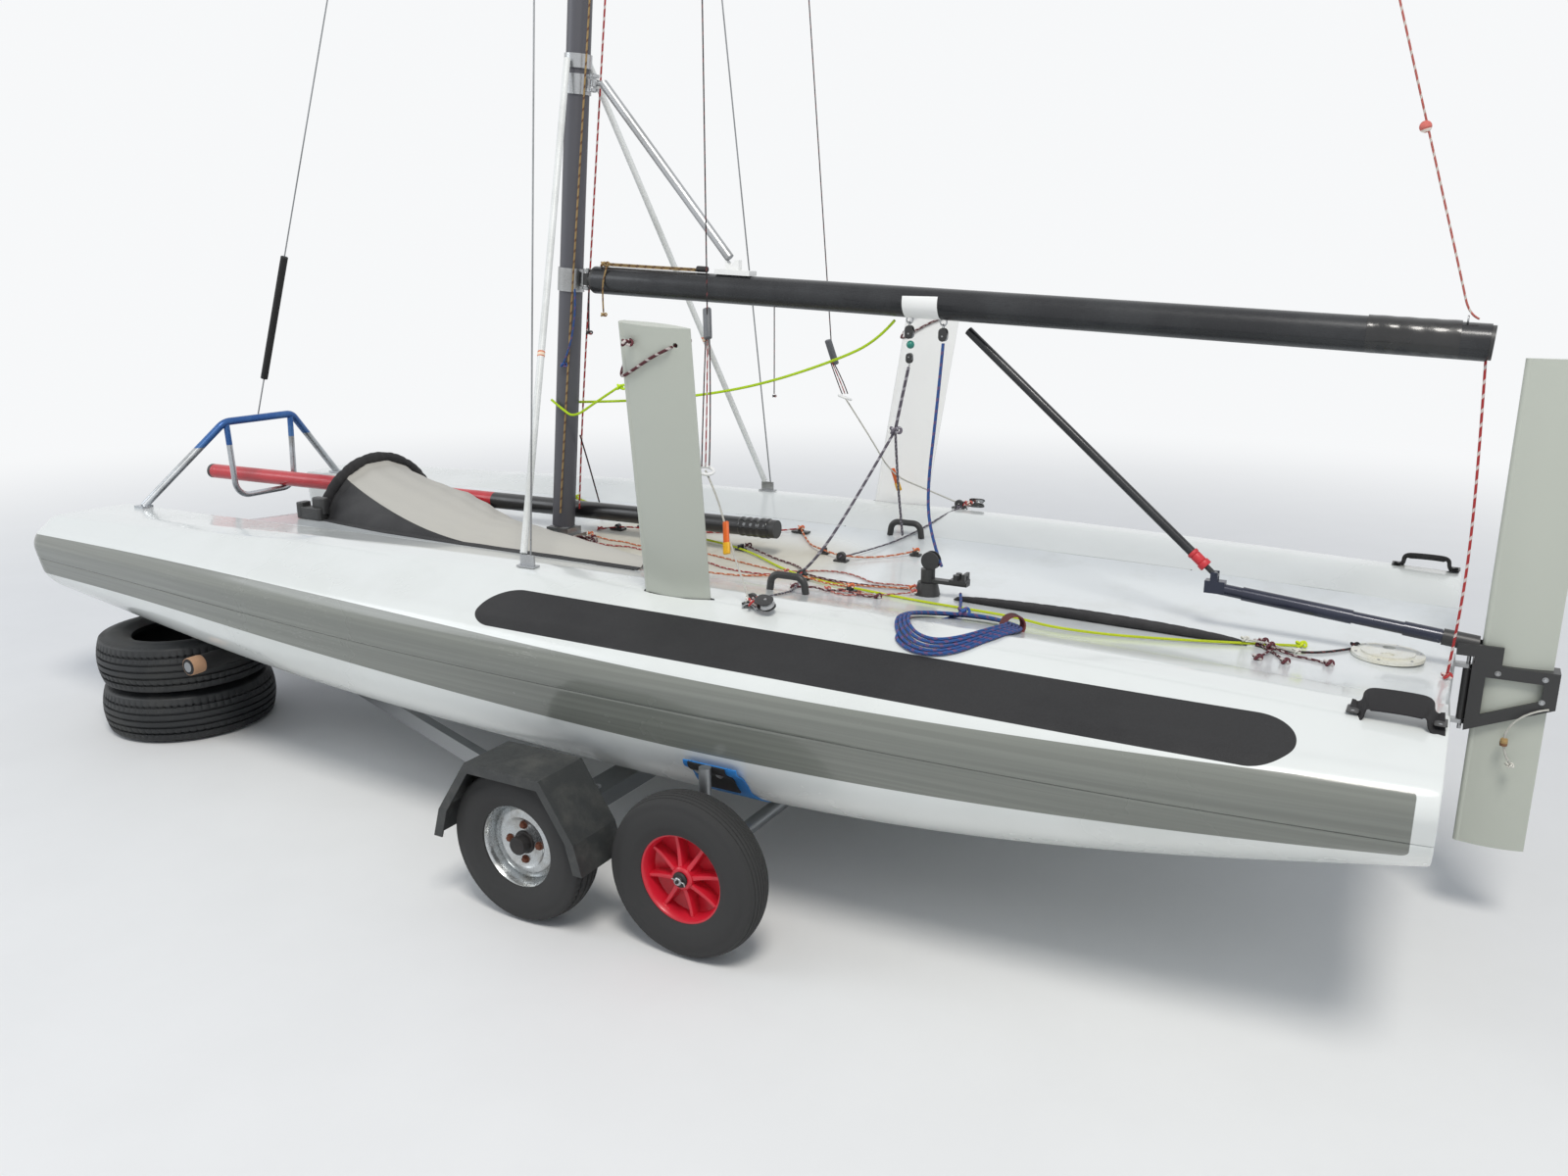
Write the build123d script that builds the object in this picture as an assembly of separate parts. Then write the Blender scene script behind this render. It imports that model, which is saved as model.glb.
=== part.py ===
from build123d import *
import math
import os

# Twin-hulled sailing dinghy parked on its launching trolley, its road trailer and four flat tyres.
# Millimetres. The bow points to -X, the port side is -Y and +Z is up. The working zero of X is the
# transom, Y is 0 on the centreline and Z is 0 on the ground. On export every piece moves along X,
# so that the origin lies under the middle of the overall length.

# Running and seating gaps
SEAT_GAP = 0.3
RUNNING_GAP = 5.0
PIN_GAP = 0.5
CLOSE_GAP = 0.4

# Hull and deck
HULL_LENGTH = 4500.0
BOW_ROUND = 95.0
INNER_WALL_Y = 420.0
CREST_Y = 620.0
CREST_WIDTH = 80.0
JOIN_Z = 562.0
BRIDGE_FRONT_X = -3750.0
BRIDGE_THICKNESS = 112.0

# Daggerboards
BOARD_X = -1742.0
BOARD_Y = 700.0
BOARD_CHORD = 195.0
BOARD_THICKNESS = 32.0
BOARD_LENGTH = 1125.0
BOARD_CANT = 12.0
BOARD_RAKE = 4.0
BOARD_PIVOT_Z = 765.0
BOARD_RISE = 695.0
BOARD_HOLE_RADIUS = 6.0
BOARD_HOLE_DROP = 40.0
BOARD_HOLE_SPACING = 120.0
FOIL_TAIL = 3.0

# Mast and standing rigging
MAST_FOOT_X = -2676.0
MAST_FOOT_Z = 722.0
MAST_RAKE = 0.097
MAST_DIAMETER = 75.0
MAST_WALL = 2.5
MASTHEAD_Z = 7400.0
HOUNDS_Z = 5770.0
SPREADER_Z = 3300.0
SPREADER_TIP_Y = 340.0
SPREADER_SWEEP = 90.0
SPREADER_DIAMETER = 22.0
WIRE_DIAMETER = 5.0
LOWER_SHROUD_Z = 2170.0
LOWER_SHROUD_DIAMETER = 20.0
CHAINPLATE_X = -2260.0
CHAINPLATE_Y = 668.0
CHAINPLATE_HEIGHT = 34.0
CHAINPLATE_TANG = 6.0
STAY_SLEEVE_LOW_Z = 1150.0
STAY_SLEEVE_HIGH_Z = 1600.0
STAY_SLEEVE_DIAMETER = 26.0

# Boom and strut
GOOSENECK_Z = 1529.0
GOOSENECK_REACH = 64.0
BOOM_DIAMETER = 84.0
BOOM_WALL = 2.5
BOOM_END_X = -20.0
BOOM_END_Z = 1407.0
STRUT_TOP_Z = 2105.0
STRUT_DIAMETER = 28.0
STRUT_FOOT_X = -1986.0
HINGE_PIN_DIAMETER = 10.0

# Bowsprit and bow gantry
SPRIT_DIAMETER = 58.0
SPRIT_BOW_REACH = 90.0
SPRIT_TIP_X = -HULL_LENGTH - SPRIT_BOW_REACH
SPRIT_END_X = -1890.0
SPRIT_Y = 80.0
SPRIT_TIP_Z = 741.0
SPRIT_END_Z = 771.0
GANTRY_TUBE = 28.0
GANTRY_SETBACK = 223.0
GANTRY_FOOT_X = GANTRY_SETBACK - HULL_LENGTH
GANTRY_FOOT_Y = 450.0
GANTRY_LEAN = 111.0
GANTRY_TOP_X = GANTRY_FOOT_X + GANTRY_LEAN
GANTRY_TOP_Y = 155.0
GANTRY_TOP_Z = 995.0
GANTRY_RING_TUBE = 22.0

# Chute mouth and cover
HOOP_X = -3550.0
HOOP_HALF_WIDTH = 270.0
HOOP_TOP_Z = 905.0
HOOP_TUBE = 40.0
COVER_WALL = 8.0

# Deck fittings
SHEET_BASE_X = -1310.0
SHEET_BASE_Y = -90.0
SHEET_BASE_RADIUS = 36.0
SHEET_BASE_HEIGHT = 36.0
GRAB_HANDLE_X = -1590.0
GRAB_HANDLE_Y = 398.0
GRAB_HANDLE_SPAN = 130.0
GRAB_HANDLE_RISE = 55.0
GRAB_HANDLE_TUBE = 20.0
QUARTER_HANDLE_X = -92.0
QUARTER_HANDLE_Y = 680.0
QUARTER_HANDLE_LENGTH = 170.0
QUARTER_HANDLE_WIDTH = 50.0
HATCH_X = -140.0
HATCH_DIAMETER = 165.0
HATCH_SEAT_DEPTH = 40.0
HATCH_SEAT_RIM = 7.0
TOE_STRAP_WIDTH = 52.0
TOE_STRAP_THICKNESS = 14.0
TOE_STRAP_FRONT_X = -1225.0
TOE_STRAP_END_X = -450.0

# Rudder and tiller
RUDDER_PIN_X = 32.0
RUDDER_PIN_DIAMETER = 9.0
RUDDER_CHORD = 150.0
RUDDER_THICKNESS = 28.0
RUDDER_LEAD_X = 54.0
RUDDER_FOOT_Z = 215.0
RUDDER_TOP_Z = 1376.0
STOCK_LOW_Z = 505.0
STOCK_HIGH_Z = 672.0
STOCK_AFT_LOW_Z = 585.0
STOCK_FRAME = 30.0
STOCK_WALL = 9.0
STOCK_LIP = 16.0
BLADE_GAP = 5.0
TILLER_DIAMETER = 30.0
TILLER_FRONT_X = -554.0
TILLER_FRONT_Z = 772.0
TILLER_BACK_Z = 707.0
TILLER_SLEEVE = 2.5
# Thicker stretches of the tiller. Columns: distance of each end from the tiller's back, towards the front
TILLER_SLEEVES = ((132.0, 215.0), (330.0, 590.0))
EXTENSION_DIAMETER = 24.0
EXTENSION_PIVOT_Z = 806.0
EXTENSION_TIP_X = -1268.0
EXTENSION_TIP_Y = 45.0
EXTENSION_TIP_Z = 1400.0

# Launching trolley
TROLLEY_AXLE_X = -1500.0
TROLLEY_WHEEL_DIAMETER = 406.0
TROLLEY_WHEEL_WIDTH = 100.0
TROLLEY_WHEEL_FACE_Y = 1090.0
TROLLEY_RIM_DIAMETER = 228.0
TROLLEY_AXLE_DIAMETER = 38.0
STUB_DIAMETER = 20.0
TROLLEY_SPOKES = 8
SPINE_DIAMETER = 50.0
FRONT_BAR_X = -3585.0
FRONT_BAR_HALF_LENGTH = 825.0
FRONT_BAR_PAD = 60.0
FRONT_BAR_TUBE = 34.0
SLING_LENGTH = 150.0
SLING_THICKNESS = 9.0
SLING_TOP_Z = 440.0
POST_DIAMETER = 30.0

# Road trailer
TRAILER_AXLE_X = -1945.0
TRAILER_WHEEL_DIAMETER = 400.0
TRAILER_WHEEL_WIDTH = 100.0
TRAILER_WHEEL_FACE_Y = 1140.0
TRAILER_RIM_DIAMETER = 229.0
BEAM_SIZE = 45.0
LEG_HEIGHT = 50.0
LEG_WIDTH = 30.0
LEG_START_Y = 905.0
LEG_END_Y = 30.0
LEG_END_X = -4440.0
COUPLING_NOSE_X = -4610.0
COUPLING_Z = 200.0
BALL_SOCKET_RADIUS = 25.0
BALL_SOCKET_DEPTH = 28.0
GUARD_TOP_Z = 412.0
GUARD_INNER_Y = 1005.0
GUARD_OUTER_Y = 1168.0
GUARD_PLATE = 4.0
GUARD_TOP_LENGTH = 230.0
GUARD_REACH = 232.0
GUARD_LIP = 26.0

# Flat tyres under the bows
STACK_SETBACK = 585.0
STACK_X = STACK_SETBACK - HULL_LENGTH
STACK_Y = 600.0
STACK_DIAMETER = 560.0
STACK_BEAD_DIAMETER = 330.0

# Hull stations. Columns: x, keel_y, keel_z, bilge_y, bilge_z, inner_bilge_z, beam_y, beam_z,
# shoulder_y, shoulder_z, crest_z, valley_z
HULL_STATIONS = (
    (BOW_ROUND - HULL_LENGTH, 600, 412, 760, 505, 510, 780, 595, 740, 672, 708, 696),
    (-3900, 620, 366, 800, 470, 480, 828, 605, 782, 684, 722, 692),
    (-3200, 655, 315, 868, 448, 460, 902, 606, 838, 698, 750, 686),
    (-2200, 690, 284, 925, 452, 440, 970, 604, 885, 705, 769, 680),
    (-1200, 690, 285, 925, 455, 440, 970, 600, 885, 702, 765, 672),
    (-500, 686, 360, 902, 492, 470, 944, 608, 868, 694, 747, 660),
    (0, 680, 452, 868, 545, 530, 900, 622, 840, 688, 729, 645),
)
# Insets of the rounded bow. Columns: share of BOW_ROUND from the tip, inset from the full section
BOW_INSETS = ((0.0, 95.0), (0.126, 49.0), (0.42, 17.5))


def station_row(x):
    """The station values at x, straight between the rows of the table."""
    rows = HULL_STATIONS
    if x <= rows[0][0]:
        return rows[0][1:]
    for low, high in zip(rows, rows[1:]):
        if x <= high[0]:
            share = (x - low[0]) / (high[0] - low[0])
            return tuple(a + share * (b - a) for a, b in zip(low[1:], high[1:]))
    return rows[-1][1:]


def inner_edge_z(crest_z, valley_z):
    """Deck height at the inner wall, where the straight slope meets the central hollow."""
    fall = (crest_z - valley_z) / (CREST_Y - INNER_WALL_Y / 2)
    return crest_z - fall * (CREST_Y - INNER_WALL_Y)


def hull_wire(x, row, side, inset=0.0):
    """One closed section of a hull: a round bottom, a near-upright topside and a crowned deck."""
    (keel_y, keel_z, bilge_y, bilge_z, inner_bilge_z, beam_y, beam_z,
     shoulder_y, shoulder_z, crest_z, valley_z) = row
    inner_z = inner_edge_z(crest_z, valley_z)
    middle_y = (INNER_WALL_Y + beam_y) / 2
    middle_z = (keel_z + crest_z) / 2
    shrink_y = 1 - inset / (beam_y - middle_y)
    shrink_z = 1 - inset / (crest_z - middle_z)

    def place(y, z):
        return Vector(x, side * (middle_y + (y - middle_y) * shrink_y),
                      middle_z + (z - middle_z) * shrink_z)

    crest_outer_y = CREST_Y + CREST_WIDTH
    gunwale = place(beam_y - 0.22 * (beam_y - shoulder_y), shoulder_z - 0.34 * (shoulder_z - beam_z))
    inner_top = place(INNER_WALL_Y, inner_z)
    inner_low = place(INNER_WALL_Y + 18, inner_bilge_z)
    bilge = place(bilge_y, bilge_z)
    beam = place(beam_y, beam_z)
    shoulder = place(shoulder_y, shoulder_z)
    crest_outer = place(crest_outer_y, crest_z - 3)
    crest_inner = place(CREST_Y, crest_z)
    edges = [
        Line(inner_top, inner_low),
        ThreePointArc(inner_low, place(keel_y, keel_z), bilge),
        Line(bilge, beam),
        ThreePointArc(beam, gunwale, shoulder),
        Line(shoulder, crest_outer),
        Line(crest_outer, crest_inner),
        Line(crest_inner, inner_top),
    ]
    return Wire([edge.edge() for edge in edges])


def full_hull(side):
    """One hull from the rounded bow to the flat transom: a smooth body and a short blunt nose."""
    body_wires = [hull_wire(station[0], station[1:], side) for station in HULL_STATIONS]
    bow_row = HULL_STATIONS[0][1:]
    nose_wires = [
        hull_wire(share * BOW_ROUND - HULL_LENGTH, bow_row, side, inset)
        for share, inset in BOW_INSETS
    ]
    body = Solid.make_loft(body_wires, False)
    nose = Solid.make_loft(nose_wires + body_wires[:1], True)
    return (body + nose).solid()


def bridge_wire(x, roof_lift=0.0):
    """A section of the bridge deck: a hollow top between the inner walls and a flat underside."""
    row = station_row(x)
    half = INNER_WALL_Y - SEAT_GAP
    edge_z = inner_edge_z(row[-2], row[-1])
    low_z = row[-1] - BRIDGE_THICKNESS + roof_lift
    left_top, right_top = Vector(x, -half, edge_z), Vector(x, half, edge_z)
    left_low, right_low = Vector(x, -half, low_z), Vector(x, half, low_z)
    edges = [
        ThreePointArc(left_top, Vector(x, 0, row[-1]), right_top),
        Line(right_top, right_low),
        Line(right_low, left_low),
        Line(left_low, left_top),
    ]
    return Wire([edge.edge() for edge in edges])


def bridge_deck():
    """The deck between the hulls, with a lip at its front edge."""
    stations = [BRIDGE_FRONT_X] + [s[0] for s in HULL_STATIONS if s[0] > BRIDGE_FRONT_X]
    return Solid.make_loft([bridge_wire(x, 60.0 if x == BRIDGE_FRONT_X else 0.0) for x in stations], True)


def rod(start, end, radius):
    """A round bar from one point to another."""
    start, end = Vector(*start), Vector(*end)
    way = end - start
    return Solid.make_cylinder(radius, way.length, Plane(origin=start, z_dir=way))


def pipe(start, end, radius, wall):
    """A round tube from one point to another."""
    start, end = Vector(*start), Vector(*end)
    way = end - start
    bore_start = start - way.normalized()
    bore = rod(tuple(bore_start), tuple(end + way.normalized()), radius - wall)
    return rod(tuple(start), tuple(end), radius) - bore


def bent_tube(points, bend, radius):
    """A round bar along straight runs joined by arcs of one bend radius."""
    path = FilletPolyline(*points, radius=bend)
    start = path @ 0
    profile = Plane(origin=start, z_dir=path % 0) * Circle(radius)
    return sweep(profile, path=path)


def box_between(low, high):
    """A box given by its lowest and highest corners."""
    size = [b - a for a, b in zip(low, high)]
    centre = [(a + b) / 2 for a, b in zip(low, high)]
    return Pos(*centre) * Box(*size)


def both_sides(make):
    """The port and starboard copies of a piece that make(side) builds."""
    return [make(-1), make(1)]


def group(*pieces):
    """Several solids that don't touch, as one node."""
    solids = []
    for piece in pieces:
        if isinstance(piece, (list, tuple)):
            for item in piece:
                solids.extend(item.solids())
        else:
            solids.extend(piece.solids())
    return Compound(solids)


def fused(*pieces):
    """Several pieces made one."""
    first, *rest = pieces
    for piece in rest:
        first = first + piece
    return first


def foil(chord, thickness, height, margin=0.0):
    """An upright blade with its leading edge at x = 0, or a hole for it that is a margin larger."""
    half = thickness / 2 + margin
    nose = chord * 0.08
    front, back = -margin, chord + margin
    tail = FOIL_TAIL / 2 + margin
    edges = [
        ThreePointArc((nose, half * 0.62), (front, 0), (nose, -half * 0.62)),
        ThreePointArc((nose, -half * 0.62), (chord * 0.42, -half), (back, -tail)),
        Line((back, -tail), (back, tail)),
        ThreePointArc((back, tail), (chord * 0.42, half), (nose, half * 0.62)),
    ]
    face = make_face([edge.edge() for edge in edges])
    return extrude(face, height)


def mast_x(z):
    """The mast's centreline at a height."""
    return MAST_FOOT_X + MAST_RAKE * (z - MAST_FOOT_Z)


port_full = full_hull(-1)
FULL_HULLS = {-1: port_full, 1: mirror(port_full, Plane.XZ).solid()}


def slice_box(x, y, length, width):
    """A tall column used to measure the hull at a place."""
    return box_between((x - length / 2, y - width / 2, 0), (x + length / 2, y + width / 2, 1200))


def deck_z(x, y, length=6.0, width=6.0):
    """The highest deck point over a footprint, plus the seating gap."""
    side = 1 if y > 0 else -1
    column = slice_box(x, y, length, width)
    body = FULL_HULLS[side] if abs(y) > INNER_WALL_Y else bridge
    return (body & column).bounding_box().max.Z + SEAT_GAP


def keel_low_z(x, length):
    """The lowest hull point over a length."""
    column = slice_box(x, (INNER_WALL_Y + 970) / 2, length, 560)
    return (FULL_HULLS[1] & column).bounding_box().min.Z


bridge = bridge_deck()

# Daggerboard slots
SLOT_GAP = RUNNING_GAP + 0.5
SLOT_REACH = 600.0
MOUTH_DEPTH = 83.0


def board_axis(side):
    """The frame of one daggerboard at the deck, its Z axis along the board and leaning outboard and aft."""
    lean = Rot(-side * BOARD_CANT, 0, 0) * Rot(0, BOARD_RAKE, 0)
    return Pos(BOARD_X, side * BOARD_Y, BOARD_PIVOT_Z) * lean


def board_slot(side):
    """The well that a daggerboard slides in, with a close mouth of its own shape at the deck."""
    length = BOARD_CHORD + 2 * SLOT_GAP
    width = BOARD_THICKNESS + 2 * SLOT_GAP
    outline = SlotOverall(length + width * 0.3, width)
    well = Pos(0, 0, -SLOT_REACH) * extrude(outline, SLOT_REACH - MOUTH_DEPTH)
    mouth = foil(BOARD_CHORD, BOARD_THICKNESS, 2 * SLOT_REACH, CLOSE_GAP)
    mouth = Pos(-BOARD_CHORD / 2, 0, -SLOT_REACH) * mouth
    return board_axis(side) * (well + mouth)


def board(side):
    """A daggerboard pulled up in its well, with two rope holes near its top."""
    blade = foil(BOARD_CHORD, BOARD_THICKNESS, BOARD_LENGTH)
    blade = Pos(-BOARD_CHORD / 2, 0, BOARD_RISE - BOARD_LENGTH) * blade
    for sign in (-1, 1):
        hole = Pos(sign * BOARD_HOLE_SPACING / 2, 0, BOARD_RISE - BOARD_HOLE_DROP)
        blade = blade - hole * Rot(90, 0, 0) * Cylinder(BOARD_HOLE_RADIUS, 2 * BOARD_THICKNESS)
    return board_axis(side) * blade


hull_parts = []
deck_parts = []
for side in (-1, 1):
    shell = FULL_HULLS[side] - board_slot(side)
    low_box = box_between((-HULL_LENGTH - 50, -1200, 0), (50, 1200, JOIN_Z))
    high_box = box_between((-HULL_LENGTH - 50, -1200, JOIN_Z), (50, 1200, 1200))
    hull_parts.append(shell & low_box)
    deck_parts.append(shell & high_box)

# Mast, spreaders and wires
MAST_RADIUS = MAST_DIAMETER / 2
mast_low = (MAST_FOOT_X, 0, MAST_FOOT_Z)
mast_high = (mast_x(MASTHEAD_Z), 0, MASTHEAD_Z)
mast = pipe(mast_low, mast_high, MAST_RADIUS, MAST_WALL)
mast_axis = (Vector(*mast_high) - Vector(*mast_low)).normalized()

STEP_PLATE = 12.0
step_z = deck_z(MAST_FOOT_X, 0, 150, 110)
step_base = box_between((MAST_FOOT_X - 75, -40, step_z), (MAST_FOOT_X + 65, 40, step_z + STEP_PLATE))
step_block = box_between(
    (MAST_FOOT_X - 45, -36, step_z + STEP_PLATE), (MAST_FOOT_X + 45, 36, MAST_FOOT_Z - 6)
)
step_plug = rod((mast_x(MAST_FOOT_Z - 8), 0, MAST_FOOT_Z - 8),
                (mast_x(MAST_FOOT_Z + 30), 0, MAST_FOOT_Z + 30),
                MAST_RADIUS - MAST_WALL - SEAT_GAP)
mast_step = fused(step_base, step_block, step_plug)
masthead = rod(tuple(Vector(*mast_high) - mast_axis * 40), tuple(Vector(*mast_high) + mast_axis * 14),
               MAST_RADIUS - MAST_WALL - SEAT_GAP)
masthead = masthead + rod(tuple(Vector(*mast_high) + mast_axis * SEAT_GAP),
                          tuple(Vector(*mast_high) + mast_axis * 14), MAST_RADIUS)

COLLAR_RADIUS = MAST_RADIUS + 5.0


def collar(z, height):
    """A band round the mast."""
    low = Vector(mast_x(z - height / 2), 0, z - height / 2)
    high = Vector(mast_x(z + height / 2), 0, z + height / 2)
    return rod(tuple(low), tuple(high), COLLAR_RADIUS) - rod(
        tuple(low - mast_axis), tuple(high + mast_axis), MAST_RADIUS + SEAT_GAP)


TIP_BEAD_RADIUS = 2.2 * WIRE_DIAMETER / 2


def spreader_tip(side):
    """The outer end of a spreader."""
    return (mast_x(SPREADER_Z) + SPREADER_SWEEP, side * SPREADER_TIP_Y, SPREADER_Z + 10)


def spreader(side):
    """A spreader from the mast's band to the wire."""
    root = (mast_x(SPREADER_Z) + 8, side * (MAST_RADIUS + 2), SPREADER_Z)
    tip = spreader_tip(side)
    way = (Vector(*tip) - Vector(*root)).normalized()
    end = Vector(*tip) - way * (TIP_BEAD_RADIUS + SEAT_GAP)
    return rod(root, tuple(end), SPREADER_DIAMETER / 2)


spreader_hub = collar(SPREADER_Z, 60)
spreaders = fused(spreader_hub, *both_sides(spreader))
spreaders = spreaders - rod((mast_x(SPREADER_Z - 100), 0, SPREADER_Z - 100),
                            (mast_x(SPREADER_Z + 100), 0, SPREADER_Z + 100), MAST_RADIUS + SEAT_GAP)

WIRE_RADIUS = WIRE_DIAMETER / 2
chainplate_foot_z = deck_z(CHAINPLATE_X, CHAINPLATE_Y, 60, 30)
chainplate_top_z = chainplate_foot_z + CHAINPLATE_HEIGHT


def chainplate(side):
    """A deck plate with an upright tang that both shrouds pull on."""
    base = box_between((CHAINPLATE_X - 30, side * CHAINPLATE_Y - 14, chainplate_foot_z),
                       (CHAINPLATE_X + 30, side * CHAINPLATE_Y + 14, chainplate_foot_z + 5))
    half = CHAINPLATE_TANG / 2
    tang = box_between((CHAINPLATE_X - 24, side * CHAINPLATE_Y - half, chainplate_foot_z + 5),
                       (CHAINPLATE_X + 24, side * CHAINPLATE_Y + half, chainplate_top_z))
    return base + tang


def cap_shroud(side):
    """The outer wire, over the spreader tip to the hounds, in two straight runs."""
    foot = (CHAINPLATE_X + 12, side * CHAINPLATE_Y, chainplate_top_z + 2 * SEAT_GAP)
    tip = spreader_tip(side)
    head = (mast_x(HOUNDS_Z), side * (COLLAR_RADIUS + WIRE_RADIUS + SEAT_GAP), HOUNDS_Z)
    low = rod(foot, tip, WIRE_RADIUS)
    high = rod(tip, head, WIRE_RADIUS)
    return fused(low, Pos(*tip) * Sphere(TIP_BEAD_RADIUS), high)


def lower_shroud(side):
    """The covered lower wire from the chainplate to the mast."""
    radius = LOWER_SHROUD_DIAMETER / 2
    foot = Vector(CHAINPLATE_X - 13, side * CHAINPLATE_Y, chainplate_top_z)
    head = Vector(mast_x(LOWER_SHROUD_Z), side * (COLLAR_RADIUS + radius + SEAT_GAP), LOWER_SHROUD_Z)
    way = (head - foot).normalized()
    dip = radius * abs(way.X) + CHAINPLATE_TANG / 2 * abs(way.Y)
    foot = foot + Vector(0, 0, dip + SEAT_GAP)
    return rod(tuple(foot), tuple(head), radius)


sprit_axis = (Vector(SPRIT_END_X, SPRIT_Y, SPRIT_END_Z) - Vector(SPRIT_TIP_X, SPRIT_Y,
                                                                 SPRIT_TIP_Z)).normalized()


def sprit_z(x):
    """The bowsprit's centreline at x."""
    share = (x - SPRIT_TIP_X) / (SPRIT_END_X - SPRIT_TIP_X)
    return SPRIT_TIP_Z + share * (SPRIT_END_Z - SPRIT_TIP_Z)


stay_foot = Vector(GANTRY_TOP_X, 0, GANTRY_TOP_Z + GANTRY_TUBE / 2 + SEAT_GAP + 1.2)
stay_head = Vector(mast_x(HOUNDS_Z) - COLLAR_RADIUS - 1.2 * WIRE_RADIUS - SEAT_GAP, 0, HOUNDS_Z)


def stay_point(z):
    """A point of the forestay at a height."""
    share = (z - stay_foot.Z) / (stay_head.Z - stay_foot.Z)
    return tuple(stay_foot + (stay_head - stay_foot) * share)


forestay = rod(tuple(stay_foot), tuple(stay_head), WIRE_RADIUS)
stay_sleeve = pipe(stay_point(STAY_SLEEVE_LOW_Z), stay_point(STAY_SLEEVE_HIGH_Z),
                   STAY_SLEEVE_DIAMETER / 2, STAY_SLEEVE_DIAMETER / 2 - WIRE_RADIUS - SEAT_GAP)

# Gooseneck and strut brackets stand on the mast and carry one common raked pin line.
hinge_offset = Vector(GOOSENECK_REACH, 0, 0)
HINGE_PIN_RADIUS = HINGE_PIN_DIAMETER / 2


def hinge_point(z):
    """A point of the boom's raked hinge line at a height."""
    return Vector(mast_x(z), 0, z) + hinge_offset


def mast_bracket(z, gap_height):
    """Two ears round the hinge pin, held by a band on the mast."""
    centre = hinge_point(z)
    body = collar(z, gap_height + 28)
    ears = []
    for sign in (-1, 1):
        low = centre + mast_axis * (sign * (gap_height / 2 + 5) - 4)
        disc = rod(tuple(low), tuple(low + mast_axis * 8), 15)
        start = Vector(mast_x(low.Z) + MAST_RADIUS + 2, 0, low.Z)
        web = Plane(origin=start + (low - start) * 0.5 + mast_axis * 4, x_dir=(1, 0, -MAST_RAKE),
                    z_dir=mast_axis)
        ears.append(disc + web * Box(GOOSENECK_REACH - MAST_RADIUS, 24, 8))
    pin = rod(tuple(centre - mast_axis * (gap_height / 2 + 12)),
              tuple(centre + mast_axis * (gap_height / 2 + 12)),
              HINGE_PIN_RADIUS)
    return fused(body, *ears, pin)


GOOSENECK_GAP = 44.0
STRUT_GAP_HEIGHT = 30.0
gooseneck = mast_bracket(GOOSENECK_Z, GOOSENECK_GAP)
strut_bracket = mast_bracket(STRUT_TOP_Z, STRUT_GAP_HEIGHT)
hounds = collar(HOUNDS_Z, 50)
lower_band = collar(LOWER_SHROUD_Z, 40)

boom_start = hinge_point(GOOSENECK_Z)
boom_end = Vector(BOOM_END_X, 0, BOOM_END_Z)
boom_way = (boom_end - boom_start).normalized()
BOOM_RADIUS = BOOM_DIAMETER / 2


def boom_point(x):
    """A point of the boom's centreline at x."""
    return boom_start + boom_way * ((x - boom_start.X) / boom_way.X)


boom_front = boom_start + boom_way * 44
boom_spar = pipe(tuple(boom_front), tuple(boom_end), BOOM_RADIUS, BOOM_WALL)
eye = rod(tuple(boom_start - mast_axis * (GOOSENECK_GAP / 2 - 4)),
          tuple(boom_start + mast_axis * (GOOSENECK_GAP / 2 - 4)), 14)
eye = eye + rod(tuple(boom_start + boom_way * 6), tuple(boom_front + boom_way * 2), 13)
eye = eye - rod(tuple(boom_start - mast_axis * 40), tuple(boom_start + mast_axis * 40),
                HINGE_PIN_RADIUS + PIN_GAP)
front_cap = rod(tuple(boom_front), tuple(boom_front - boom_way * 8), BOOM_RADIUS)
front_plug = rod(tuple(boom_front), tuple(boom_front + boom_way * 40), BOOM_RADIUS - BOOM_WALL - SEAT_GAP)
boom_front_fitting = fused(eye, front_cap, front_plug)
end_cap = rod(tuple(boom_end - boom_way * 30), tuple(boom_end), BOOM_RADIUS - BOOM_WALL - SEAT_GAP)
end_cap = end_cap + rod(tuple(boom_end + boom_way * SEAT_GAP), tuple(boom_end + boom_way * 9),
                        BOOM_RADIUS - 3)
end_cap = fused(end_cap, rod(tuple(boom_end), tuple(boom_end + boom_way * 2), 20))

strut_top = hinge_point(STRUT_TOP_Z)
slider_seat = boom_point(STRUT_FOOT_X) + Vector(0, 0, BOOM_RADIUS)
strut_foot = slider_seat + Vector(-6, 0, 34)
STRUT_LUG = 34.0
strut_out = Vector(1, 0, -MAST_RAKE).normalized()
strut_bend = strut_top + strut_out * STRUT_LUG
strut_way = (strut_foot - strut_bend).normalized()
strut_eye = rod(tuple(strut_top - mast_axis * (STRUT_GAP_HEIGHT / 2 - 5)),
                tuple(strut_top + mast_axis * (STRUT_GAP_HEIGHT / 2 - 5)), 12)
strut_eye = strut_eye + rod(tuple(strut_top + strut_out * 4), tuple(strut_bend + strut_out * 8), 8)
strut_eye = strut_eye - rod(tuple(strut_top - mast_axis * 30), tuple(strut_top + mast_axis * 30),
                            HINGE_PIN_RADIUS + PIN_GAP)
strut_tube = rod(tuple(strut_bend), tuple(strut_foot - strut_way * 20), STRUT_DIAMETER / 2)
gnav_strut = fused(strut_eye, strut_tube)
slider_base = Plane(origin=slider_seat + Vector(0, 0, SEAT_GAP + 7), x_dir=tuple(boom_way), z_dir=(
    -boom_way.Z, 0, boom_way.X)) * Box(120, 44, 14)
slider_ear = Pos(*tuple(slider_seat + Vector(-6, 0, 26))) * Box(46, 20, 34)
slider = slider_base + slider_ear
slider = slider - rod(tuple(strut_foot - strut_way * 60), tuple(strut_foot + strut_way * 2),
                      STRUT_DIAMETER / 2)
slider = slider - rod(tuple(boom_start), tuple(boom_end), BOOM_RADIUS + SEAT_GAP)

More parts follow.
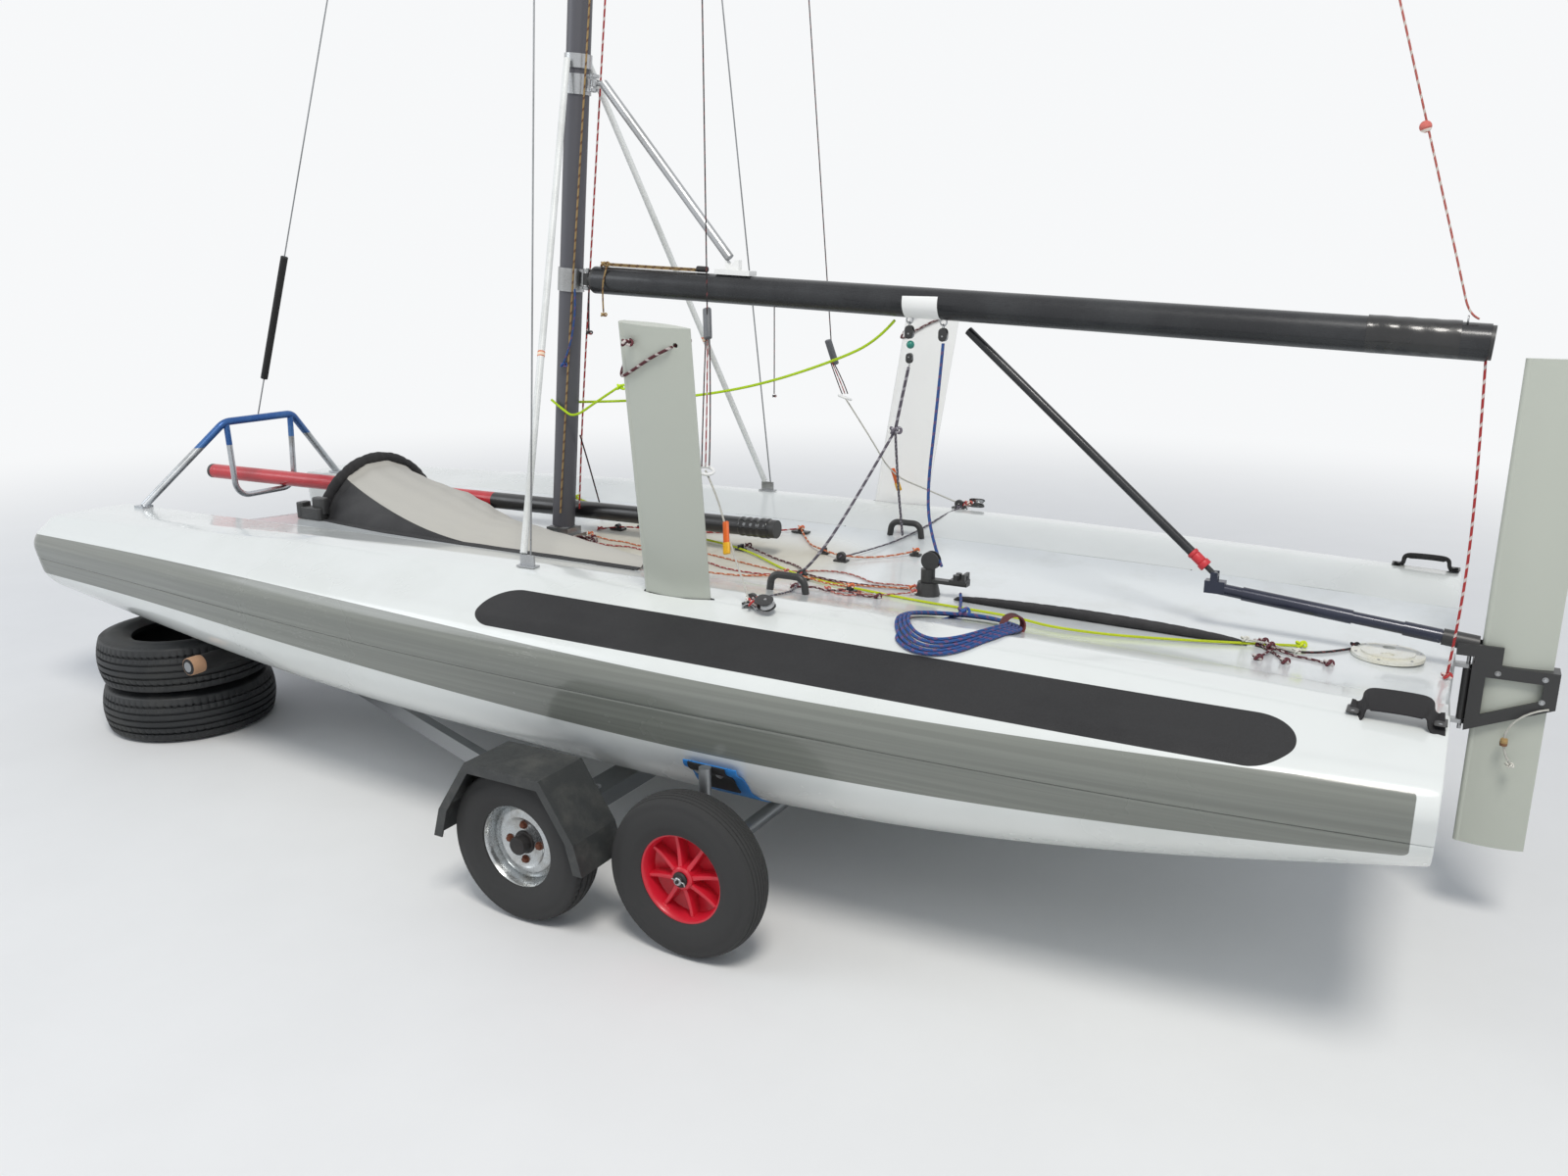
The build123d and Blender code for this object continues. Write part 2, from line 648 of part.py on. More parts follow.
# Bowsprit
SPRIT_RADIUS = SPRIT_DIAMETER / 2
sprit_tip = Vector(SPRIT_TIP_X, SPRIT_Y, SPRIT_TIP_Z)
sprit_end = Vector(SPRIT_END_X, SPRIT_Y, SPRIT_END_Z)
SPRIT_CAP = 16.0
sprit_tube = pipe(tuple(sprit_tip + sprit_axis * SPRIT_CAP), tuple(sprit_end - sprit_axis * SPRIT_CAP),
                  SPRIT_RADIUS, 3.0)


def sprit_plug(end, way):
    """A cap on one end of the bowsprit, with a rounded rim."""
    return rod(tuple(end), tuple(end + way * (SPRIT_CAP - SEAT_GAP)), SPRIT_RADIUS)


sprit_caps = [sprit_plug(sprit_tip, sprit_axis), sprit_plug(sprit_end, sprit_axis * -1)]

# Gantry over the bows, with the ring that holds the bowsprit
GANTRY_RADIUS = GANTRY_TUBE / 2
gantry_foot_z = deck_z(GANTRY_FOOT_X, GANTRY_FOOT_Y, 50, 50) + 5.0
gantry_points = [
    (GANTRY_FOOT_X, -GANTRY_FOOT_Y, gantry_foot_z),
    (GANTRY_TOP_X, -GANTRY_TOP_Y, GANTRY_TOP_Z),
    (GANTRY_TOP_X, GANTRY_TOP_Y, GANTRY_TOP_Z),
    (GANTRY_FOOT_X, GANTRY_FOOT_Y, gantry_foot_z),
]
gantry_arch = bent_tube(gantry_points, 60, GANTRY_RADIUS)
RING_RADIUS = GANTRY_RING_TUBE / 2
ring_low_z = sprit_z(GANTRY_TOP_X) - SPRIT_RADIUS - CLOSE_GAP - RING_RADIUS
ring_points = [
    (GANTRY_TOP_X, -GANTRY_TOP_Y + 8, GANTRY_TOP_Z),
    (GANTRY_TOP_X, -GANTRY_TOP_Y + 20, ring_low_z),
    (GANTRY_TOP_X, GANTRY_TOP_Y - 20, ring_low_z),
    (GANTRY_TOP_X, GANTRY_TOP_Y - 8, GANTRY_TOP_Z),
]
gantry_ring = bent_tube(ring_points, 60, RING_RADIUS)


def gantry_foot(side):
    """The pad that a gantry leg stands on."""
    return box_between((GANTRY_FOOT_X - 24, side * GANTRY_FOOT_Y - 22, gantry_foot_z - 5),
                       (GANTRY_FOOT_X + 24, side * GANTRY_FOOT_Y + 22, gantry_foot_z + 4))


gantry_trim = box_between((GANTRY_FOOT_X - 90, -600, gantry_foot_z - 5),
                          (GANTRY_TOP_X + 90, 600, GANTRY_TOP_Z + 90))
gantry_trim = gantry_trim + box_between((GANTRY_FOOT_X - 90, -300, ring_low_z - 60),
                                        (GANTRY_TOP_X + 90, 300, gantry_foot_z))
bow_gantry = fused(gantry_arch, gantry_ring, *both_sides(gantry_foot)) & gantry_trim

# Chute mouth hoop and fabric cover
HOOP_RADIUS = HOOP_TUBE / 2
hoop_foot_z = deck_z(HOOP_X, HOOP_HALF_WIDTH) - HOOP_RADIUS
hoop_path = ThreePointArc((HOOP_X, -HOOP_HALF_WIDTH, hoop_foot_z), (HOOP_X, 0, HOOP_TOP_Z - HOOP_RADIUS),
                          (HOOP_X, HOOP_HALF_WIDTH, hoop_foot_z))
hoop_end = Plane(origin=hoop_path @ 0, z_dir=hoop_path % 0) * Circle(HOOP_RADIUS)
hoop_full = sweep(hoop_end, path=hoop_path)
chute_hoop = hoop_full - Pos(0, 0, SEAT_GAP) * bridge
chute_hoop = max(chute_hoop.solids(), key=lambda s: s.volume)

# Cover stations. Columns: x, port_y, starboard_y, rise over the deck
COVER_STATIONS = (
    (HOOP_X + HOOP_RADIUS + SEAT_GAP, -255, 255, 165),
    (-3150, -330, 150, 118),
    (-2790, -366, -70, 62),
    (-2080, -400, -300, 24),
)


def cover_wire(row, inset):
    """An arched section of the cover; the inset one is the hollow under it."""
    x, port_y, starboard_y, rise = row
    base_z = max(deck_floor(x, port_y), deck_floor(x, starboard_y))
    middle = (port_y + starboard_y) / 2
    port, starboard = port_y + inset, starboard_y - inset
    low = base_z - (20.0 if inset else 0.0)
    top = base_z + rise - inset
    edges = [
        ThreePointArc((x, port, low), (x, middle, top), (x, starboard, low)),
        Line((x, starboard, low), (x, port, low)),
    ]
    return Wire([edge.edge() for edge in edges])


def deck_floor(x, y):
    """The bridge deck's top surface, from the same formula as its sections."""
    row = station_row(x)
    edge_z = inner_edge_z(row[-2], row[-1])
    return row[-1] + (edge_z - row[-1]) * (y / INNER_WALL_Y) ** 2


cover_outer = Solid.make_loft([cover_wire(row, 0.0) for row in COVER_STATIONS], True)
cover_inner = Solid.make_loft([cover_wire(row, COVER_WALL) for row in COVER_STATIONS[:3]], True)
sprit_channel = rod(tuple(sprit_tip), tuple(sprit_end), SPRIT_RADIUS + RUNNING_GAP + 1)
cover_mouth = box_between((HOOP_X - 100, -240, 700), (COVER_STATIONS[0][0] + 1, 240, 1000))
chute_cover = cover_outer - cover_inner - sprit_channel - cover_mouth - bridge
chute_cover = max(chute_cover.solids(), key=lambda s: s.volume)

# Small deck fittings
sheet_base_z = deck_z(SHEET_BASE_X, SHEET_BASE_Y, 2 * SHEET_BASE_RADIUS, 2 * SHEET_BASE_RADIUS)
SHEET_PIN_RADIUS = 9.0
CLEAT_HALF_WIDTH = 20.0
CLEAT_FOOT = 17.0
JAW_SPACING = 23.0
JAW_RADIUS = 8.5
JAW_HEIGHT = 14.0
GUIDE_HEIGHT = 36.0
GUIDE_HOLE_RADIUS = 6.0
SHEAVE_RADIUS = 22.0
SHEAVE_WIDTH = 12.0
CHEEK_RADIUS = 26.0
CHEEK_SPAN = 22.0
CHEEK_THICKNESS = 3.0
sheet_base = Pos(SHEET_BASE_X, SHEET_BASE_Y, sheet_base_z + SHEET_BASE_HEIGHT / 2) * Cone(
    SHEET_BASE_RADIUS, SHEET_BASE_RADIUS - 8, SHEET_BASE_HEIGHT)
sheet_pin_top = sheet_base_z + SHEET_BASE_HEIGHT + 30
sheet_base = sheet_base + rod((SHEET_BASE_X, SHEET_BASE_Y, sheet_base_z + 10),
                              (SHEET_BASE_X, SHEET_BASE_Y, sheet_pin_top), SHEET_PIN_RADIUS)
swivel_z = sheet_base_z + SHEET_BASE_HEIGHT + 1.0
swivel_hub = rod((SHEET_BASE_X, SHEET_BASE_Y, swivel_z), (SHEET_BASE_X, SHEET_BASE_Y, sheet_pin_top + 8),
                 20)
swivel_arm = box_between((SHEET_BASE_X, SHEET_BASE_Y - 14, swivel_z),
                         (SHEET_BASE_X + 120, SHEET_BASE_Y + 14,
                                                                      swivel_z + 10))
swivel_cleat = box_between((SHEET_BASE_X + 70, SHEET_BASE_Y - CLEAT_HALF_WIDTH, swivel_z + 8),
                           (SHEET_BASE_X + 118, SHEET_BASE_Y + CLEAT_HALF_WIDTH, swivel_z + CLEAT_FOOT))
swivel_jaws = []
for sign in (-1, 1):
    jaw_y = SHEET_BASE_Y + sign * JAW_SPACING / 2
    jaw_place = Pos(SHEET_BASE_X + 88, jaw_y, swivel_z + CLEAT_FOOT + JAW_HEIGHT / 2)
    swivel_jaws.append(jaw_place * Cylinder(JAW_RADIUS, JAW_HEIGHT + 1))
swivel_guide = box_between((SHEET_BASE_X + 108, SHEET_BASE_Y - CLEAT_HALF_WIDTH, swivel_z + CLEAT_FOOT - 1),
                           (SHEET_BASE_X + 116, SHEET_BASE_Y + CLEAT_HALF_WIDTH, swivel_z + GUIDE_HEIGHT))
guide_hole_z = swivel_z + CLEAT_FOOT + JAW_HEIGHT / 2
swivel_guide = swivel_guide - rod((SHEET_BASE_X + 100, SHEET_BASE_Y, guide_hole_z),
                                  (SHEET_BASE_X + 125, SHEET_BASE_Y, guide_hole_z), GUIDE_HOLE_RADIUS)
sheave_place = Pos(SHEET_BASE_X + 8, SHEET_BASE_Y, sheet_pin_top + 32) * Rot(90, 0, 0)
swivel_block = [sheave_place * Cylinder(SHEAVE_RADIUS, SHEAVE_WIDTH),
                sheave_place * Cylinder(5, CHEEK_SPAN)]
for sign in (-1, 1):
    cheek = Pos(0, 0, sign * (CHEEK_SPAN - CHEEK_THICKNESS) / 2) * Cylinder(CHEEK_RADIUS, CHEEK_THICKNESS)
    swivel_block.append(sheave_place * cheek)
sheet_swivel = fused(swivel_hub, swivel_arm, swivel_cleat, *swivel_jaws, swivel_guide, *swivel_block) - rod(
    (SHEET_BASE_X, SHEET_BASE_Y, swivel_z - 5), (SHEET_BASE_X, SHEET_BASE_Y, sheet_pin_top + 1),
    SHEET_PIN_RADIUS + PIN_GAP)


def grab_handle(side):
    """A black arch on the deck beside the cockpit."""
    y = side * GRAB_HANDLE_Y
    half = GRAB_HANDLE_SPAN / 2
    low = deck_z(GRAB_HANDLE_X, y, GRAB_HANDLE_SPAN, GRAB_HANDLE_TUBE)
    radius = GRAB_HANDLE_TUBE / 2
    points = [
        (GRAB_HANDLE_X - half + radius, y, low),
        (GRAB_HANDLE_X - half + radius + 6, y, low + GRAB_HANDLE_RISE - radius),
        (GRAB_HANDLE_X + half - radius - 6, y, low + GRAB_HANDLE_RISE - radius),
        (GRAB_HANDLE_X + half - radius, y, low),
    ]
    arch = bent_tube(points, 26, radius)
    return arch & box_between((GRAB_HANDLE_X - 200, y - 50, low), (GRAB_HANDLE_X + 200, y + 50, low + 200))


def quarter_handle(side):
    """A webbing carrying handle near the transom."""
    y = side * QUARTER_HANDLE_Y
    low = deck_z(QUARTER_HANDLE_X, y, QUARTER_HANDLE_LENGTH, QUARTER_HANDLE_WIDTH)
    half = QUARTER_HANDLE_LENGTH / 2
    rise, thick = 32.0, 6.0
    outer = ThreePointArc((-half + 20, 0), (0, rise), (half - 20, 0))
    inner = ThreePointArc((-half + 20 + 2 * thick, 0), (0, rise - thick), (half - 20 - 2 * thick, 0))
    edges = [outer.edge(), Line((-half + 20, 0), (-half + 20 + 2 * thick, 0)).edge(), inner.edge(),
             Line((half - 20 - 2 * thick, 0), (half - 20, 0)).edge()]
    arch = extrude(make_face(edges), QUARTER_HANDLE_WIDTH / 2, both=True)
    arch = Pos(QUARTER_HANDLE_X, y, low + 4) * Rot(90, 0, 0) * arch
    ends = []
    for sign in (-1, 1):
        x = QUARTER_HANDLE_X + sign * (half - 18)
        ends.append(box_between((x - 18, y - QUARTER_HANDLE_WIDTH / 2, low),
                                (x + 18, y + QUARTER_HANDLE_WIDTH / 2, low + 5)))
    return fused(arch, *ends)


HATCH_GRIP_SPACING = 62.0
HATCH_GRIP_RADIUS = 15.0
HATCH_GRIP_DEPTH = 5.0
hatch_z = deck_z(HATCH_X, 0, HATCH_DIAMETER, HATCH_DIAMETER)
hatch_seat = Pos(HATCH_X, 0, hatch_z - SEAT_GAP - HATCH_SEAT_DEPTH / 2) * Cylinder(
    HATCH_DIAMETER / 2 + HATCH_SEAT_RIM, HATCH_SEAT_DEPTH)
bridge = bridge + hatch_seat
hatch_cover = Pos(HATCH_X, 0, hatch_z + 4) * Cylinder(HATCH_DIAMETER / 2, 8)
hatch_cover = hatch_cover + Pos(HATCH_X, 0, hatch_z + 10) * Cylinder(HATCH_DIAMETER / 2 - 22, 6)
for sign in (-1, 1):
    grip = Cylinder(HATCH_GRIP_RADIUS, 2 * HATCH_GRIP_DEPTH)
    grip = Pos(HATCH_X, sign * HATCH_GRIP_SPACING / 2, hatch_z + 13) * grip
    hatch_cover = hatch_cover - grip

strap_low = max(deck_z(x, SHEET_BASE_Y, 60, 80) for x in (TOE_STRAP_FRONT_X, -900, TOE_STRAP_END_X))
toe_strap = box_between((TOE_STRAP_FRONT_X, SHEET_BASE_Y - 12 - TOE_STRAP_WIDTH / 2, strap_low),
                        (TOE_STRAP_END_X, SHEET_BASE_Y - 12 + TOE_STRAP_WIDTH / 2,
                         strap_low + TOE_STRAP_THICKNESS))

# Deck blocks and cleats. Columns: x, |y|, length, width, height, on both sides
DECK_BLOCKS = (
    (-1524, 700, 46, 22, 30, True),
    (-1690, 130, 44, 26, 30, True),
    (-2560, 150, 50, 30, 20, True),
    (-1940, 330, 60, 26, 18, True),
)


def deck_blocks():
    """Low blocks and cleats seated on the deck."""
    pieces = []
    for x, y, length, width, height, paired in DECK_BLOCKS:
        for side in (-1, 1) if paired else (1,):
            low = deck_z(x, side * y, length, width)
            base = box_between((x - length / 2, side * y - width / 2, low),
                               (x + length / 2, side * y + width / 2, low + 5))
            wheel = Rot(90, 0, 0) * Cylinder(height / 2 - 0.5, width * 0.5)
            wheel = Pos(x, side * y, low + height / 2) * wheel
            pieces.append(base + wheel)
    return pieces


# Rudder, tiller and their pins
PIN_RADIUS = RUDDER_PIN_DIAMETER / 2
BARREL_RADIUS = PIN_RADIUS + PIN_GAP + 5.0
GUDGEON_Z = (STOCK_LOW_Z + 14, STOCK_HIGH_Z - 14)
GUDGEON_HEIGHT = 10.0


def gudgeon(z):
    """A transom plate with an ear round the rudder pin."""
    plate = box_between((SEAT_GAP, -32, z - 16), (4, 32, z + 16))
    ear = box_between((3, -10, z - GUDGEON_HEIGHT / 2), (RUDDER_PIN_X, 10, z + GUDGEON_HEIGHT / 2))
    ring = Pos(RUDDER_PIN_X, 0, z) * Cylinder(10, GUDGEON_HEIGHT)
    return fused(plate, ear, ring)


rudder_pin = rod((RUDDER_PIN_X, 0, GUDGEON_Z[0] - 20), (RUDDER_PIN_X, 0, GUDGEON_Z[1] + 24), PIN_RADIUS)
transom_bar = box_between((SEAT_GAP, -20, GUDGEON_Z[0]), (5, 20, GUDGEON_Z[1]))
transom_fitting = fused(gudgeon(GUDGEON_Z[0]), gudgeon(GUDGEON_Z[1]), rudder_pin, transom_bar)

STOCK_LENGTH = RUDDER_CHORD + 2 * BLADE_GAP + 2 * STOCK_WALL
STOCK_X = RUDDER_LEAD_X - BLADE_GAP - STOCK_WALL
STOCK_HALF_WIDTH = RUDDER_THICKNESS / 2 + BLADE_GAP + STOCK_WALL
stock_aft_x = STOCK_X + STOCK_LENGTH


def stock_shape(half_width, inset_x=0.0, inset_z=0.0):
    """The stock seen from the side, deep in front and shallow aft, drawn in by the insets."""
    front, back = STOCK_X + inset_x, stock_aft_x - inset_x
    rise = (STOCK_AFT_LOW_Z - STOCK_LOW_Z) / STOCK_LENGTH
    low_front = STOCK_LOW_Z + rise * inset_x + inset_z
    low_back = STOCK_AFT_LOW_Z - rise * inset_x + inset_z
    high = STOCK_HIGH_Z - inset_z
    outline = Polyline((front, low_front), (back, low_back), (back, high), (front, high), close=True)
    return extrude(Plane.XZ * make_face(outline.edges()), half_width, both=True)


stock_inner_half = RUDDER_THICKNESS / 2 + BLADE_GAP
stock_body = stock_shape(STOCK_HALF_WIDTH) - stock_shape(stock_inner_half, STOCK_WALL, STOCK_LIP)
stock_body = stock_body - stock_shape(2 * STOCK_HALF_WIDTH, STOCK_FRAME, STOCK_FRAME)
stock_barrel = rod((RUDDER_PIN_X, 0, GUDGEON_Z[0] + GUDGEON_HEIGHT / 2 + 2),
                   (RUDDER_PIN_X, 0, GUDGEON_Z[1] - GUDGEON_HEIGHT / 2 - 2), BARREL_RADIUS)
TILLER_RADIUS = TILLER_DIAMETER / 2
tiller_back = Vector(STOCK_X + 60, 0, TILLER_BACK_Z)
tiller_front = Vector(TILLER_FRONT_X, 0, TILLER_FRONT_Z)
tiller_way = (tiller_front - tiller_back).normalized()
stock_cheeks = []
for sign in (-1, 1):
    y0, y1 = sorted((sign * (RUDDER_THICKNESS / 2 + BLADE_GAP), sign * STOCK_HALF_WIDTH))
    stock_cheeks.append(box_between((STOCK_X + 4, y0, STOCK_HIGH_Z - 4),
                                    (STOCK_X + 60, y1, TILLER_BACK_Z + 10)))
neck_low_z = GUDGEON_Z[1] + 30
tiller_socket = rod(tuple(tiller_back + tiller_way * 38), tuple(tiller_back + tiller_way * 130),
                    TILLER_RADIUS + 5)
stock_neck = box_between((STOCK_X - 36, -STOCK_HALF_WIDTH, neck_low_z), (STOCK_X + 12, STOCK_HALF_WIDTH,
                                                                      TILLER_BACK_Z + 10))
blade_path = box_between((RUDDER_LEAD_X - BLADE_GAP, -stock_inner_half, STOCK_HIGH_Z),
                         (RUDDER_LEAD_X + RUDDER_CHORD + BLADE_GAP, stock_inner_half, RUDDER_TOP_Z))
blade_hole = Pos(RUDDER_LEAD_X, 0, 0) * foil(RUDDER_CHORD, RUDDER_THICKNESS, RUDDER_TOP_Z, CLOSE_GAP)
rudder_stock = fused(stock_body, stock_barrel, *stock_cheeks, stock_neck, tiller_socket)
rudder_stock = rudder_stock - blade_path - blade_hole
rudder_stock = rudder_stock - rod((RUDDER_PIN_X, 0, 400), (RUDDER_PIN_X, 0, GUDGEON_Z[1] + 25 + 4),
                                  PIN_RADIUS + PIN_GAP)
rudder_stock = rudder_stock - rod(tuple(tiller_back + tiller_way * 45),
                                  tuple(tiller_back + tiller_way * 140),
                                  TILLER_RADIUS + SEAT_GAP)
for z in GUDGEON_Z:
    clear = Pos(RUDDER_PIN_X, 0, z) * Cylinder(13, GUDGEON_HEIGHT + 2 * 2)
    rudder_stock = rudder_stock - clear
tiller = rod(tuple(tiller_back + tiller_way * 58), tuple(tiller_front), TILLER_RADIUS)
for near, far in TILLER_SLEEVES:
    tiller = tiller + rod(tuple(tiller_back + tiller_way * near), tuple(tiller_back + tiller_way * far),
                          TILLER_RADIUS + TILLER_SLEEVE)
universal = box_between((TILLER_FRONT_X - 26, -15, TILLER_FRONT_Z - 12),
                        (TILLER_FRONT_X + 24, 15, TILLER_FRONT_Z + 20))
tiller = tiller + universal

rudder_blade = Pos(RUDDER_LEAD_X, 0, RUDDER_FOOT_Z) * foil(RUDDER_CHORD, RUDDER_THICKNESS,
                                                           RUDDER_TOP_Z - RUDDER_FOOT_Z)

extension_pivot = Vector(TILLER_FRONT_X - 4, 0, EXTENSION_PIVOT_Z)
extension_tip = Vector(EXTENSION_TIP_X, EXTENSION_TIP_Y, EXTENSION_TIP_Z)
extension_way = (extension_tip - extension_pivot).normalized()
UNIVERSAL_PIN_RADIUS = 4.0
universal_ears = []
for sign in (-1, 1):
    y0, y1 = sorted((sign * 14, sign * 9))
    universal_ears.append(box_between((extension_pivot.X - 9, y0, TILLER_FRONT_Z + 19),
                                      (extension_pivot.X + 9, y1, EXTENSION_PIVOT_Z + 9)))
universal_pin = rod((extension_pivot.X, -16, EXTENSION_PIVOT_Z), (extension_pivot.X, 16, EXTENSION_PIVOT_Z),
                    UNIVERSAL_PIN_RADIUS)
tiller = fused(tiller, *universal_ears, universal_pin)
extension_eye = rod((extension_pivot.X, -8, EXTENSION_PIVOT_Z), (extension_pivot.X, 8, EXTENSION_PIVOT_Z),
                    9)
extension = fused(
    extension_eye,
    rod(tuple(extension_pivot + extension_way * 5), tuple(extension_pivot + extension_way * 40), 7),
    rod(tuple(extension_pivot + extension_way * 36), tuple(extension_tip), EXTENSION_DIAMETER / 2),
)
extension = extension - rod((extension_pivot.X, -20, EXTENSION_PIVOT_Z),
                            (extension_pivot.X, 20, EXTENSION_PIVOT_Z),
                            UNIVERSAL_PIN_RADIUS + PIN_GAP)


# Wheels
def tyre_profile(width, outer, bead, crown):
    """Half a tyre's cross-section ring as a face in the XZ plane, turned about Z, from z = 0."""
    half = width / 2
    shoulder = outer - crown
    edges = [
        Line((bead, -half * 0.62), (bead, half * 0.62)),
        ThreePointArc((bead, half * 0.62), ((bead + shoulder) / 2, half), (shoulder, half * 0.82)),
        ThreePointArc((shoulder, half * 0.82), (outer, 0), (shoulder, -half * 0.82)),
        ThreePointArc((shoulder, -half * 0.82), ((bead + shoulder) / 2, -half), (bead, -half * 0.62)),
    ]
    return Plane.XZ * make_face([edge.edge() for edge in edges])


def ring_solid(face):
    """A face in the XZ plane turned about the Z axis."""
    return revolve(face, Axis.Z, 360)


def lay_wheel(shape, x, y, z, side):
    """A wheel made about Z with its outer face up, laid so that its outer face looks outboard."""
    return Pos(x, y, z) * Rot(-90 * side, 0, 0) * shape


def disc_rim(bead, width, spokes, hub_radius, bore, spoke_width):
    """A spoked rim about Z: a barrel with flanges, a hub and flat radial ribs."""
    half = width * 0.62 / 2
    barrel = Cylinder(bead, 2 * half) - Cylinder(bead - 9, 2 * half + 2)
    disc = Pos(0, 0, half * 0.1) * Cylinder(bead - 4, 6)
    hub = Cylinder(hub_radius, width * 0.82)
    ribs = []
    for index in range(spokes):
        rib = Box(bead - hub_radius, spoke_width, half * 0.9)
        rib = Pos((bead + hub_radius) / 2 - 4, 0, half * 0.35) * rib
        ribs.append(Rot(0, 0, 360 / spokes * index) * rib)
    return fused(barrel, disc, hub, *ribs) - Cylinder(bore, width * 2)


STUB_RADIUS = STUB_DIAMETER / 2
trolley_bead = TROLLEY_RIM_DIAMETER / 2 - 4.0
trailer_bead = TRAILER_RIM_DIAMETER / 2 - 8.0
trolley_tyre = ring_solid(tyre_profile(TROLLEY_WHEEL_WIDTH, TROLLEY_WHEEL_DIAMETER / 2,
                                       trolley_bead + SEAT_GAP, 26))
trailer_tyre = ring_solid(tyre_profile(TRAILER_WHEEL_WIDTH, TRAILER_WHEEL_DIAMETER / 2,
                                       trailer_bead + SEAT_GAP, 26))
trolley_rim = disc_rim(trolley_bead, TROLLEY_WHEEL_WIDTH, TROLLEY_SPOKES, 26, STUB_RADIUS + PIN_GAP, 9)


def steel_rim():
    """A pressed steel rim: a barrel with rolled edges, a dished disc and a hub with a dust cap."""
    half = TRAILER_WHEEL_WIDTH * 0.62 / 2
    barrel = Cylinder(trailer_bead, 2 * half) - Cylinder(trailer_bead - 4, 2 * half + 2)
    disc = Pos(0, 0, 4) * (Cylinder(trailer_bead - 2, 5) - Cylinder(28, 8))
    hub = Pos(0, 0, -4) * Cylinder(44, 34)
    cap = Pos(0, 0, 20) * Cylinder(24, 34)
    bore = Pos(0, 0, -30) * Cylinder(STUB_RADIUS + PIN_GAP, 100)
    holes = []
    for index in range(4):
        holes.append(Rot(0, 0, 45 + 90 * index) * Pos(72, 0, 4) * Cylinder(11, 12))
    return fused(barrel, disc, hub, cap) - bore - fused(*holes)


def wheel_nodes():
    """Every tyre and rim in its place, keyed by node name."""
    table = (
        ("trolley", TROLLEY_AXLE_X, TROLLEY_WHEEL_FACE_Y, TROLLEY_WHEEL_WIDTH, TROLLEY_WHEEL_DIAMETER,
         trolley_tyre, trolley_rim),
        ("trailer", TRAILER_AXLE_X, TRAILER_WHEEL_FACE_Y, TRAILER_WHEEL_WIDTH, TRAILER_WHEEL_DIAMETER,
         trailer_tyre, steel_rim()),
    )
    nodes = {}
    for label, x, face_y, width, diameter, tyre, rim in table:
        for side, name in ((-1, "port"), (1, "starboard")):
            y = side * (face_y - width / 2)
            nodes[f"{label}_tyre_{name}"] = lay_wheel(tyre, x, y, diameter / 2, side)
            nodes[f"{label}_rim_{name}"] = lay_wheel(rim, x, y, diameter / 2, side)
    return nodes


# Launching trolley
TROLLEY_AXLE_Z = TROLLEY_WHEEL_DIAMETER / 2
trolley_inner_y = TROLLEY_WHEEL_FACE_Y - TROLLEY_WHEEL_WIDTH - RUNNING_GAP
axle_tube = rod((TROLLEY_AXLE_X, -trolley_inner_y, TROLLEY_AXLE_Z),
                (TROLLEY_AXLE_X, trolley_inner_y, TROLLEY_AXLE_Z),
                TROLLEY_AXLE_DIAMETER / 2)
axle_stub = rod((TROLLEY_AXLE_X, -TROLLEY_WHEEL_FACE_Y + 6, TROLLEY_AXLE_Z),
                (TROLLEY_AXLE_X, TROLLEY_WHEEL_FACE_Y - 6, TROLLEY_AXLE_Z), STUB_RADIUS)
front_bar_z = keel_low_z(FRONT_BAR_X, FRONT_BAR_PAD) - FRONT_BAR_PAD / 2 - SEAT_GAP
spine_front = (FRONT_BAR_X, 0, front_bar_z)
SPINE_RISE = 32.0
spine_back = (TROLLEY_AXLE_X, 0, TROLLEY_AXLE_Z + SPINE_RISE)
spine_way = (Vector(*spine_back) - Vector(*spine_front)).normalized()
spine = rod(tuple(Vector(*spine_back) + spine_way * 40), tuple(Vector(*spine_front) + spine_way * 6),
            SPINE_DIAMETER / 2)
front_bar = rod((FRONT_BAR_X, -FRONT_BAR_HALF_LENGTH, front_bar_z),
                (FRONT_BAR_X, FRONT_BAR_HALF_LENGTH, front_bar_z),
                FRONT_BAR_TUBE / 2)
POST_RADIUS = POST_DIAMETER / 2
sling_row = station_row(TROLLEY_AXLE_X)
outer_post_y = sling_row[2] + SLING_THICKNESS + POST_RADIUS + 14
inner_post_y = INNER_WALL_Y - SLING_THICKNESS - POST_RADIUS - 6


def side_posts(side):
    """The two uprights that a sling hangs between."""
    posts = []
    for y in (outer_post_y, inner_post_y):
        posts.append(rod((TROLLEY_AXLE_X, side * y, TROLLEY_AXLE_Z),
                         (TROLLEY_AXLE_X, side * y, SLING_TOP_Z),
                         POST_RADIUS))
    return fused(*posts)


def side_strut(side):
    """A diagonal from the axle to the spine."""
    return rod((TROLLEY_AXLE_X, side * 560, TROLLEY_AXLE_Z + 6),
               (TROLLEY_AXLE_X - 620, side * 14, TROLLEY_AXLE_Z + 62),
               14)


trolley_frame = fused(axle_tube, axle_stub, spine, front_bar, *both_sides(side_posts),
                      *both_sides(side_strut))


def bar_pad(side):
    """A thick foam pad on one end of the front bar, under a hull."""
    outer = rod((FRONT_BAR_X, side * 430, front_bar_z),
                (FRONT_BAR_X, side * FRONT_BAR_HALF_LENGTH, front_bar_z),
                FRONT_BAR_PAD / 2)
    bore = rod((FRONT_BAR_X, side * 420, front_bar_z),
               (FRONT_BAR_X, side * (FRONT_BAR_HALF_LENGTH + 5), front_bar_z),
               FRONT_BAR_TUBE / 2 + SEAT_GAP)
    return outer - bore


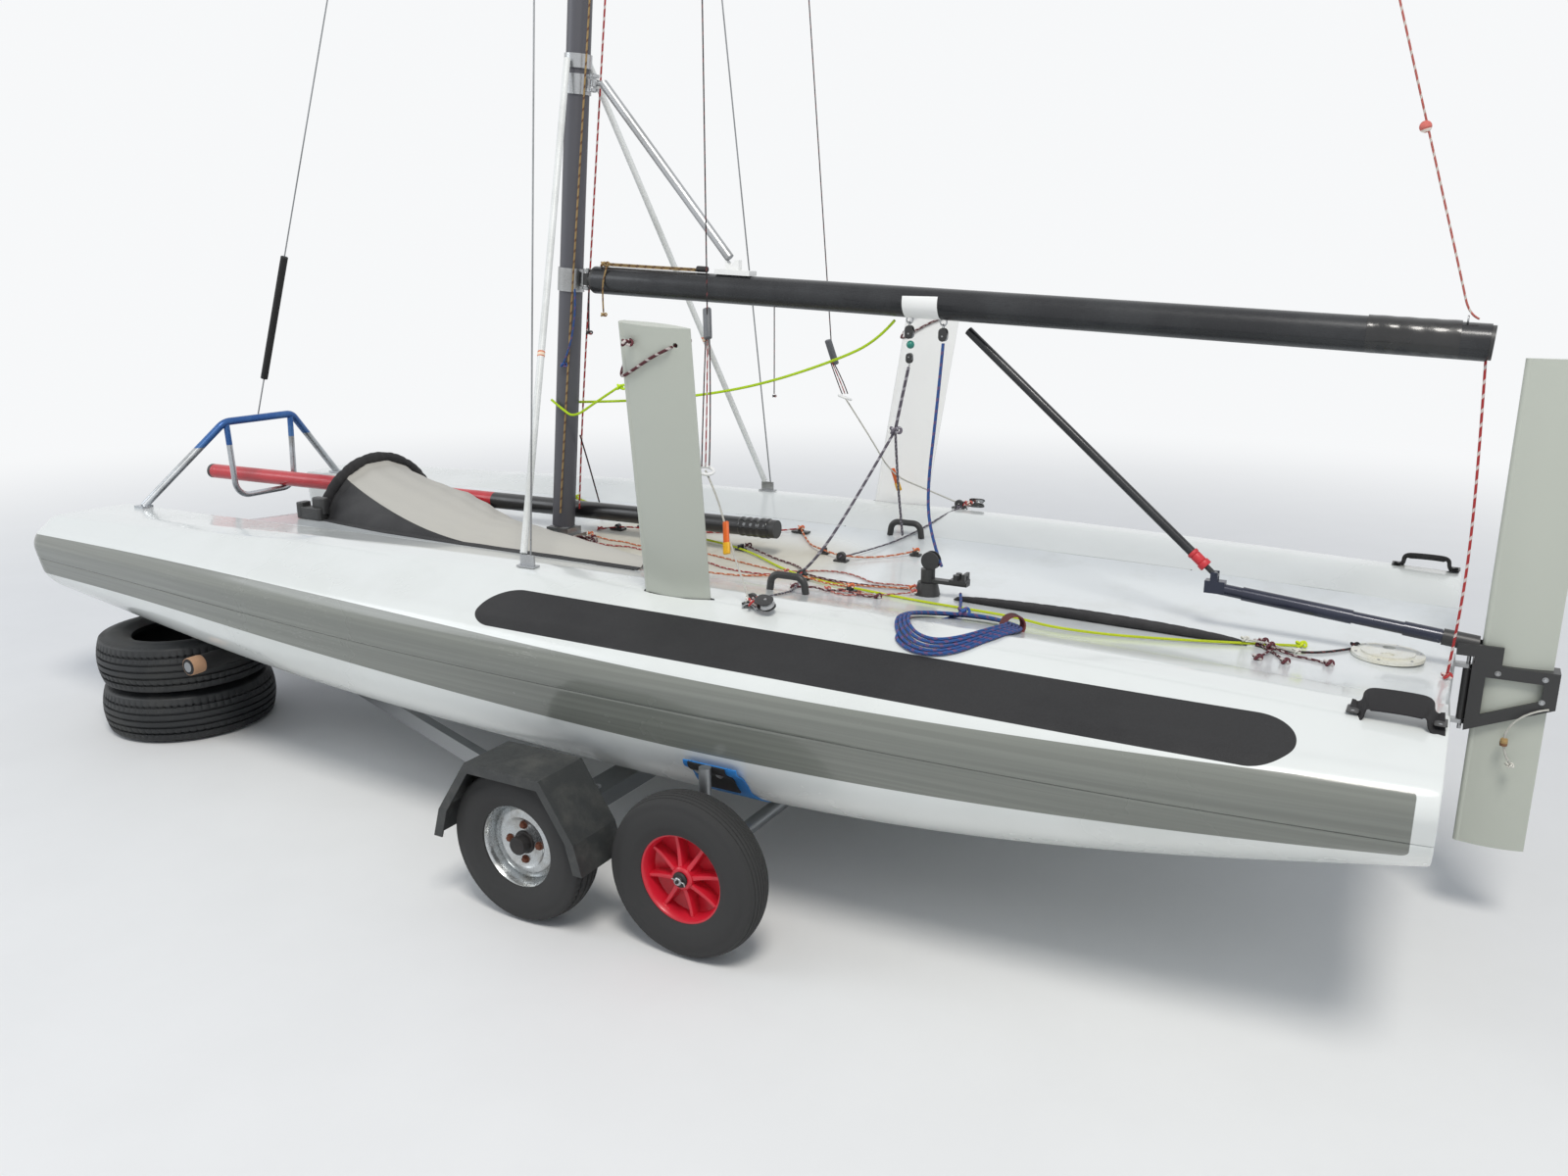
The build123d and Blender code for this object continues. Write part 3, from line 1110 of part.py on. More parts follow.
def sling(side):
    """A sling that hugs the round bottom between the two posts."""
    keel_y, keel_z = sling_row[:2]
    outer_y = outer_post_y - POST_RADIUS - SEAT_GAP
    inner_y = inner_post_y + POST_RADIUS + SEAT_GAP
    low = keel_z - SLING_THICKNESS
    turn_z = SLING_TOP_Z - 20
    x = TROLLEY_AXLE_X - SLING_LENGTH / 2
    outline = [
        Line((x, side * inner_y, SLING_TOP_Z), (x, side * inner_y, turn_z)),
        ThreePointArc((x, side * inner_y, turn_z), (x, side * keel_y, low), (x, side * outer_y, turn_z)),
        Line((x, side * outer_y, turn_z), (x, side * outer_y, SLING_TOP_Z)),
        Line((x, side * outer_y, SLING_TOP_Z), (x, side * inner_y, SLING_TOP_Z)),
    ]
    face = make_face([edge.edge() for edge in outline])
    return Solid.extrude(face.face(), Vector(SLING_LENGTH, 0, 0))


slings = []
for side in (-1, 1):
    hollow = sling(side) - FULL_HULLS[side]
    slings.append(max(hollow.solids(), key=lambda s: s.volume))

# Road trailer
TRAILER_AXLE_Z = TRAILER_WHEEL_DIAMETER / 2
trailer_inner_y = TRAILER_WHEEL_FACE_Y - TRAILER_WHEEL_WIDTH
beam_end_y = trailer_inner_y - 60
axle_beam = box_between((TRAILER_AXLE_X - BEAM_SIZE / 2, -beam_end_y, TRAILER_AXLE_Z - BEAM_SIZE / 2),
                        (TRAILER_AXLE_X + BEAM_SIZE / 2, beam_end_y, TRAILER_AXLE_Z + BEAM_SIZE / 2))


def trailer_stub(side):
    """The knuckle block and stub axle that carry a road wheel."""
    y0, y1 = sorted((side * beam_end_y, side * (trailer_inner_y - RUNNING_GAP)))
    knuckle = box_between((TRAILER_AXLE_X - 30, y0, TRAILER_AXLE_Z - 30), (TRAILER_AXLE_X + 30, y1,
                                                                          TRAILER_AXLE_Z + 30))
    stub = rod((TRAILER_AXLE_X, side * beam_end_y, TRAILER_AXLE_Z),
               (TRAILER_AXLE_X, side * (TRAILER_WHEEL_FACE_Y - TRAILER_WHEEL_WIDTH / 2 + 6),
                TRAILER_AXLE_Z),
               STUB_RADIUS)
    return knuckle + stub


trailer_axle = fused(axle_beam, *both_sides(trailer_stub))


def trailer_leg(side, margin=0.0):
    """One leg of the A-frame, from the axle to the coupling, or a hole for it a margin larger."""
    start = Vector(TRAILER_AXLE_X - BEAM_SIZE / 2 - SEAT_GAP - 8, side * LEG_START_Y, COUPLING_Z)
    end = Vector(LEG_END_X, side * LEG_END_Y, COUPLING_Z)
    way = end - start
    middle = start + way * 0.5
    return Plane(origin=middle, x_dir=tuple(way.normalized()), z_dir=(0, 0, 1)) * Box(
        way.length + 2 * margin, LEG_WIDTH + 2 * margin, LEG_HEIGHT + 2 * margin)


CROSS_X = -2900.0
leg_share = (CROSS_X - TRAILER_AXLE_X) / (LEG_END_X - TRAILER_AXLE_X)
cross_half = LEG_START_Y + (LEG_END_Y - LEG_START_Y) * leg_share
trailer_cross = box_between((CROSS_X - 20, -cross_half, COUPLING_Z - 18),
                            (CROSS_X + 20, cross_half, COUPLING_Z + 18))
trailer_rear = box_between((TRAILER_AXLE_X - BEAM_SIZE / 2 - SEAT_GAP - 40, -LEG_START_Y - 10,
                            COUPLING_Z - 20),
                           (TRAILER_AXLE_X - BEAM_SIZE / 2 - SEAT_GAP, LEG_START_Y + 10, COUPLING_Z + 20))
spine_saddle_z = spine_back[2] + (front_bar_z - spine_back[2]) * (
    (CROSS_X - TROLLEY_AXLE_X) / (FRONT_BAR_X - TROLLEY_AXLE_X))
saddle = box_between((CROSS_X - 20, -30, COUPLING_Z), (CROSS_X + 20, 30, spine_saddle_z + 6))
trailer_frame = fused(trailer_cross, trailer_rear, saddle, *both_sides(trailer_leg))
trailer_frame = trailer_frame - rod(spine_back, spine_front, SPINE_DIAMETER / 2 + SEAT_GAP)

coupling_shell = fused(
    box_between((LEG_END_X - 46, -LEG_END_Y - 26, COUPLING_Z - 31),
                (LEG_END_X + 30, LEG_END_Y + 26, COUPLING_Z + 31)),
    box_between((COUPLING_NOSE_X + 45, -32, COUPLING_Z - 12), (LEG_END_X - 30, 32, COUPLING_Z + 34)),
    Pos(COUPLING_NOSE_X + 45, 0, COUPLING_Z + 11) * Cylinder(45, 46),
)
coupling_head = coupling_shell - Pos(COUPLING_NOSE_X + 45, 0,
                                     COUPLING_Z - 12 + BALL_SOCKET_DEPTH / 2) * Cylinder(
    BALL_SOCKET_RADIUS, BALL_SOCKET_DEPTH)
for side in (-1, 1):
    coupling_head = coupling_head - trailer_leg(side, SEAT_GAP)
coupling_head = max(coupling_head.solids(), key=lambda s: s.volume)


def guard_outline(offset):
    """The angular side outline of a mudguard, a fixed distance inside the outer one."""
    half = GUARD_TOP_LENGTH / 2
    top = GUARD_TOP_Z - offset
    reach = GUARD_REACH - offset
    return [(-reach, TRAILER_AXLE_Z - 6), (-reach + 22, TRAILER_AXLE_Z + 70), (-half + offset * 0.3, top),
            (half - offset * 0.3, top), (reach - 22, TRAILER_AXLE_Z + 70), (reach, TRAILER_AXLE_Z - 6)]


def mudguard(side):
    """A folded plate over the road wheel, with an outer lip and an inner stay to the knuckle."""
    outer = guard_outline(0.0)
    inner = guard_outline(GUARD_PLATE)
    lip = guard_outline(GUARD_LIP)
    width = GUARD_OUTER_Y - GUARD_INNER_Y

    def plate(loop, y0, y1):
        ring = [(x, z) for x, z in loop]
        face = make_face(Polyline(*ring, ring[0]).edges())
        solid = extrude(Plane.XZ * face, (y1 - y0) / 2, both=True)
        return Pos(TRAILER_AXLE_X, side * (y0 + y1) / 2, 0) * solid

    skin = plate(outer + inner[::-1], GUARD_INNER_Y, GUARD_OUTER_Y)
    rim = plate(outer + lip[::-1], GUARD_OUTER_Y - GUARD_PLATE, GUARD_OUTER_Y)
    back = plate(outer + guard_outline(GUARD_LIP * 2)[::-1], GUARD_INNER_Y, GUARD_INNER_Y + GUARD_PLATE)
    stay_top = GUARD_TOP_Z - 8
    y0, y1 = sorted((side * (beam_end_y + 12), side * (GUARD_INNER_Y + 2)))
    arm = box_between((TRAILER_AXLE_X - 18, y0, stay_top - 34), (TRAILER_AXLE_X + 18, y1, stay_top - 28))
    y0, y1 = sorted((side * (beam_end_y + 12), side * (beam_end_y + 18)))
    post = box_between((TRAILER_AXLE_X - 18, y0, TRAILER_AXLE_Z + 30 + SEAT_GAP),
                       (TRAILER_AXLE_X + 18, y1, stay_top - 28))
    return fused(skin, rim, back, arm, post)


# Flat tyres that the bows rest on
STACK_CROWN = 30.0
stack_crest_radius = (STACK_BEAD_DIAMETER / 2 + STACK_DIAMETER / 2 - STACK_CROWN) / 2
stack_height = keel_low_z(STACK_X, 2 * stack_crest_radius + STACK_CROWN) - 2 * SEAT_GAP
tyre_width = stack_height / 2
stack_tyre = ring_solid(tyre_profile(tyre_width, STACK_DIAMETER / 2, STACK_BEAD_DIAMETER / 2, STACK_CROWN))
stack_shell = ring_solid(tyre_profile(tyre_width - 24, STACK_DIAMETER / 2 - 12, STACK_BEAD_DIAMETER / 2 - 6,
                                      STACK_CROWN))
stack_tyre = stack_tyre - stack_shell
bow_tyres = []
for side in (-1, 1):
    for level in (0, 1):
        gap = SEAT_GAP * level
        bow_tyres.append(Pos(STACK_X, side * STACK_Y, tyre_width * (level + 0.5) + gap) * stack_tyre)

NODES = {
    "hull_moulding": group(hull_parts),
    "deck_moulding": group(deck_parts),
    "bridge_deck": bridge,
    "hatch_cover": hatch_cover,
    "mast": mast,
    "mast_step": mast_step,
    "mast_fittings": group(masthead, hounds, lower_band, gooseneck, strut_bracket),
    "spreaders": spreaders,
    "cap_shrouds": group(both_sides(cap_shroud)),
    "lower_shrouds": group(both_sides(lower_shroud)),
    "forestay": forestay,
    "forestay_sleeve": stay_sleeve,
    "chainplates": group(both_sides(chainplate)),
    "bow_gantry": bow_gantry,
    "chute_hoop": chute_hoop,
    "chute_cover": chute_cover,
    "deck_blocks": group(deck_blocks()),
    "grab_handles": group(both_sides(grab_handle)),
    "quarter_handles": group(both_sides(quarter_handle)),
    "sheet_base": sheet_base,
    "toe_strap": toe_strap,
    "transom_fitting": transom_fitting,
    "trolley_frame": trolley_frame,
    "trolley_slings": group(slings),
    "trolley_bar_pads": group(both_sides(bar_pad)),
    "trailer_axle": trailer_axle,
    "trailer_frame": trailer_frame,
    "coupling_head": coupling_head,
    "mudguards": group(both_sides(mudguard)),
    "bow_tyres": group(bow_tyres),
    "boom_spar": boom_spar,
    "boom_fittings": group(boom_front_fitting, end_cap),
    "gnav_strut": gnav_strut,
    "gnav_slider": slider,
    "rudder_stock": rudder_stock,
    "tiller": tiller,
    "rudder_blade": rudder_blade,
    "tiller_extension": extension,
    "daggerboard_port": board(-1),
    "daggerboard_starboard": board(1),
    "bowsprit": sprit_tube,
    "bowsprit_caps": group(sprit_caps),
    "sheet_swivel": sheet_swivel,
}
NODES.update(wheel_nodes())

# The origin lies under the middle of the overall length.
FOREMOST_X = COUPLING_NOSE_X
AFTMOST_X = STOCK_X + STOCK_LENGTH
MIDDLE_X = (FOREMOST_X + AFTMOST_X) / 2

if __name__ == "__main__":
    os.makedirs("parts", exist_ok=True)
    for name, shape in NODES.items():
        placed = [Pos(-MIDDLE_X, 0, 0) * solid for solid in shape.solids()]
        export_step(Compound(placed) if len(placed) > 1 else placed[0], f"parts/{name}.step")
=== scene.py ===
"""The looks of a twin-hulled sailing dinghy parked on its trolley, road trailer and flat tyres.

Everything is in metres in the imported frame's own axes: +X points aft, +Y to starboard and +Z up.
New pieces are surfaces worked out with numpy: points on a grid of two parameters, joined to quads.
"""
from __future__ import annotations

import logging
import math
from dataclasses import dataclass, field
from enum import Enum

import bpy
import numpy as np
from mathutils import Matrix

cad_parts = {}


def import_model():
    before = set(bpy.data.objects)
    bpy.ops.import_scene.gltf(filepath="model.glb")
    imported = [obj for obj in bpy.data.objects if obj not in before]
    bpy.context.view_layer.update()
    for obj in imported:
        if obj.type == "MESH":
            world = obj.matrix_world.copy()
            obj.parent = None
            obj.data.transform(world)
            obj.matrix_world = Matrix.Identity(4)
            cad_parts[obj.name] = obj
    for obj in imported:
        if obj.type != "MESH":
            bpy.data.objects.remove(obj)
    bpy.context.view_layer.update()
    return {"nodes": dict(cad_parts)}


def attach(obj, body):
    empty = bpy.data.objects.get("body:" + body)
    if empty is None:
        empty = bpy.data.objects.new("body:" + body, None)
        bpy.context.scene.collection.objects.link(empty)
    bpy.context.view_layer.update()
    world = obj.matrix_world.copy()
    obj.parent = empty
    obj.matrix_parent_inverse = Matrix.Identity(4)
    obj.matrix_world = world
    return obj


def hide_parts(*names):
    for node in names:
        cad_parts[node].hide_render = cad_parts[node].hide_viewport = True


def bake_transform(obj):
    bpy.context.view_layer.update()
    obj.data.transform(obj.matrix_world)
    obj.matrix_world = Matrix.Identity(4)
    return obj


LOG = logging.getLogger("dinghy")
Point = tuple[float, float, float]
Colour = tuple[float, float, float]
SIDES = ((-1, "port"), (1, "starboard"))


def from_screen(red: int, green: int, blue: int) -> Colour:
    """The linear colour that shows as these 0 to 255 screen values.

    Args:
        red, green, blue: screen values.
    Returns:
        Linear values: v / 12.92 when v is small, and otherwise ((v + 0.055) / 1.055) ** 2.4.
    """
    shares = [value / 255 for value in (red, green, blue)]
    return tuple(v / 12.92 if v <= 0.04045 else ((v + 0.055) / 1.055) ** 2.4 for v in shares)


class Graph:
    """Short calls that add nodes to one shader or group tree."""

    def __init__(self, tree: bpy.types.NodeTree) -> None:
        """Keeps the tree to add to."""
        self.tree = tree

    def add(self, kind: str, settings: dict | None = None, **sockets) -> bpy.types.Node:
        """Adds one node.

        Args:
            kind: the node's type name.
            settings: properties of the node.
            sockets: input values or links by socket name, with _ for a space.
        Returns:
            The new node.
        """
        node = self.tree.nodes.new(kind)
        for name, value in (settings or {}).items():
            setattr(node, name, value)
        for name, value in sockets.items():
            self.put(node.inputs[name.replace("_", " ")], value)
        return node

    def put(self, socket: bpy.types.NodeSocket, value) -> None:
        """Links a socket's value, or sets it."""
        if isinstance(value, bpy.types.NodeSocket):
            self.tree.links.new(value, socket)
        elif isinstance(value, tuple) and len(value) == 3 and socket.type == "RGBA":
            socket.default_value = (*value, 1.0)
        else:
            socket.default_value = value

    def math(self, operation: str, first, second=0.0) -> bpy.types.NodeSocket:
        """One Math node's result."""
        node = self.add("ShaderNodeMath", {"operation": operation})
        self.put(node.inputs[0], first)
        self.put(node.inputs[1], second)
        return node.outputs[0]

    def mix(self, share, first, second) -> bpy.types.NodeSocket:
        """A colour between two, by a share."""
        node = self.add("ShaderNodeMix", {"data_type": "RGBA"})
        self.put(node.inputs[0], share)
        self.put(node.inputs[6], first)
        self.put(node.inputs[7], second)
        return node.outputs[2]

    def step(self, value, low: float, high: float, start: float = 0.0, end: float = 1.0) -> bpy.types.NodeSocket:
        """A smooth step of value from start at low to end at high."""
        node = self.add("ShaderNodeMapRange", {"interpolation_type": "SMOOTHSTEP"}, Value=value,
                        From_Min=low, From_Max=high, To_Min=start, To_Max=end)
        return node.outputs[0]

    def noise(self, vector, scale, detail: float = 3.0, roughness: float = 0.55) -> bpy.types.NodeSocket:
        """A Noise Texture's value."""
        node = self.add("ShaderNodeTexNoise", None, Vector=vector, Scale=scale, Detail=detail, Roughness=roughness)
        return node.outputs["Fac"]

    def stretched(self, vector, scale: Point) -> bpy.types.NodeSocket:
        """A vector scaled along its three axes."""
        return self.add("ShaderNodeMapping", None, Vector=vector, Scale=scale).outputs[0]

    def times(self, first, second) -> bpy.types.NodeSocket:
        """The product of two values."""
        return self.math("MULTIPLY", first, second)

    def plus(self, first, second) -> bpy.types.NodeSocket:
        """The sum of two values."""
        return self.math("ADD", first, second)

    def minus(self, first, second) -> bpy.types.NodeSocket:
        """The first value less the second."""
        return self.math("SUBTRACT", first, second)

    def larger(self, first, second=0.0) -> bpy.types.NodeSocket:
        """The larger of two values."""
        return self.math("MAXIMUM", first, second)

    def beyond(self, value, middle: float, half: float) -> bpy.types.NodeSocket:
        """How far a value lies past half on either side of the middle, or 0."""
        return self.larger(self.minus(self.math("ABSOLUTE", self.minus(value, middle)), half))

    def axes(self, vector) -> bpy.types.bpy_prop_collection:
        """A vector's X, Y and Z."""
        return self.add("ShaderNodeSeparateXYZ", None, Vector=vector).outputs

    def shade(self, shader: bpy.types.Node, **inputs) -> None:
        """Links or sets a shader's inputs by their names, with _ for a space."""
        for name, value in inputs.items():
            self.put(shader.inputs[name.replace("_", " ")], value)

    def length(self, first, second) -> bpy.types.NodeSocket:
        """The square root of the sum of two squares."""
        return self.math("SQRT", self.plus(self.times(first, first), self.times(second, second)))

    def group(self, name: str, **sockets) -> bpy.types.Node:
        """Adds one of the shared node groups."""
        return self.add("ShaderNodeGroup", {"node_tree": bpy.data.node_groups[name]}, **sockets)

    def bump(self, shader: bpy.types.Node, height, strength: float, distance: float = 0.001) -> None:
        """Puts a Bump node's normal on a shader."""
        relief = self.add("ShaderNodeBump", None, Strength=strength, Distance=distance, Height=height)
        self.put(shader.inputs["Normal"], relief.outputs[0])


def new_material(name: str) -> tuple:
    """A new material, with its graph, its shader and its object coordinates."""
    material = bpy.data.materials.new(name)
    material.use_nodes = True
    graph = Graph(material.node_tree)
    place = graph.add("ShaderNodeTexCoord").outputs["Object"]
    return material, graph, material.node_tree.nodes["Principled BSDF"], place


def new_group(name: str, inputs: tuple, outputs: tuple) -> tuple[Graph, dict, bpy.types.Node]:
    """An empty shader node group.

    Args:
        name: the group's name.
        inputs: (name, socket type, default) rows.
        outputs: (name, socket type) rows.
    Returns:
        The group's graph, its input sockets by name, and its output node.
    """
    tree = bpy.data.node_groups.new(name, "ShaderNodeTree")
    for label, kind, default in inputs:
        socket = tree.interface.new_socket(label, in_out="INPUT", socket_type=kind)
        if default is not None:
            socket.default_value = default
    for label, kind in outputs:
        tree.interface.new_socket(label, in_out="OUTPUT", socket_type=kind)
    entry = tree.nodes.new("NodeGroupInput")
    leave = tree.nodes.new("NodeGroupOutput")
    return Graph(tree), {socket.name: socket for socket in entry.outputs}, leave


FLOAT, VECTOR = "NodeSocketFloat", "NodeSocketVector"


def make_wear_group() -> None:
    """Broad patches of dulling plus fine speckle: two noises on the given vector."""
    graph, given, out = new_group("surface_wear", (("Vector", VECTOR, None), ("Patch", FLOAT, 4.0),
                                                   ("Fine", FLOAT, 300.0)), (("Patches", FLOAT), ("Speckle", FLOAT)))
    broad = graph.noise(given["Vector"], given["Patch"], 5.0, 0.62)
    fine = graph.noise(given["Vector"], given["Fine"], 2.0, 0.5)
    graph.put(out.inputs["Patches"], graph.step(broad, 0.42, 0.68))
    graph.put(out.inputs["Speckle"], fine)


def make_scratch_group() -> None:
    """Thin scuffs: the narrow middle band of a noise stretched along X, broken up by a second noise."""
    graph, given, out = new_group("scuffs", (("Vector", VECTOR, None), ("Amount", FLOAT, 0.5)), (("Mask", FLOAT),))
    long_way = graph.stretched(given["Vector"], (3.0, 60.0, 60.0))
    line = graph.math("ABSOLUTE", graph.minus(graph.noise(long_way, 1.0, 3.0, 0.6), 0.5))
    thin = graph.step(line, 0.0, 0.006, 1.0, 0.0)
    broken = graph.step(graph.noise(given["Vector"], 2.3, 2.0), 0.55, 0.68)
    graph.put(out.inputs["Mask"], graph.times(graph.times(thin, broken), given["Amount"]))


def make_weave_group() -> None:
    """A plain weave on UV: the product of two crossed sine waves, in metres of thread pitch."""
    graph, given, out = new_group("weave", (("Pitch", FLOAT, 0.0016),), (("Height", FLOAT), ("Shade", FLOAT)))
    uv = graph.add("ShaderNodeTexCoord").outputs["UV"]
    axes = graph.axes(uv)
    turns = graph.math("DIVIDE", 2 * math.pi, given["Pitch"])
    warp, weft = (graph.math("SINE", graph.times(axes[name], turns)) for name in "XY")
    height = graph.times(warp, weft)
    graph.put(out.inputs["Height"], graph.math("MULTIPLY_ADD", height, 0.5))
    graph.put(out.inputs["Shade"], graph.math("ABSOLUTE", height))


def make_strand_group() -> None:
    """Rope strands on UV: a wave that winds round while it runs along, and a fleck on some turns."""
    graph, given, out = new_group("strands", (("Pitch", FLOAT, 0.02), ("Strands", FLOAT, 6.0)),
                                  (("Height", FLOAT), ("Fleck", FLOAT)))
    axes = graph.axes(graph.add("ShaderNodeTexCoord").outputs["UV"])
    along = graph.math("DIVIDE", axes["X"], given["Pitch"])
    around = graph.times(axes["Y"], given["Strands"])
    left = graph.math("SINE", graph.times(graph.plus(along, around), 2 * math.pi))
    right = graph.math("SINE", graph.times(graph.minus(along, around), 2 * math.pi))
    graph.put(out.inputs["Height"], graph.larger(left, right))
    fleck = graph.math("SINE", graph.times(graph.plus(along, axes["Y"]), math.pi))
    graph.put(out.inputs["Fleck"], graph.step(fleck, 0.55, 0.75))


class Pattern(Enum):
    """What varies over a finish's surface."""

    SMOOTH = "smooth"
    BRUSHED = "brushed"
    WOVEN = "woven"
    ROPE = "rope"
    CAST = "cast"


@dataclass(frozen=True)
class Finish:
    """One surface finish: its colour, its worn colour and how light meets it."""

    name: str
    slot: str
    colour: Colour
    worn: Colour
    roughness: float
    metallic: float = 0.0
    coat: float = 0.0
    pattern: Pattern = Pattern.SMOOTH
    wear: float = 0.4
    patch: float = 4.0
    fine: float = 300.0
    bump: float = 0.15
    pitch: float = 0.0016
    fleck: Colour | None = None

    def build(self) -> bpy.types.Material:
        """Makes the material, or gives the one already made."""
        known = bpy.data.materials.get(self.name)
        if known:
            return known
        material, graph, shader, place = new_material(self.name)
        wear = graph.group("surface_wear", Vector=place, Patch=self.patch, Fine=self.fine)
        share = graph.times(wear.outputs["Patches"], self.wear)
        colour = graph.mix(share, self.colour, self.worn)
        height, rough = self.relief(graph, place, wear)
        if self.fleck:
            strands = [n for n in material.node_tree.nodes if n.type == "GROUP" and "Fleck" in n.outputs]
            colour = graph.mix(strands[0].outputs["Fleck"], colour, self.fleck)
        speck = graph.step(wear.outputs["Speckle"], 0.3, 0.7, 0.93, 1.05)
        tint = graph.add("ShaderNodeMix", {"data_type": "RGBA", "blend_type": "MULTIPLY"})
        tint.inputs[0].default_value = 1.0
        graph.put(tint.inputs[6], colour)
        merged = graph.add("ShaderNodeCombineColor", None, Red=speck, Green=speck, Blue=speck)
        graph.put(tint.inputs[7], merged.outputs[0])
        graph.shade(shader, Base_Color=tint.outputs[2], Roughness=rough, Metallic=self.metallic,
                    Coat_Weight=self.coat, Coat_Roughness=0.08)
        if self.bump:
            graph.bump(shader, height, self.bump)
        return material

    def relief(self, graph: Graph, place, wear) -> tuple:
        """The height and roughness sockets that the pattern gives.

        Args:
            graph: the material's graph.
            place: object coordinates.
            wear: the wear group's node.
        Returns:
            A height socket and a roughness socket.
        """
        low, high = self.roughness - 0.05, self.roughness + 0.12
        if self.pattern is Pattern.BRUSHED:
            fine = graph.noise(graph.stretched(place, (40.0, 900.0, 900.0)), 1.0, 2.0)
            return fine, graph.step(fine, 0.3, 0.7, low, high)
        if self.pattern is Pattern.WOVEN:
            weave = graph.group("weave", Pitch=self.pitch)
            return weave.outputs["Height"], graph.step(weave.outputs["Shade"], 0.0, 1.0, low, high)
        if self.pattern is Pattern.ROPE:
            strands = graph.group("strands", Pitch=self.pitch)
            return strands.outputs["Height"], graph.step(wear.outputs["Speckle"], 0.3, 0.7, low, high)
        if self.pattern is Pattern.CAST:
            rough = graph.noise(place, 45.0, 6.0, 0.7)
            return rough, graph.step(rough, 0.35, 0.7, low, high)
        return wear.outputs["Speckle"], graph.step(wear.outputs["Patches"], 0.0, 1.0, low, high)


S = from_screen
WHITE_PLASTIC = Finish("white_plastic", "white_plastic", S(226, 228, 226), S(196, 196, 190), 0.35, bump=0.05)
MAST_GREY = Finish("mast_grey", "mast_grey", S(66, 68, 72), S(96, 98, 100), 0.38, 0.55, pattern=Pattern.BRUSHED,
                   bump=0.08)
BOOM_BLACK = Finish("boom_black", "boom_tube", S(34, 35, 38), S(62, 64, 66), 0.3, 0.35, 0.25,
                    pattern=Pattern.BRUSHED, bump=0.06)
STEEL = Finish("steel", "brushed_fittings", S(176, 178, 180), S(120, 118, 112), 0.3, 1.0, pattern=Pattern.BRUSHED,
               bump=0.1)
WIRE = Finish("wire", "stay_wire", S(150, 152, 154), S(100, 100, 98), 0.32, 0.9, pattern=Pattern.ROPE, pitch=0.012,
              bump=0.6)
SHROUD_WHITE = Finish("shroud_white", "shroud_cover", S(222, 224, 222), S(176, 176, 170), 0.4, bump=0.08)
BLACK_PLASTIC = Finish("black_plastic", "black_plastic", S(26, 26, 28), S(64, 64, 64), 0.42, bump=0.25, fine=900.0)
TAPE_BLACK = Finish("black_tape", "black_plastic", S(20, 20, 21), S(48, 48, 48), 0.22, coat=0.4, bump=0.4, fine=90.0)
WEBBING_BLACK = Finish("webbing_black", "black_webbing", S(34, 33, 35), S(74, 72, 72), 0.8, pattern=Pattern.WOVEN,
                       pitch=0.0022, bump=0.8)
WEBBING_BLUE = Finish("webbing_blue", "blue_webbing", S(32, 122, 196), S(74, 146, 204), 0.55, pattern=Pattern.WOVEN,
                      pitch=0.0028, bump=0.7)
COVER_CLOTH = Finish("cover_cloth", "cover_cloth", S(176, 172, 160), S(148, 144, 132), 0.75, pattern=Pattern.WOVEN,
                     pitch=0.0018, bump=0.5, patch=9.0)
COVER_EDGE = Finish("cover_edge", "black_webbing", S(40, 40, 42), S(80, 80, 80), 0.7, pattern=Pattern.WOVEN,
                    pitch=0.0025, bump=0.6)
GALVANISED = Finish("galvanised", "galvanised", S(92, 95, 96), S(62, 62, 60), 0.55, 0.7, pattern=Pattern.CAST,
                    bump=0.35, patch=14.0, wear=0.7)
GUARD_BLACK = Finish("guard_black", "black_plastic", S(52, 54, 54), S(84, 84, 80), 0.5, pattern=Pattern.CAST,
                     bump=0.25, patch=11.0, wear=0.6)
FOAM_BLACK = Finish("foam_black", "black_foam", S(24, 24, 25), S(50, 50, 50), 0.85, bump=0.6, fine=500.0)
FOAM_TAN = Finish("foam_tan", "black_foam", S(176, 138, 108), S(140, 104, 80), 0.8, bump=0.4)
TYRE = Finish("tyre_rubber", "tyre_rubber", S(31, 31, 32), S(64, 62, 60), 0.62, bump=0.25, patch=7.0,
              wear=0.55, fine=400.0)
OLD_TYRE = Finish("old_tyre_rubber", "tyre_rubber", S(32, 34, 36), S(64, 64, 62), 0.58, bump=0.3,
                  patch=6.0, wear=0.6, fine=350.0)
RIM_RED = Finish("rim_red", "red_plastic", S(206, 32, 52), S(170, 34, 46), 0.36, coat=0.15, bump=0.1, fine=700.0)
RIM_SILVER = Finish("rim_silver", "rim_steel", S(190, 194, 196), S(150, 146, 138), 0.24, 0.9, pattern=Pattern.CAST,
                    bump=0.15, patch=18.0, wear=0.5)
RUST = Finish("rust", "rim_steel", S(104, 58, 38), S(64, 42, 34), 0.85, pattern=Pattern.CAST, bump=0.8, patch=60.0)
HUB_BLACK = Finish("hub_black", "black_plastic", S(30, 28, 28), S(74, 56, 46), 0.55, pattern=Pattern.CAST, bump=0.4)
TILLER_NAVY = Finish("tiller_navy", "tiller_tube", S(24, 30, 52), S(44, 50, 70), 0.3, 0.2, 0.4, bump=0.05)
JOINT_RED = Finish("joint_red", "red_plastic", S(206, 52, 60), S(170, 50, 52), 0.45, bump=0.1)
FOIL_GREY = Finish("foil_grey", "foil_grey", S(132, 137, 124), S(116, 119, 106), 0.34, coat=0.2, bump=0.06,
                   patch=3.0, wear=0.6)
FOIL_WHITE = Finish("foil_white", "foil_white", S(224, 226, 224), S(196, 198, 192), 0.32, coat=0.2, bump=0.06)
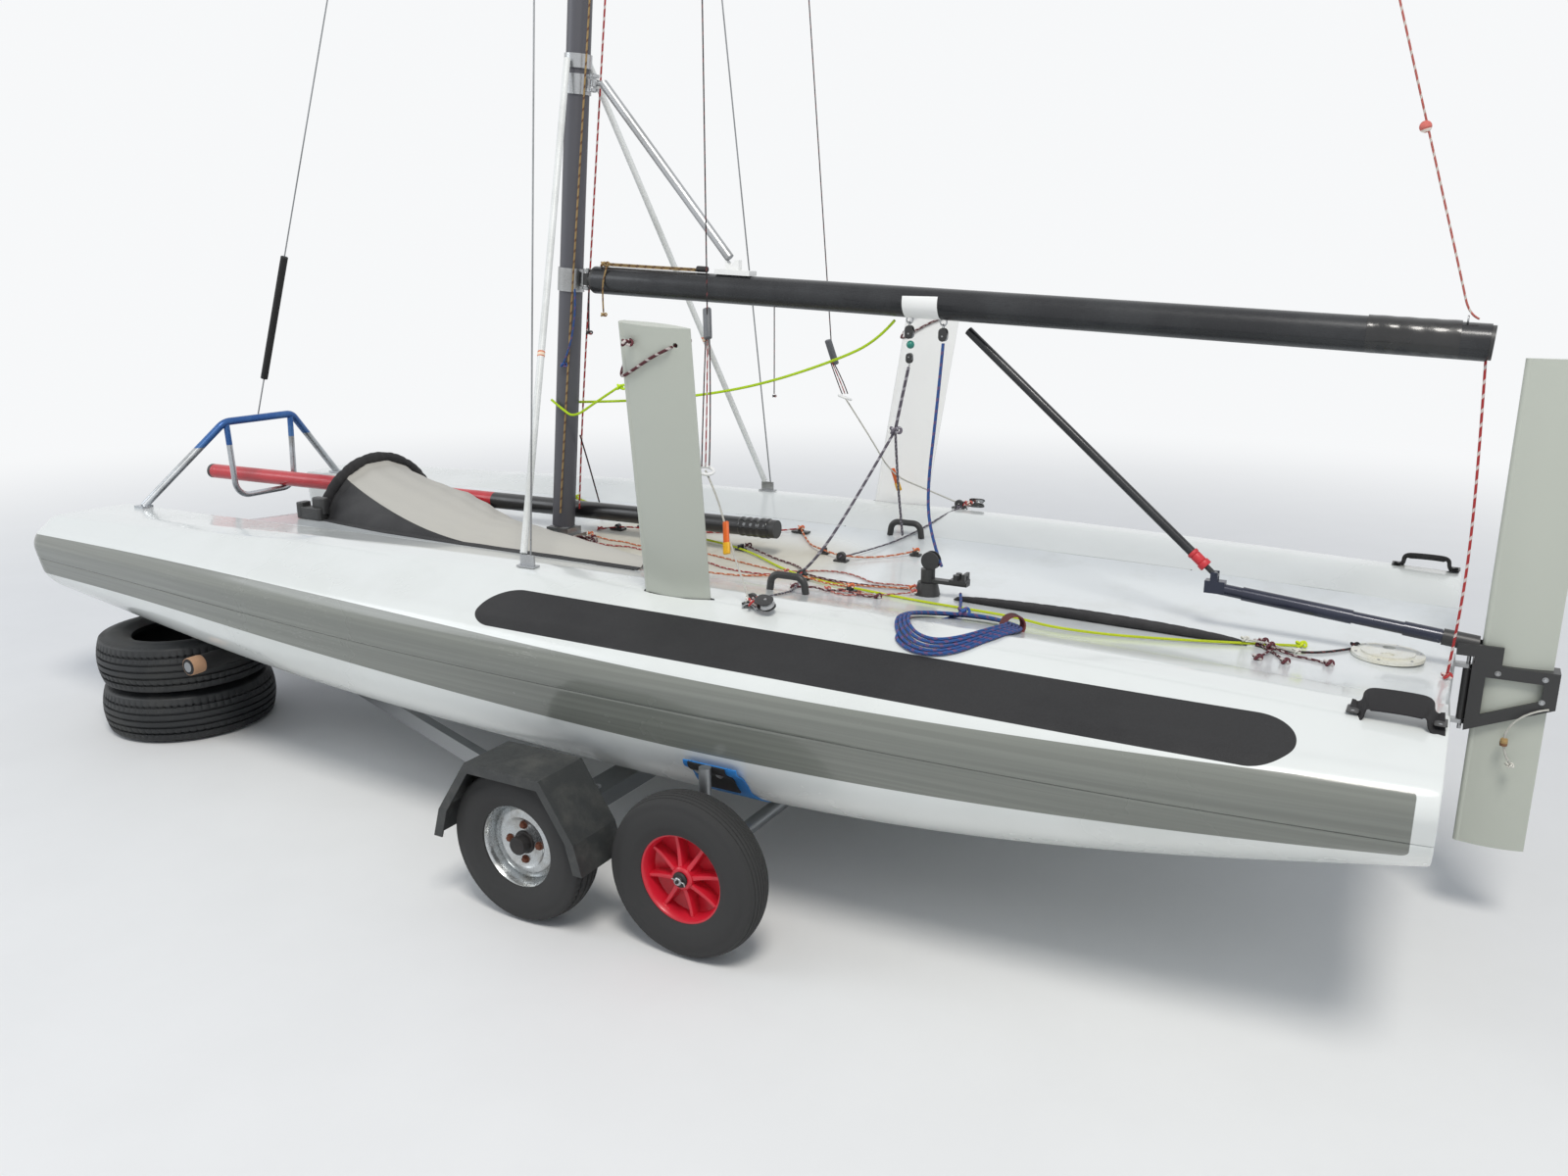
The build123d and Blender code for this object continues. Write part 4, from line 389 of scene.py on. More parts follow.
HATCH_CREAM = Finish("hatch_cream", "hatch_plastic", S(226, 226, 218), S(214, 208, 182), 0.35, bump=0.06,
                     patch=14.0, wear=0.5)


def rope_finish(name: str, main: Colour, fleck: Colour | None = None, pitch: float = 0.016) -> Finish:
    """A braided rope's finish."""
    dull = tuple(0.7 * value for value in main)
    return Finish(name, "black_webbing", main, dull, 0.75, pattern=Pattern.ROPE, pitch=pitch, bump=0.9, fleck=fleck)


ROPE_BLUE = rope_finish("rope_blue", S(48, 88, 152), S(112, 84, 128))
ROPE_YELLOW = rope_finish("rope_yellow", S(214, 230, 40))
ROPE_NEON = rope_finish("rope_neon", S(196, 232, 30))
ROPE_MAROON = rope_finish("rope_maroon", S(92, 40, 48), S(200, 190, 186))
ROPE_RED = rope_finish("rope_red", S(184, 52, 52), S(226, 210, 204))
ROPE_PINK = rope_finish("rope_pink", S(206, 110, 100), S(232, 220, 208))
ROPE_ORANGE = rope_finish("rope_orange", S(222, 116, 70), S(240, 220, 196))
ROPE_GREY = rope_finish("rope_grey", S(104, 98, 108), S(170, 166, 172))
ROPE_WHITE = rope_finish("rope_white", S(224, 222, 212))
ROPE_TAN = rope_finish("shock_cord_tan", S(176, 146, 96), S(120, 84, 56))
ROPE_DARK = rope_finish("rope_dark", S(44, 40, 42), S(120, 60, 60))


# Surfaces

def unit(vectors: np.ndarray) -> np.ndarray:
    """Vectors scaled to length one, along the last axis."""
    return vectors / np.maximum(np.linalg.norm(vectors, axis=-1, keepdims=True), 1e-12)


def natural_cubic(knots: np.ndarray, values: np.ndarray, at: np.ndarray) -> np.ndarray:
    """Smooth columns through rows of values.

    Each span is a cubic whose second derivative m runs evenly between its ends, and m is zero at both
    outer ends; the m values solve one set of equations that keeps the slope the same across each knot.

    Args:
        knots: (N,) rising places.
        values: (N, K) values there.
        at: (M,) places to work out.
    Returns:
        (M, K) values.
    """
    gap = np.diff(knots)
    count = len(knots)
    system = np.eye(count)
    rows = np.arange(1, count - 1)
    system[rows, rows - 1] = gap[:-1]
    system[rows, rows] = 2 * (gap[:-1] + gap[1:])
    system[rows, rows + 1] = gap[1:]
    slope = np.diff(values, axis=0) / gap[:, None]
    right = np.zeros_like(values)
    right[1:-1] = 6 * np.diff(slope, axis=0)
    bend = np.linalg.solve(system, right)
    span = np.clip(np.searchsorted(knots, at) - 1, 0, count - 2)
    h, a, b = gap[span][:, None], (knots[span + 1] - at)[:, None], (at - knots[span])[:, None]
    return (bend[span] * a**3 + bend[span + 1] * b**3) / (6 * h) + (values[span] / h - bend[span] * h / 6) * a + (
        values[span + 1] / h - bend[span + 1] * h / 6) * b


def through(points: list | np.ndarray, count: int = 60) -> np.ndarray:
    """A smooth line of count points through the given points, by natural cubics over chord length."""
    points = np.asarray(points, float)
    reach = np.concatenate(([0.0], np.cumsum(np.linalg.norm(np.diff(points, axis=0), axis=1))))
    return natural_cubic(reach, points, np.linspace(0, reach[-1], count))


def arc_through(first: np.ndarray, middle: np.ndarray, last: np.ndarray, count: int) -> np.ndarray:
    """Arcs through three points, for whole arrays of them at once.

    The centre is where the two perpendicular bisectors cross; the angle runs evenly from first to last
    the way that passes middle.

    Args:
        first, middle, last: (U, 2) points.
        count: points on each arc.
    Returns:
        (U, count, 2) points.
    """
    a, b = middle - first, last - first
    cross = 2 * (a[:, 0] * b[:, 1] - a[:, 1] * b[:, 0])
    a2, b2 = (a**2).sum(1), (b**2).sum(1)
    offset = np.stack([(b[:, 1] * a2 - a[:, 1] * b2) / cross, (a[:, 0] * b2 - b[:, 0] * a2) / cross], axis=1)
    centre = first + offset
    start = np.arctan2(*(first - centre).T[::-1])
    turn = np.arctan2(*(last - centre).T[::-1]) - start
    turn = np.where(cross > 0, turn % (2 * np.pi), -((-turn) % (2 * np.pi)))
    angle = start[:, None] + turn[:, None] * np.linspace(0, 1, count)
    radius = np.linalg.norm(offset, axis=1)[:, None]
    return centre[:, None] + np.stack([radius * np.cos(angle), radius * np.sin(angle)], axis=2)


@dataclass
class Surface:
    """A surface of points on a grid of two parameters, joined to quads.

    around joins the last column to the first, along joins the last row to the first, and capped closes
    the first and last rows, each with one face. share makes the second UV run from 0 to 1.
    """

    points: np.ndarray
    around: bool = False
    along: bool = False
    capped: bool = False
    share: bool = False
    finish: Finish | None = None
    flip: bool = False

    def faces(self) -> list:
        """The quads, then the caps, as lists of corner numbers."""
        rows, columns = self.points.shape[:2]
        number = np.arange(rows * columns).reshape(rows, columns)
        if self.around:
            number = np.hstack([number, number[:, :1]])
        if self.along:
            number = np.vstack([number, number[:1]])
        quads = np.stack([number[:-1, :-1], number[1:, :-1], number[1:, 1:], number[:-1, 1:]], axis=-1).reshape(-1, 4)
        out = quads.tolist()
        if self.capped:
            out += [list(range(columns)), list(range(rows * columns - 1, (rows - 1) * columns - 1, -1))]
        return [face[::-1] for face in out] if self.flip else out

    def closed(self) -> np.ndarray:
        """The points with the first row and column once more at the end, where the surface joins there."""
        rows = np.concatenate([self.points, self.points[:1]]) if self.along else self.points
        return np.concatenate([rows, rows[:, :1]], axis=1) if self.around else rows

    def outward(self) -> "Surface":
        """Turns the faces outwards and gives the surface itself.

        The sign is that of the enclosed volume: the sum of a . (b x c) over the faces' triangles, caps too.
        """
        closed = self.closed()
        closed = closed - closed.mean(axis=(0, 1))
        a, b, c, d = closed[:-1, :-1], closed[1:, :-1], closed[1:, 1:], closed[:-1, 1:]
        volume = (a * np.cross(b, c)).sum() + (a * np.cross(c, d)).sum()
        if self.capped:
            first, last = closed[0, :-1], closed[-1, :-1]
            volume += (first[0] * np.cross(first[1:-1], first[2:])).sum()
            volume -= (last[0] * np.cross(last[1:-1], last[2:])).sum()
        self.flip = bool(volume < 0)
        return self

    def uvs(self) -> np.ndarray:
        """One UV for each face corner: metres along the rows, and metres or a share around."""
        closed = self.closed()
        run = np.linalg.norm(np.diff(closed, axis=0), axis=2).mean(axis=1)
        u = np.concatenate(([0.0], np.cumsum(run)))
        girth = np.linalg.norm(np.diff(closed, axis=1), axis=2).mean(axis=0)
        v = np.concatenate(([0.0], np.cumsum(girth)))
        v = v / max(v[-1], 1e-9) if self.share else v
        grid = np.stack(np.meshgrid(u, v, indexing="ij"), axis=-1)
        corners = np.stack([grid[:-1, :-1], grid[1:, :-1], grid[1:, 1:], grid[:-1, 1:]], axis=2).reshape(-1, 4, 2)
        if self.flip:
            corners = corners[:, ::-1]
        flat = corners.reshape(-1, 2)
        if self.capped:
            flat = np.concatenate([flat, np.zeros((2 * self.points.shape[1], 2))])
        return flat


def make_piece(name: str, surfaces: list, finish: Finish, body: str = "hull", nodes: tuple = (),
               angle: float = 40.0) -> bpy.types.Object:
    """Joins surfaces into one piece that rides a body.

    Args:
        name: the piece's name.
        surfaces: its surfaces; one without a finish takes the piece's own.
        finish: the piece's finish.
        body: the CAD body that it rides, or an empty text for a piece that rides on none.
        nodes: CAD nodes that it stands for.
        angle: corners sharper than this many degrees stay sharp.
    Returns:
        The object.
    """
    start, points, faces, uvs, marks = 0, [], [], [], []
    finishes = [finish]
    for surface in surfaces:
        surface.outward()
        flat = surface.points.reshape(-1, 3)
        own = surface.finish or finish
        if own not in finishes:
            finishes.append(own)
        corners = surface.faces()
        faces += [[start + corner for corner in face] for face in corners]
        marks += [finishes.index(own)] * len(corners)
        uvs.append(surface.uvs())
        points.append(flat)
        start += len(flat)
    mesh = bpy.data.meshes.new(name)
    mesh.from_pydata(np.concatenate(points), [], faces)
    layer = mesh.uv_layers.new(name="UVMap")
    layer.data.foreach_set("uv", np.concatenate(uvs).astype(np.float32).ravel())
    mesh.polygons.foreach_set("material_index", marks)
    for each in finishes:
        mesh.materials.append(each.build())
    piece = bpy.data.objects.new(name, mesh)
    bpy.context.collection.objects.link(piece)
    smooth(piece, angle)
    if body:
        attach(piece, body)
    if nodes:
        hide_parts(*nodes)
    LOG.info("%s: %d faces", name, len(faces))
    return piece


def smooth(piece: bpy.types.Object, angle: float) -> None:
    """Shades a piece smooth, with edges over an angle in degrees kept sharp."""
    mesh = piece.data
    mesh.polygons.foreach_set("use_smooth", [True] * len(mesh.polygons))
    mesh.set_sharp_from_angle(angle=math.radians(angle))


def frames(path: np.ndarray, reference: Point | None = None) -> tuple[np.ndarray, np.ndarray, np.ndarray]:
    """Unit tangent, side and up along a path.

    The side is the cross product of the tangent with one fixed reference, by default the direction that
    the path runs along least: the last axis of the tangents' own spread.
    """
    tangent = unit(np.gradient(path, axis=0))
    if reference is None:
        spread = np.linalg.eigh(tangent.T @ tangent)[1]
        reference = spread[:, 0]
    side = unit(np.cross(tangent, np.asarray(reference, float)))
    return tangent, side, np.cross(side, tangent)


def tube(path: np.ndarray, radius, sides: int = 10, reference: Point | None = None, finish: Finish | None = None,
         loop: bool = False, share: bool = True) -> Surface:
    """A round tube: each row is the path's point plus radius times (cos a side + sin a up).

    Args:
        path: (N, 3) points.
        radius: one number, or N of them.
        sides: points around.
        reference: see frames.
        finish: its finish.
        loop: whether the path closes on itself.
        share: whether its second UV is a share of the way round.
    Returns:
        The surface.
    """
    _, side, up = frames(path, reference)
    angle = np.linspace(0, 2 * np.pi, sides, endpoint=False)
    radius = np.broadcast_to(np.asarray(radius, float), (len(path),))[:, None, None]
    ring = np.cos(angle)[None, :, None] * side[:, None] + np.sin(angle)[None, :, None] * up[:, None]
    return Surface(path[:, None] + radius * ring, around=True, along=loop, capped=not loop, share=share,
                   finish=finish)


def rod(start: Point, end: Point, radius: float, sides: int = 16, edge: float = 0.0, finish: Finish | None = None,
        ) -> Surface:
    """A round bar between two points, its rims rounded off by edge."""
    start, end = np.asarray(start, float), np.asarray(end, float)
    way = unit(end - start)
    if edge:
        path = np.stack([start, start + way * edge * 0.3, start + way * edge, end - way * edge,
                         end - way * edge * 0.3, end])
        size = radius - edge * np.array([1.0, 0.3, 0.0, 0.0, 0.3, 1.0])
    else:
        path, size = np.stack([start, end]), radius
    return tube(path, size, sides, finish=finish, share=False)


def strip(path: np.ndarray, across: np.ndarray, outline: np.ndarray, finish: Finish | None = None,
          loop: bool = False, capped: bool = True) -> Surface:
    """An outline carried along a path: a row is path + x across + y (tangent cross across).

    Args:
        path: (N, 3) points.
        across: the direction of the outline's x, one vector or N of them.
        outline: (V, 2) closed outline, or (N, V, 2) one for each point.
        finish: its finish.
        loop: whether the path closes on itself.
        capped: whether its ends are closed.
    Returns:
        The surface.
    """
    tangent = unit(np.gradient(path, axis=0))
    across = np.broadcast_to(np.asarray(across, float), path.shape)
    across = unit(across - tangent * (across * tangent).sum(1, keepdims=True))
    lift = np.cross(across, tangent)
    outline = np.broadcast_to(outline, (len(path), *outline.shape[-2:]))
    points = path[:, None] + outline[..., :1] * across[:, None] + outline[..., 1:] * lift[:, None]
    return Surface(points, around=True, along=loop, capped=capped and not loop, finish=finish)


def rounded(width: float, height: float, radius: float, corner: int = 4) -> np.ndarray:
    """A rounded rectangle's outline, anticlockwise: four quarter circles about its inner corners."""
    angle = np.linspace(0, np.pi / 2, corner)
    quarter = radius * np.stack([np.cos(angle), np.sin(angle)], axis=1)
    x, y = width / 2 - radius, height / 2 - radius
    mirrored = np.stack([-quarter[:, 1], quarter[:, 0]], axis=1)
    return np.concatenate([quarter + (x, y), mirrored + (-x, y), -quarter - (x, y), -mirrored + (x, -y)])


def slab(centre: Point, size: Point, radius: float, way: Point = (0, 0, 1), across: Point = (1, 0, 0),
         edge: float | None = None, finish: Finish | None = None) -> Surface:
    """A block with rounded sides and softened ends.

    Args:
        centre: its middle.
        size: its width along across, its depth and its length along way.
        radius: radius of the four long corners.
        way: direction of its length.
        across: direction of its width.
        edge: how far the ends are rounded, by default two fifths of the radius.
        finish: its finish.
    Returns:
        Rows of one rounded outline whose half sizes shrink by edge times 1 - cos at each end.
    """
    edge = radius * 0.4 if edge is None else edge
    way = unit(np.asarray(way, float))
    bend = np.linspace(np.pi / 2, 0, 4)
    inset = np.concatenate([edge * (1 - np.cos(bend)), edge * (1 - np.cos(bend[::-1]))])
    place = np.concatenate([-size[2] / 2 + edge * (1 - np.sin(bend)), size[2] / 2 - edge * (1 - np.sin(bend[::-1]))])
    shape = rounded(size[0], size[1], radius)
    shrink = 1 - inset[:, None, None] / (np.array([size[0], size[1]]) / 2)
    return strip(np.asarray(centre, float) + place[:, None] * way, np.asarray(across, float), shape[None] * shrink,
                 finish)


def revolve(profile: list | np.ndarray, centre: Point, axis: Point = (0, 1, 0), sides: int = 48,
            closed: bool = True, finish: Finish | None = None) -> Surface:
    """A profile of (radius, place along the axis) rows turned about an axis.

    Args:
        profile: (N, 2) rows, joined last to first where closed.
        centre: a point on the axis.
        axis: the axis.
        sides: steps around.
        closed: whether the profile is a loop; else its ends are capped.
        finish: its finish.
    Returns:
        centre + place axis + radius (cos a e1 + sin a e2).
    """
    profile = np.asarray(profile, float)
    axis = unit(np.asarray(axis, float))
    first = unit(np.cross(axis, (0.0, 0.0, 1.0) if abs(axis[2]) < 0.9 else (1.0, 0.0, 0.0)))
    second = np.cross(axis, first)
    angle = np.linspace(0, 2 * np.pi, sides, endpoint=False)
    ring = np.cos(angle)[:, None] * first + np.sin(angle)[:, None] * second
    points = (np.asarray(centre, float) + profile[:, None, 1:] * axis) + profile[:, None, :1] * ring[None]
    return Surface(points, around=True, along=closed, capped=not closed, finish=finish)


def turned(points: np.ndarray, centre: Point, axis: Point, angle: float) -> np.ndarray:
    """Points turned about an axis through a centre: the along-axis part stays, the rest turns by angle."""
    axis = unit(np.asarray(axis, float))
    away = points - np.asarray(centre, float)
    along = (away @ axis)[..., None] * axis
    out = along + (away - along) * math.cos(angle) + np.cross(axis, away) * math.sin(angle)
    return out + np.asarray(centre, float)


def rope_path(points: list, smoothness: int = 8) -> np.ndarray:
    """The line of an open NURBS curve of order 3 that is drawn in to the given control points."""
    curve = bpy.data.curves.new("route", "CURVE")
    curve.dimensions = "3D"
    curve.resolution_u = smoothness
    spline = curve.splines.new("NURBS")
    spline.points.add(len(points) - 1)
    flat = np.concatenate([np.asarray(points, float), np.ones((len(points), 1))], axis=1)
    spline.points.foreach_set("co", flat.ravel())
    spline.order_u = 3
    spline.use_endpoint_u = True
    holder = bpy.data.objects.new("route", curve)
    mesh = bpy.data.meshes.new_from_object(holder)
    line = np.empty(len(mesh.vertices) * 3)
    mesh.vertices.foreach_get("co", line)
    bpy.data.objects.remove(holder)
    bpy.data.meshes.remove(mesh)
    bpy.data.curves.remove(curve)
    return line.reshape(-1, 3)


def dress(target: bpy.types.Object, material: bpy.types.Material) -> None:
    """Gives an object one material."""
    target.data.materials.clear()
    target.data.materials.append(material)


def cut_out(piece: bpy.types.Object, tool: Surface) -> None:
    """Takes the inside of a closed surface out of a piece.

    Args:
        piece: the piece to cut.
        tool: the closed surface.
    """
    cutter = bpy.data.objects.new("cutter", bpy.data.meshes.new("cutter"))
    cutter.data.from_pydata(tool.outward().points.reshape(-1, 3), [], tool.faces())
    bpy.context.collection.objects.link(cutter)
    modifier = piece.modifiers.new("cut", "BOOLEAN")
    modifier.operation, modifier.solver, modifier.object = "DIFFERENCE", "EXACT", cutter
    shape = bpy.data.meshes.new_from_object(piece.evaluated_get(bpy.context.evaluated_depsgraph_get()))
    piece.modifiers.clear()
    old, piece.data = piece.data, shape
    bpy.data.meshes.remove(old)
    bpy.data.objects.remove(cutter)


# Hulls and deck

class Part(Enum):
    """Which half of a hull's shell a skin covers."""

    LOWER = "lower"
    UPPER = "upper"


@dataclass
class HullForm:
    """The shape of both hulls and the deck between them, in metres, from rows along their length.

    Columns of stations: place along the boat, keel y and z, bilge y and z, inner bilge z, beam y and z,
    shoulder y and z, crest z, valley z.
    """

    stations: tuple = (
        (-2.209, 0.6, 0.412, 0.76, 0.505, 0.51, 0.78, 0.595, 0.74, 0.672, 0.708, 0.696),
        (-1.704, 0.62, 0.366, 0.8, 0.47, 0.48, 0.828, 0.605, 0.782, 0.684, 0.722, 0.692),
        (-1.004, 0.655, 0.315, 0.868, 0.448, 0.46, 0.902, 0.606, 0.838, 0.698, 0.75, 0.686),
        (-0.004, 0.69, 0.284, 0.925, 0.452, 0.44, 0.97, 0.604, 0.885, 0.705, 0.769, 0.68),
        (0.996, 0.69, 0.285, 0.925, 0.455, 0.44, 0.97, 0.6, 0.885, 0.702, 0.765, 0.672),
        (1.696, 0.686, 0.36, 0.902, 0.492, 0.47, 0.944, 0.608, 0.868, 0.694, 0.747, 0.66),
        (2.196, 0.68, 0.452, 0.868, 0.545, 0.53, 0.9, 0.622, 0.84, 0.688, 0.729, 0.645),
    )
    bow_round: float = 0.095
    inner_y: float = 0.42
    crest_inner_y: float = 0.62
    crest_outer_y: float = 0.7
    fall_length: float = 0.41
    fall_run: float = 0.2
    join_z: float = 0.562
    transom_round: float = 0.004
    softening: float = 0.011
    tip_x: float = -2.304
    stern_x: float = 2.196

    def values(self, x: np.ndarray) -> np.ndarray:
        """The station columns at places along the boat, as (11, M) rows."""
        table = np.array(self.stations)
        return natural_cubic(table[:, 0], table[:, 1:], np.maximum(x, table[0, 0])).T

    def inner_edge(self, crest: np.ndarray, valley: np.ndarray) -> np.ndarray:
        """Height of the deck's edge over the tunnel, on a straight fall from the crest to the valley."""
        return crest - (crest - valley) / self.fall_length * self.fall_run

    def deck_height(self, x: float, y: float) -> float:
        """Height of the deck's top at a point: a parabola between the hulls, then straight slopes."""
        beam_y, beam_z, shoulder_y, shoulder_z, crest, valley = self.values(np.array([x]))[5:, 0]
        edge = self.inner_edge(crest, valley)
        if abs(y) < self.inner_y:
            return float(valley + (edge - valley) * (y / self.inner_y) ** 2)
        return float(np.interp(abs(y), (self.inner_y, self.crest_inner_y, self.crest_outer_y, shoulder_y, beam_y),
                               (edge, crest, crest - 0.003, shoulder_z, beam_z)))

    def lay(self, points: list, lift: float) -> list:
        """Points of (x, y) or (x, y, extra height) rows laid on the deck, their middle raised by lift."""
        return [(row[0], row[1], self.deck_height(row[0], row[1]) + lift + (row[2] if len(row) > 2 else 0.0))
                for row in points]

    def along(self) -> tuple[np.ndarray, np.ndarray]:
        """Places along the boat and how far each section is drawn in, with both ends rounded.

        The bow goes from tip + R (1 - cos a), drawn in by R (1 - sin a), and the transom's rim likewise.
        """
        bow = np.linspace(0, np.pi / 2, 12)[:-1]
        rim = np.linspace(0, np.pi / 2, 4)
        body = np.linspace(self.tip_x + self.bow_round, self.stern_x - self.transom_round, 118)[:-1]
        x = np.concatenate([self.tip_x + self.bow_round * (1 - np.cos(bow)), body,
                            self.stern_x - self.transom_round * (1 - np.sin(rim))])
        inset = np.concatenate([self.bow_round * (1 - np.sin(bow)), np.zeros(len(body)),
                                self.transom_round * (1 - np.cos(rim))])
        return x, inset

    def outline(self, x: np.ndarray, inset: np.ndarray) -> tuple[np.ndarray, np.ndarray, np.ndarray]:
        """Closed hull sections, evenly spaced and softened.

        Arcs and straight lines are joined as on the plug, resampled by length, and run through a narrow
        bell-shaped average that fades out at the sharp inner corner of the deck.

        Args:
            x: (U,) places.
            inset: (U,) how far each is drawn in.
        Returns:
            (U, M) y and z, and (U,) length round from the inner corner to the shoulder.
        """
        keel_y, keel_z, bilge_y, bilge_z, inner_z, beam_y, beam_z, out_y, out_z, crest, valley = self.values(x)
        edge_z = self.inner_edge(crest, valley)
        mid_y, mid_z = (self.inner_y + beam_y) / 2, (keel_z + crest) / 2
        shrink_y, shrink_z = 1 - inset / (beam_y - mid_y), 1 - inset / (crest - mid_z)

        def put(y, z) -> np.ndarray:
            """One named corner of every section, drawn in towards the section's middle."""
            return np.stack([mid_y + (y - mid_y) * shrink_y, mid_z + (z - mid_z) * shrink_z], axis=1)

        corner, low = put(self.inner_y, edge_z), put(self.inner_y + 0.018, inner_z)
        bilge, beam, shoulder = put(bilge_y, bilge_z), put(beam_y, beam_z), put(out_y, out_z)
        gunwale = put(beam_y - 0.22 * (beam_y - out_y), out_z - 0.34 * (out_z - beam_z))
        outer, inner = put(self.crest_outer_y, crest - 0.003), put(self.crest_inner_y, crest)
        share = np.linspace(0, 1, 40)[None, :, None]
        lines = [(corner, low), (bilge, beam), (shoulder, outer), (outer, inner), (inner, corner)]
        straight = [a[:, None] + (b - a)[:, None] * share for a, b in lines]
        bottom, side = arc_through(low, put(keel_y, keel_z), bilge, 90), arc_through(beam, gunwale, shoulder, 40)
        dense = np.concatenate([straight[0], bottom, straight[1], side, *straight[2:]], axis=1)
        run = np.concatenate([np.zeros((len(x), 1)), np.cumsum(np.linalg.norm(np.diff(dense, axis=1), axis=2), 1)], 1)
        count = 480
        even = np.linspace(0, 1, count)
        rows = [[np.interp(even * r[-1], r, d[:, k]) for k in (0, 1)] for r, d in zip(run, dense)]
        points = np.array(rows)
        reach = np.arange(-24, 25)
        spacing = (run[:, -1] / (count - 1)).mean()
        bell = np.exp(-0.5 * (reach * spacing / self.softening) ** 2)
        bell /= bell.sum()
        body = points[:, :, :-1]
        soft = sum(weight * np.roll(body, shift, axis=2) for weight, shift in zip(bell, reach))
        soft = np.concatenate([soft, soft[:, :, :1]], axis=2)
        pin = np.clip(np.minimum(even, 1 - even) * run[:, -1:] / 0.05, 0, 1)[:, None]
        points = points + (soft - points) * pin * pin * (3 - 2 * pin)
        shoulder_run = run[:, 40 + 90 + 40 + 39]
        return points[:, 0], points[:, 1], shoulder_run / run[:, -1]

    def skin(self, side: int, part: Part) -> tuple[Surface, dict]:
        """The closed skin of one half shell of one hull.

        Args:
            side: -1 for port and 1 for starboard.
            part: the lower or the upper half.
        Returns:
            The surface, and its masks by name, each a value for every point.
        """
        x, inset = self.along()
        y, z, shoulder = self.outline(x, inset)
        share = np.linspace(0, 1, y.shape[1])
        near = np.array([0.0, 0.0012, 0.0024, 0.005])
        steps = np.concatenate([near, np.linspace(0.01, 0.99, 118), 1 - near[::-1]])
        rows = []
        for place, (row_y, row_z, mark) in enumerate(zip(y, z, shoulder)):
            below = np.flatnonzero(row_z < self.join_z)
            before = slice(below[0] - 1, below[0] + 1)
            first = np.interp(self.join_z, row_z[before][::-1], share[before][::-1])
            last = np.interp(self.join_z, row_z[below[-1]:below[-1] + 2], share[below[-1]:below[-1] + 2])
            at = first + (last - first) * steps if part is Part.LOWER else (last + (1 + first - last) * steps) % 1.0
            girth = np.hypot(np.diff(row_y), np.diff(row_z)).sum()
            rows.append((np.interp(at, share, row_y), np.interp(at, share, row_z), (at - mark) * girth,
                         np.full_like(at, x[place])))
        own_y, own_z, from_shoulder, own_x = np.array(rows).transpose(1, 0, 2)
        gap = 0.0004 if part is Part.UPPER else -0.0004
        groove = 0.0016 * np.exp(-(((own_z - self.join_z) / 0.0022) ** 2))
        middle = own_y.mean(axis=1, keepdims=True)
        outer = own_y > middle
        cut_y = own_y - np.where(outer, groove, -groove)
        cut_z = own_z + gap * np.exp(-(((own_z - self.join_z) / 0.004) ** 2))
        low_line, high_line = self.band(own_x)
        masks = {"band_low": np.where(outer, own_z - low_line, -1.0),
                 "band_high": np.where(outer, high_line - own_z, -1.0),
                 "strip_across": np.where(from_shoulder > -0.3, from_shoulder, -1.0)}
        points = np.stack([own_x, side * cut_y, cut_z], axis=2)
        return Surface(points, around=True, capped=True), masks

    def band(self, x: np.ndarray) -> tuple[np.ndarray, np.ndarray]:
        """Heights of the grey band's lower and upper lines along the boat."""
        knots = np.array([-2.3, -1.8, -0.3, 0.9, 1.93, 2.2])
        heights = np.array([[0.505, 0.648], [0.507, 0.66], [0.48, 0.67], [0.46, 0.65], [0.513, 0.666],
                            [0.532, 0.671]])
        rows = natural_cubic(knots, heights, x.ravel()).reshape(*x.shape, 2)
        return rows[..., 0], rows[..., 1]


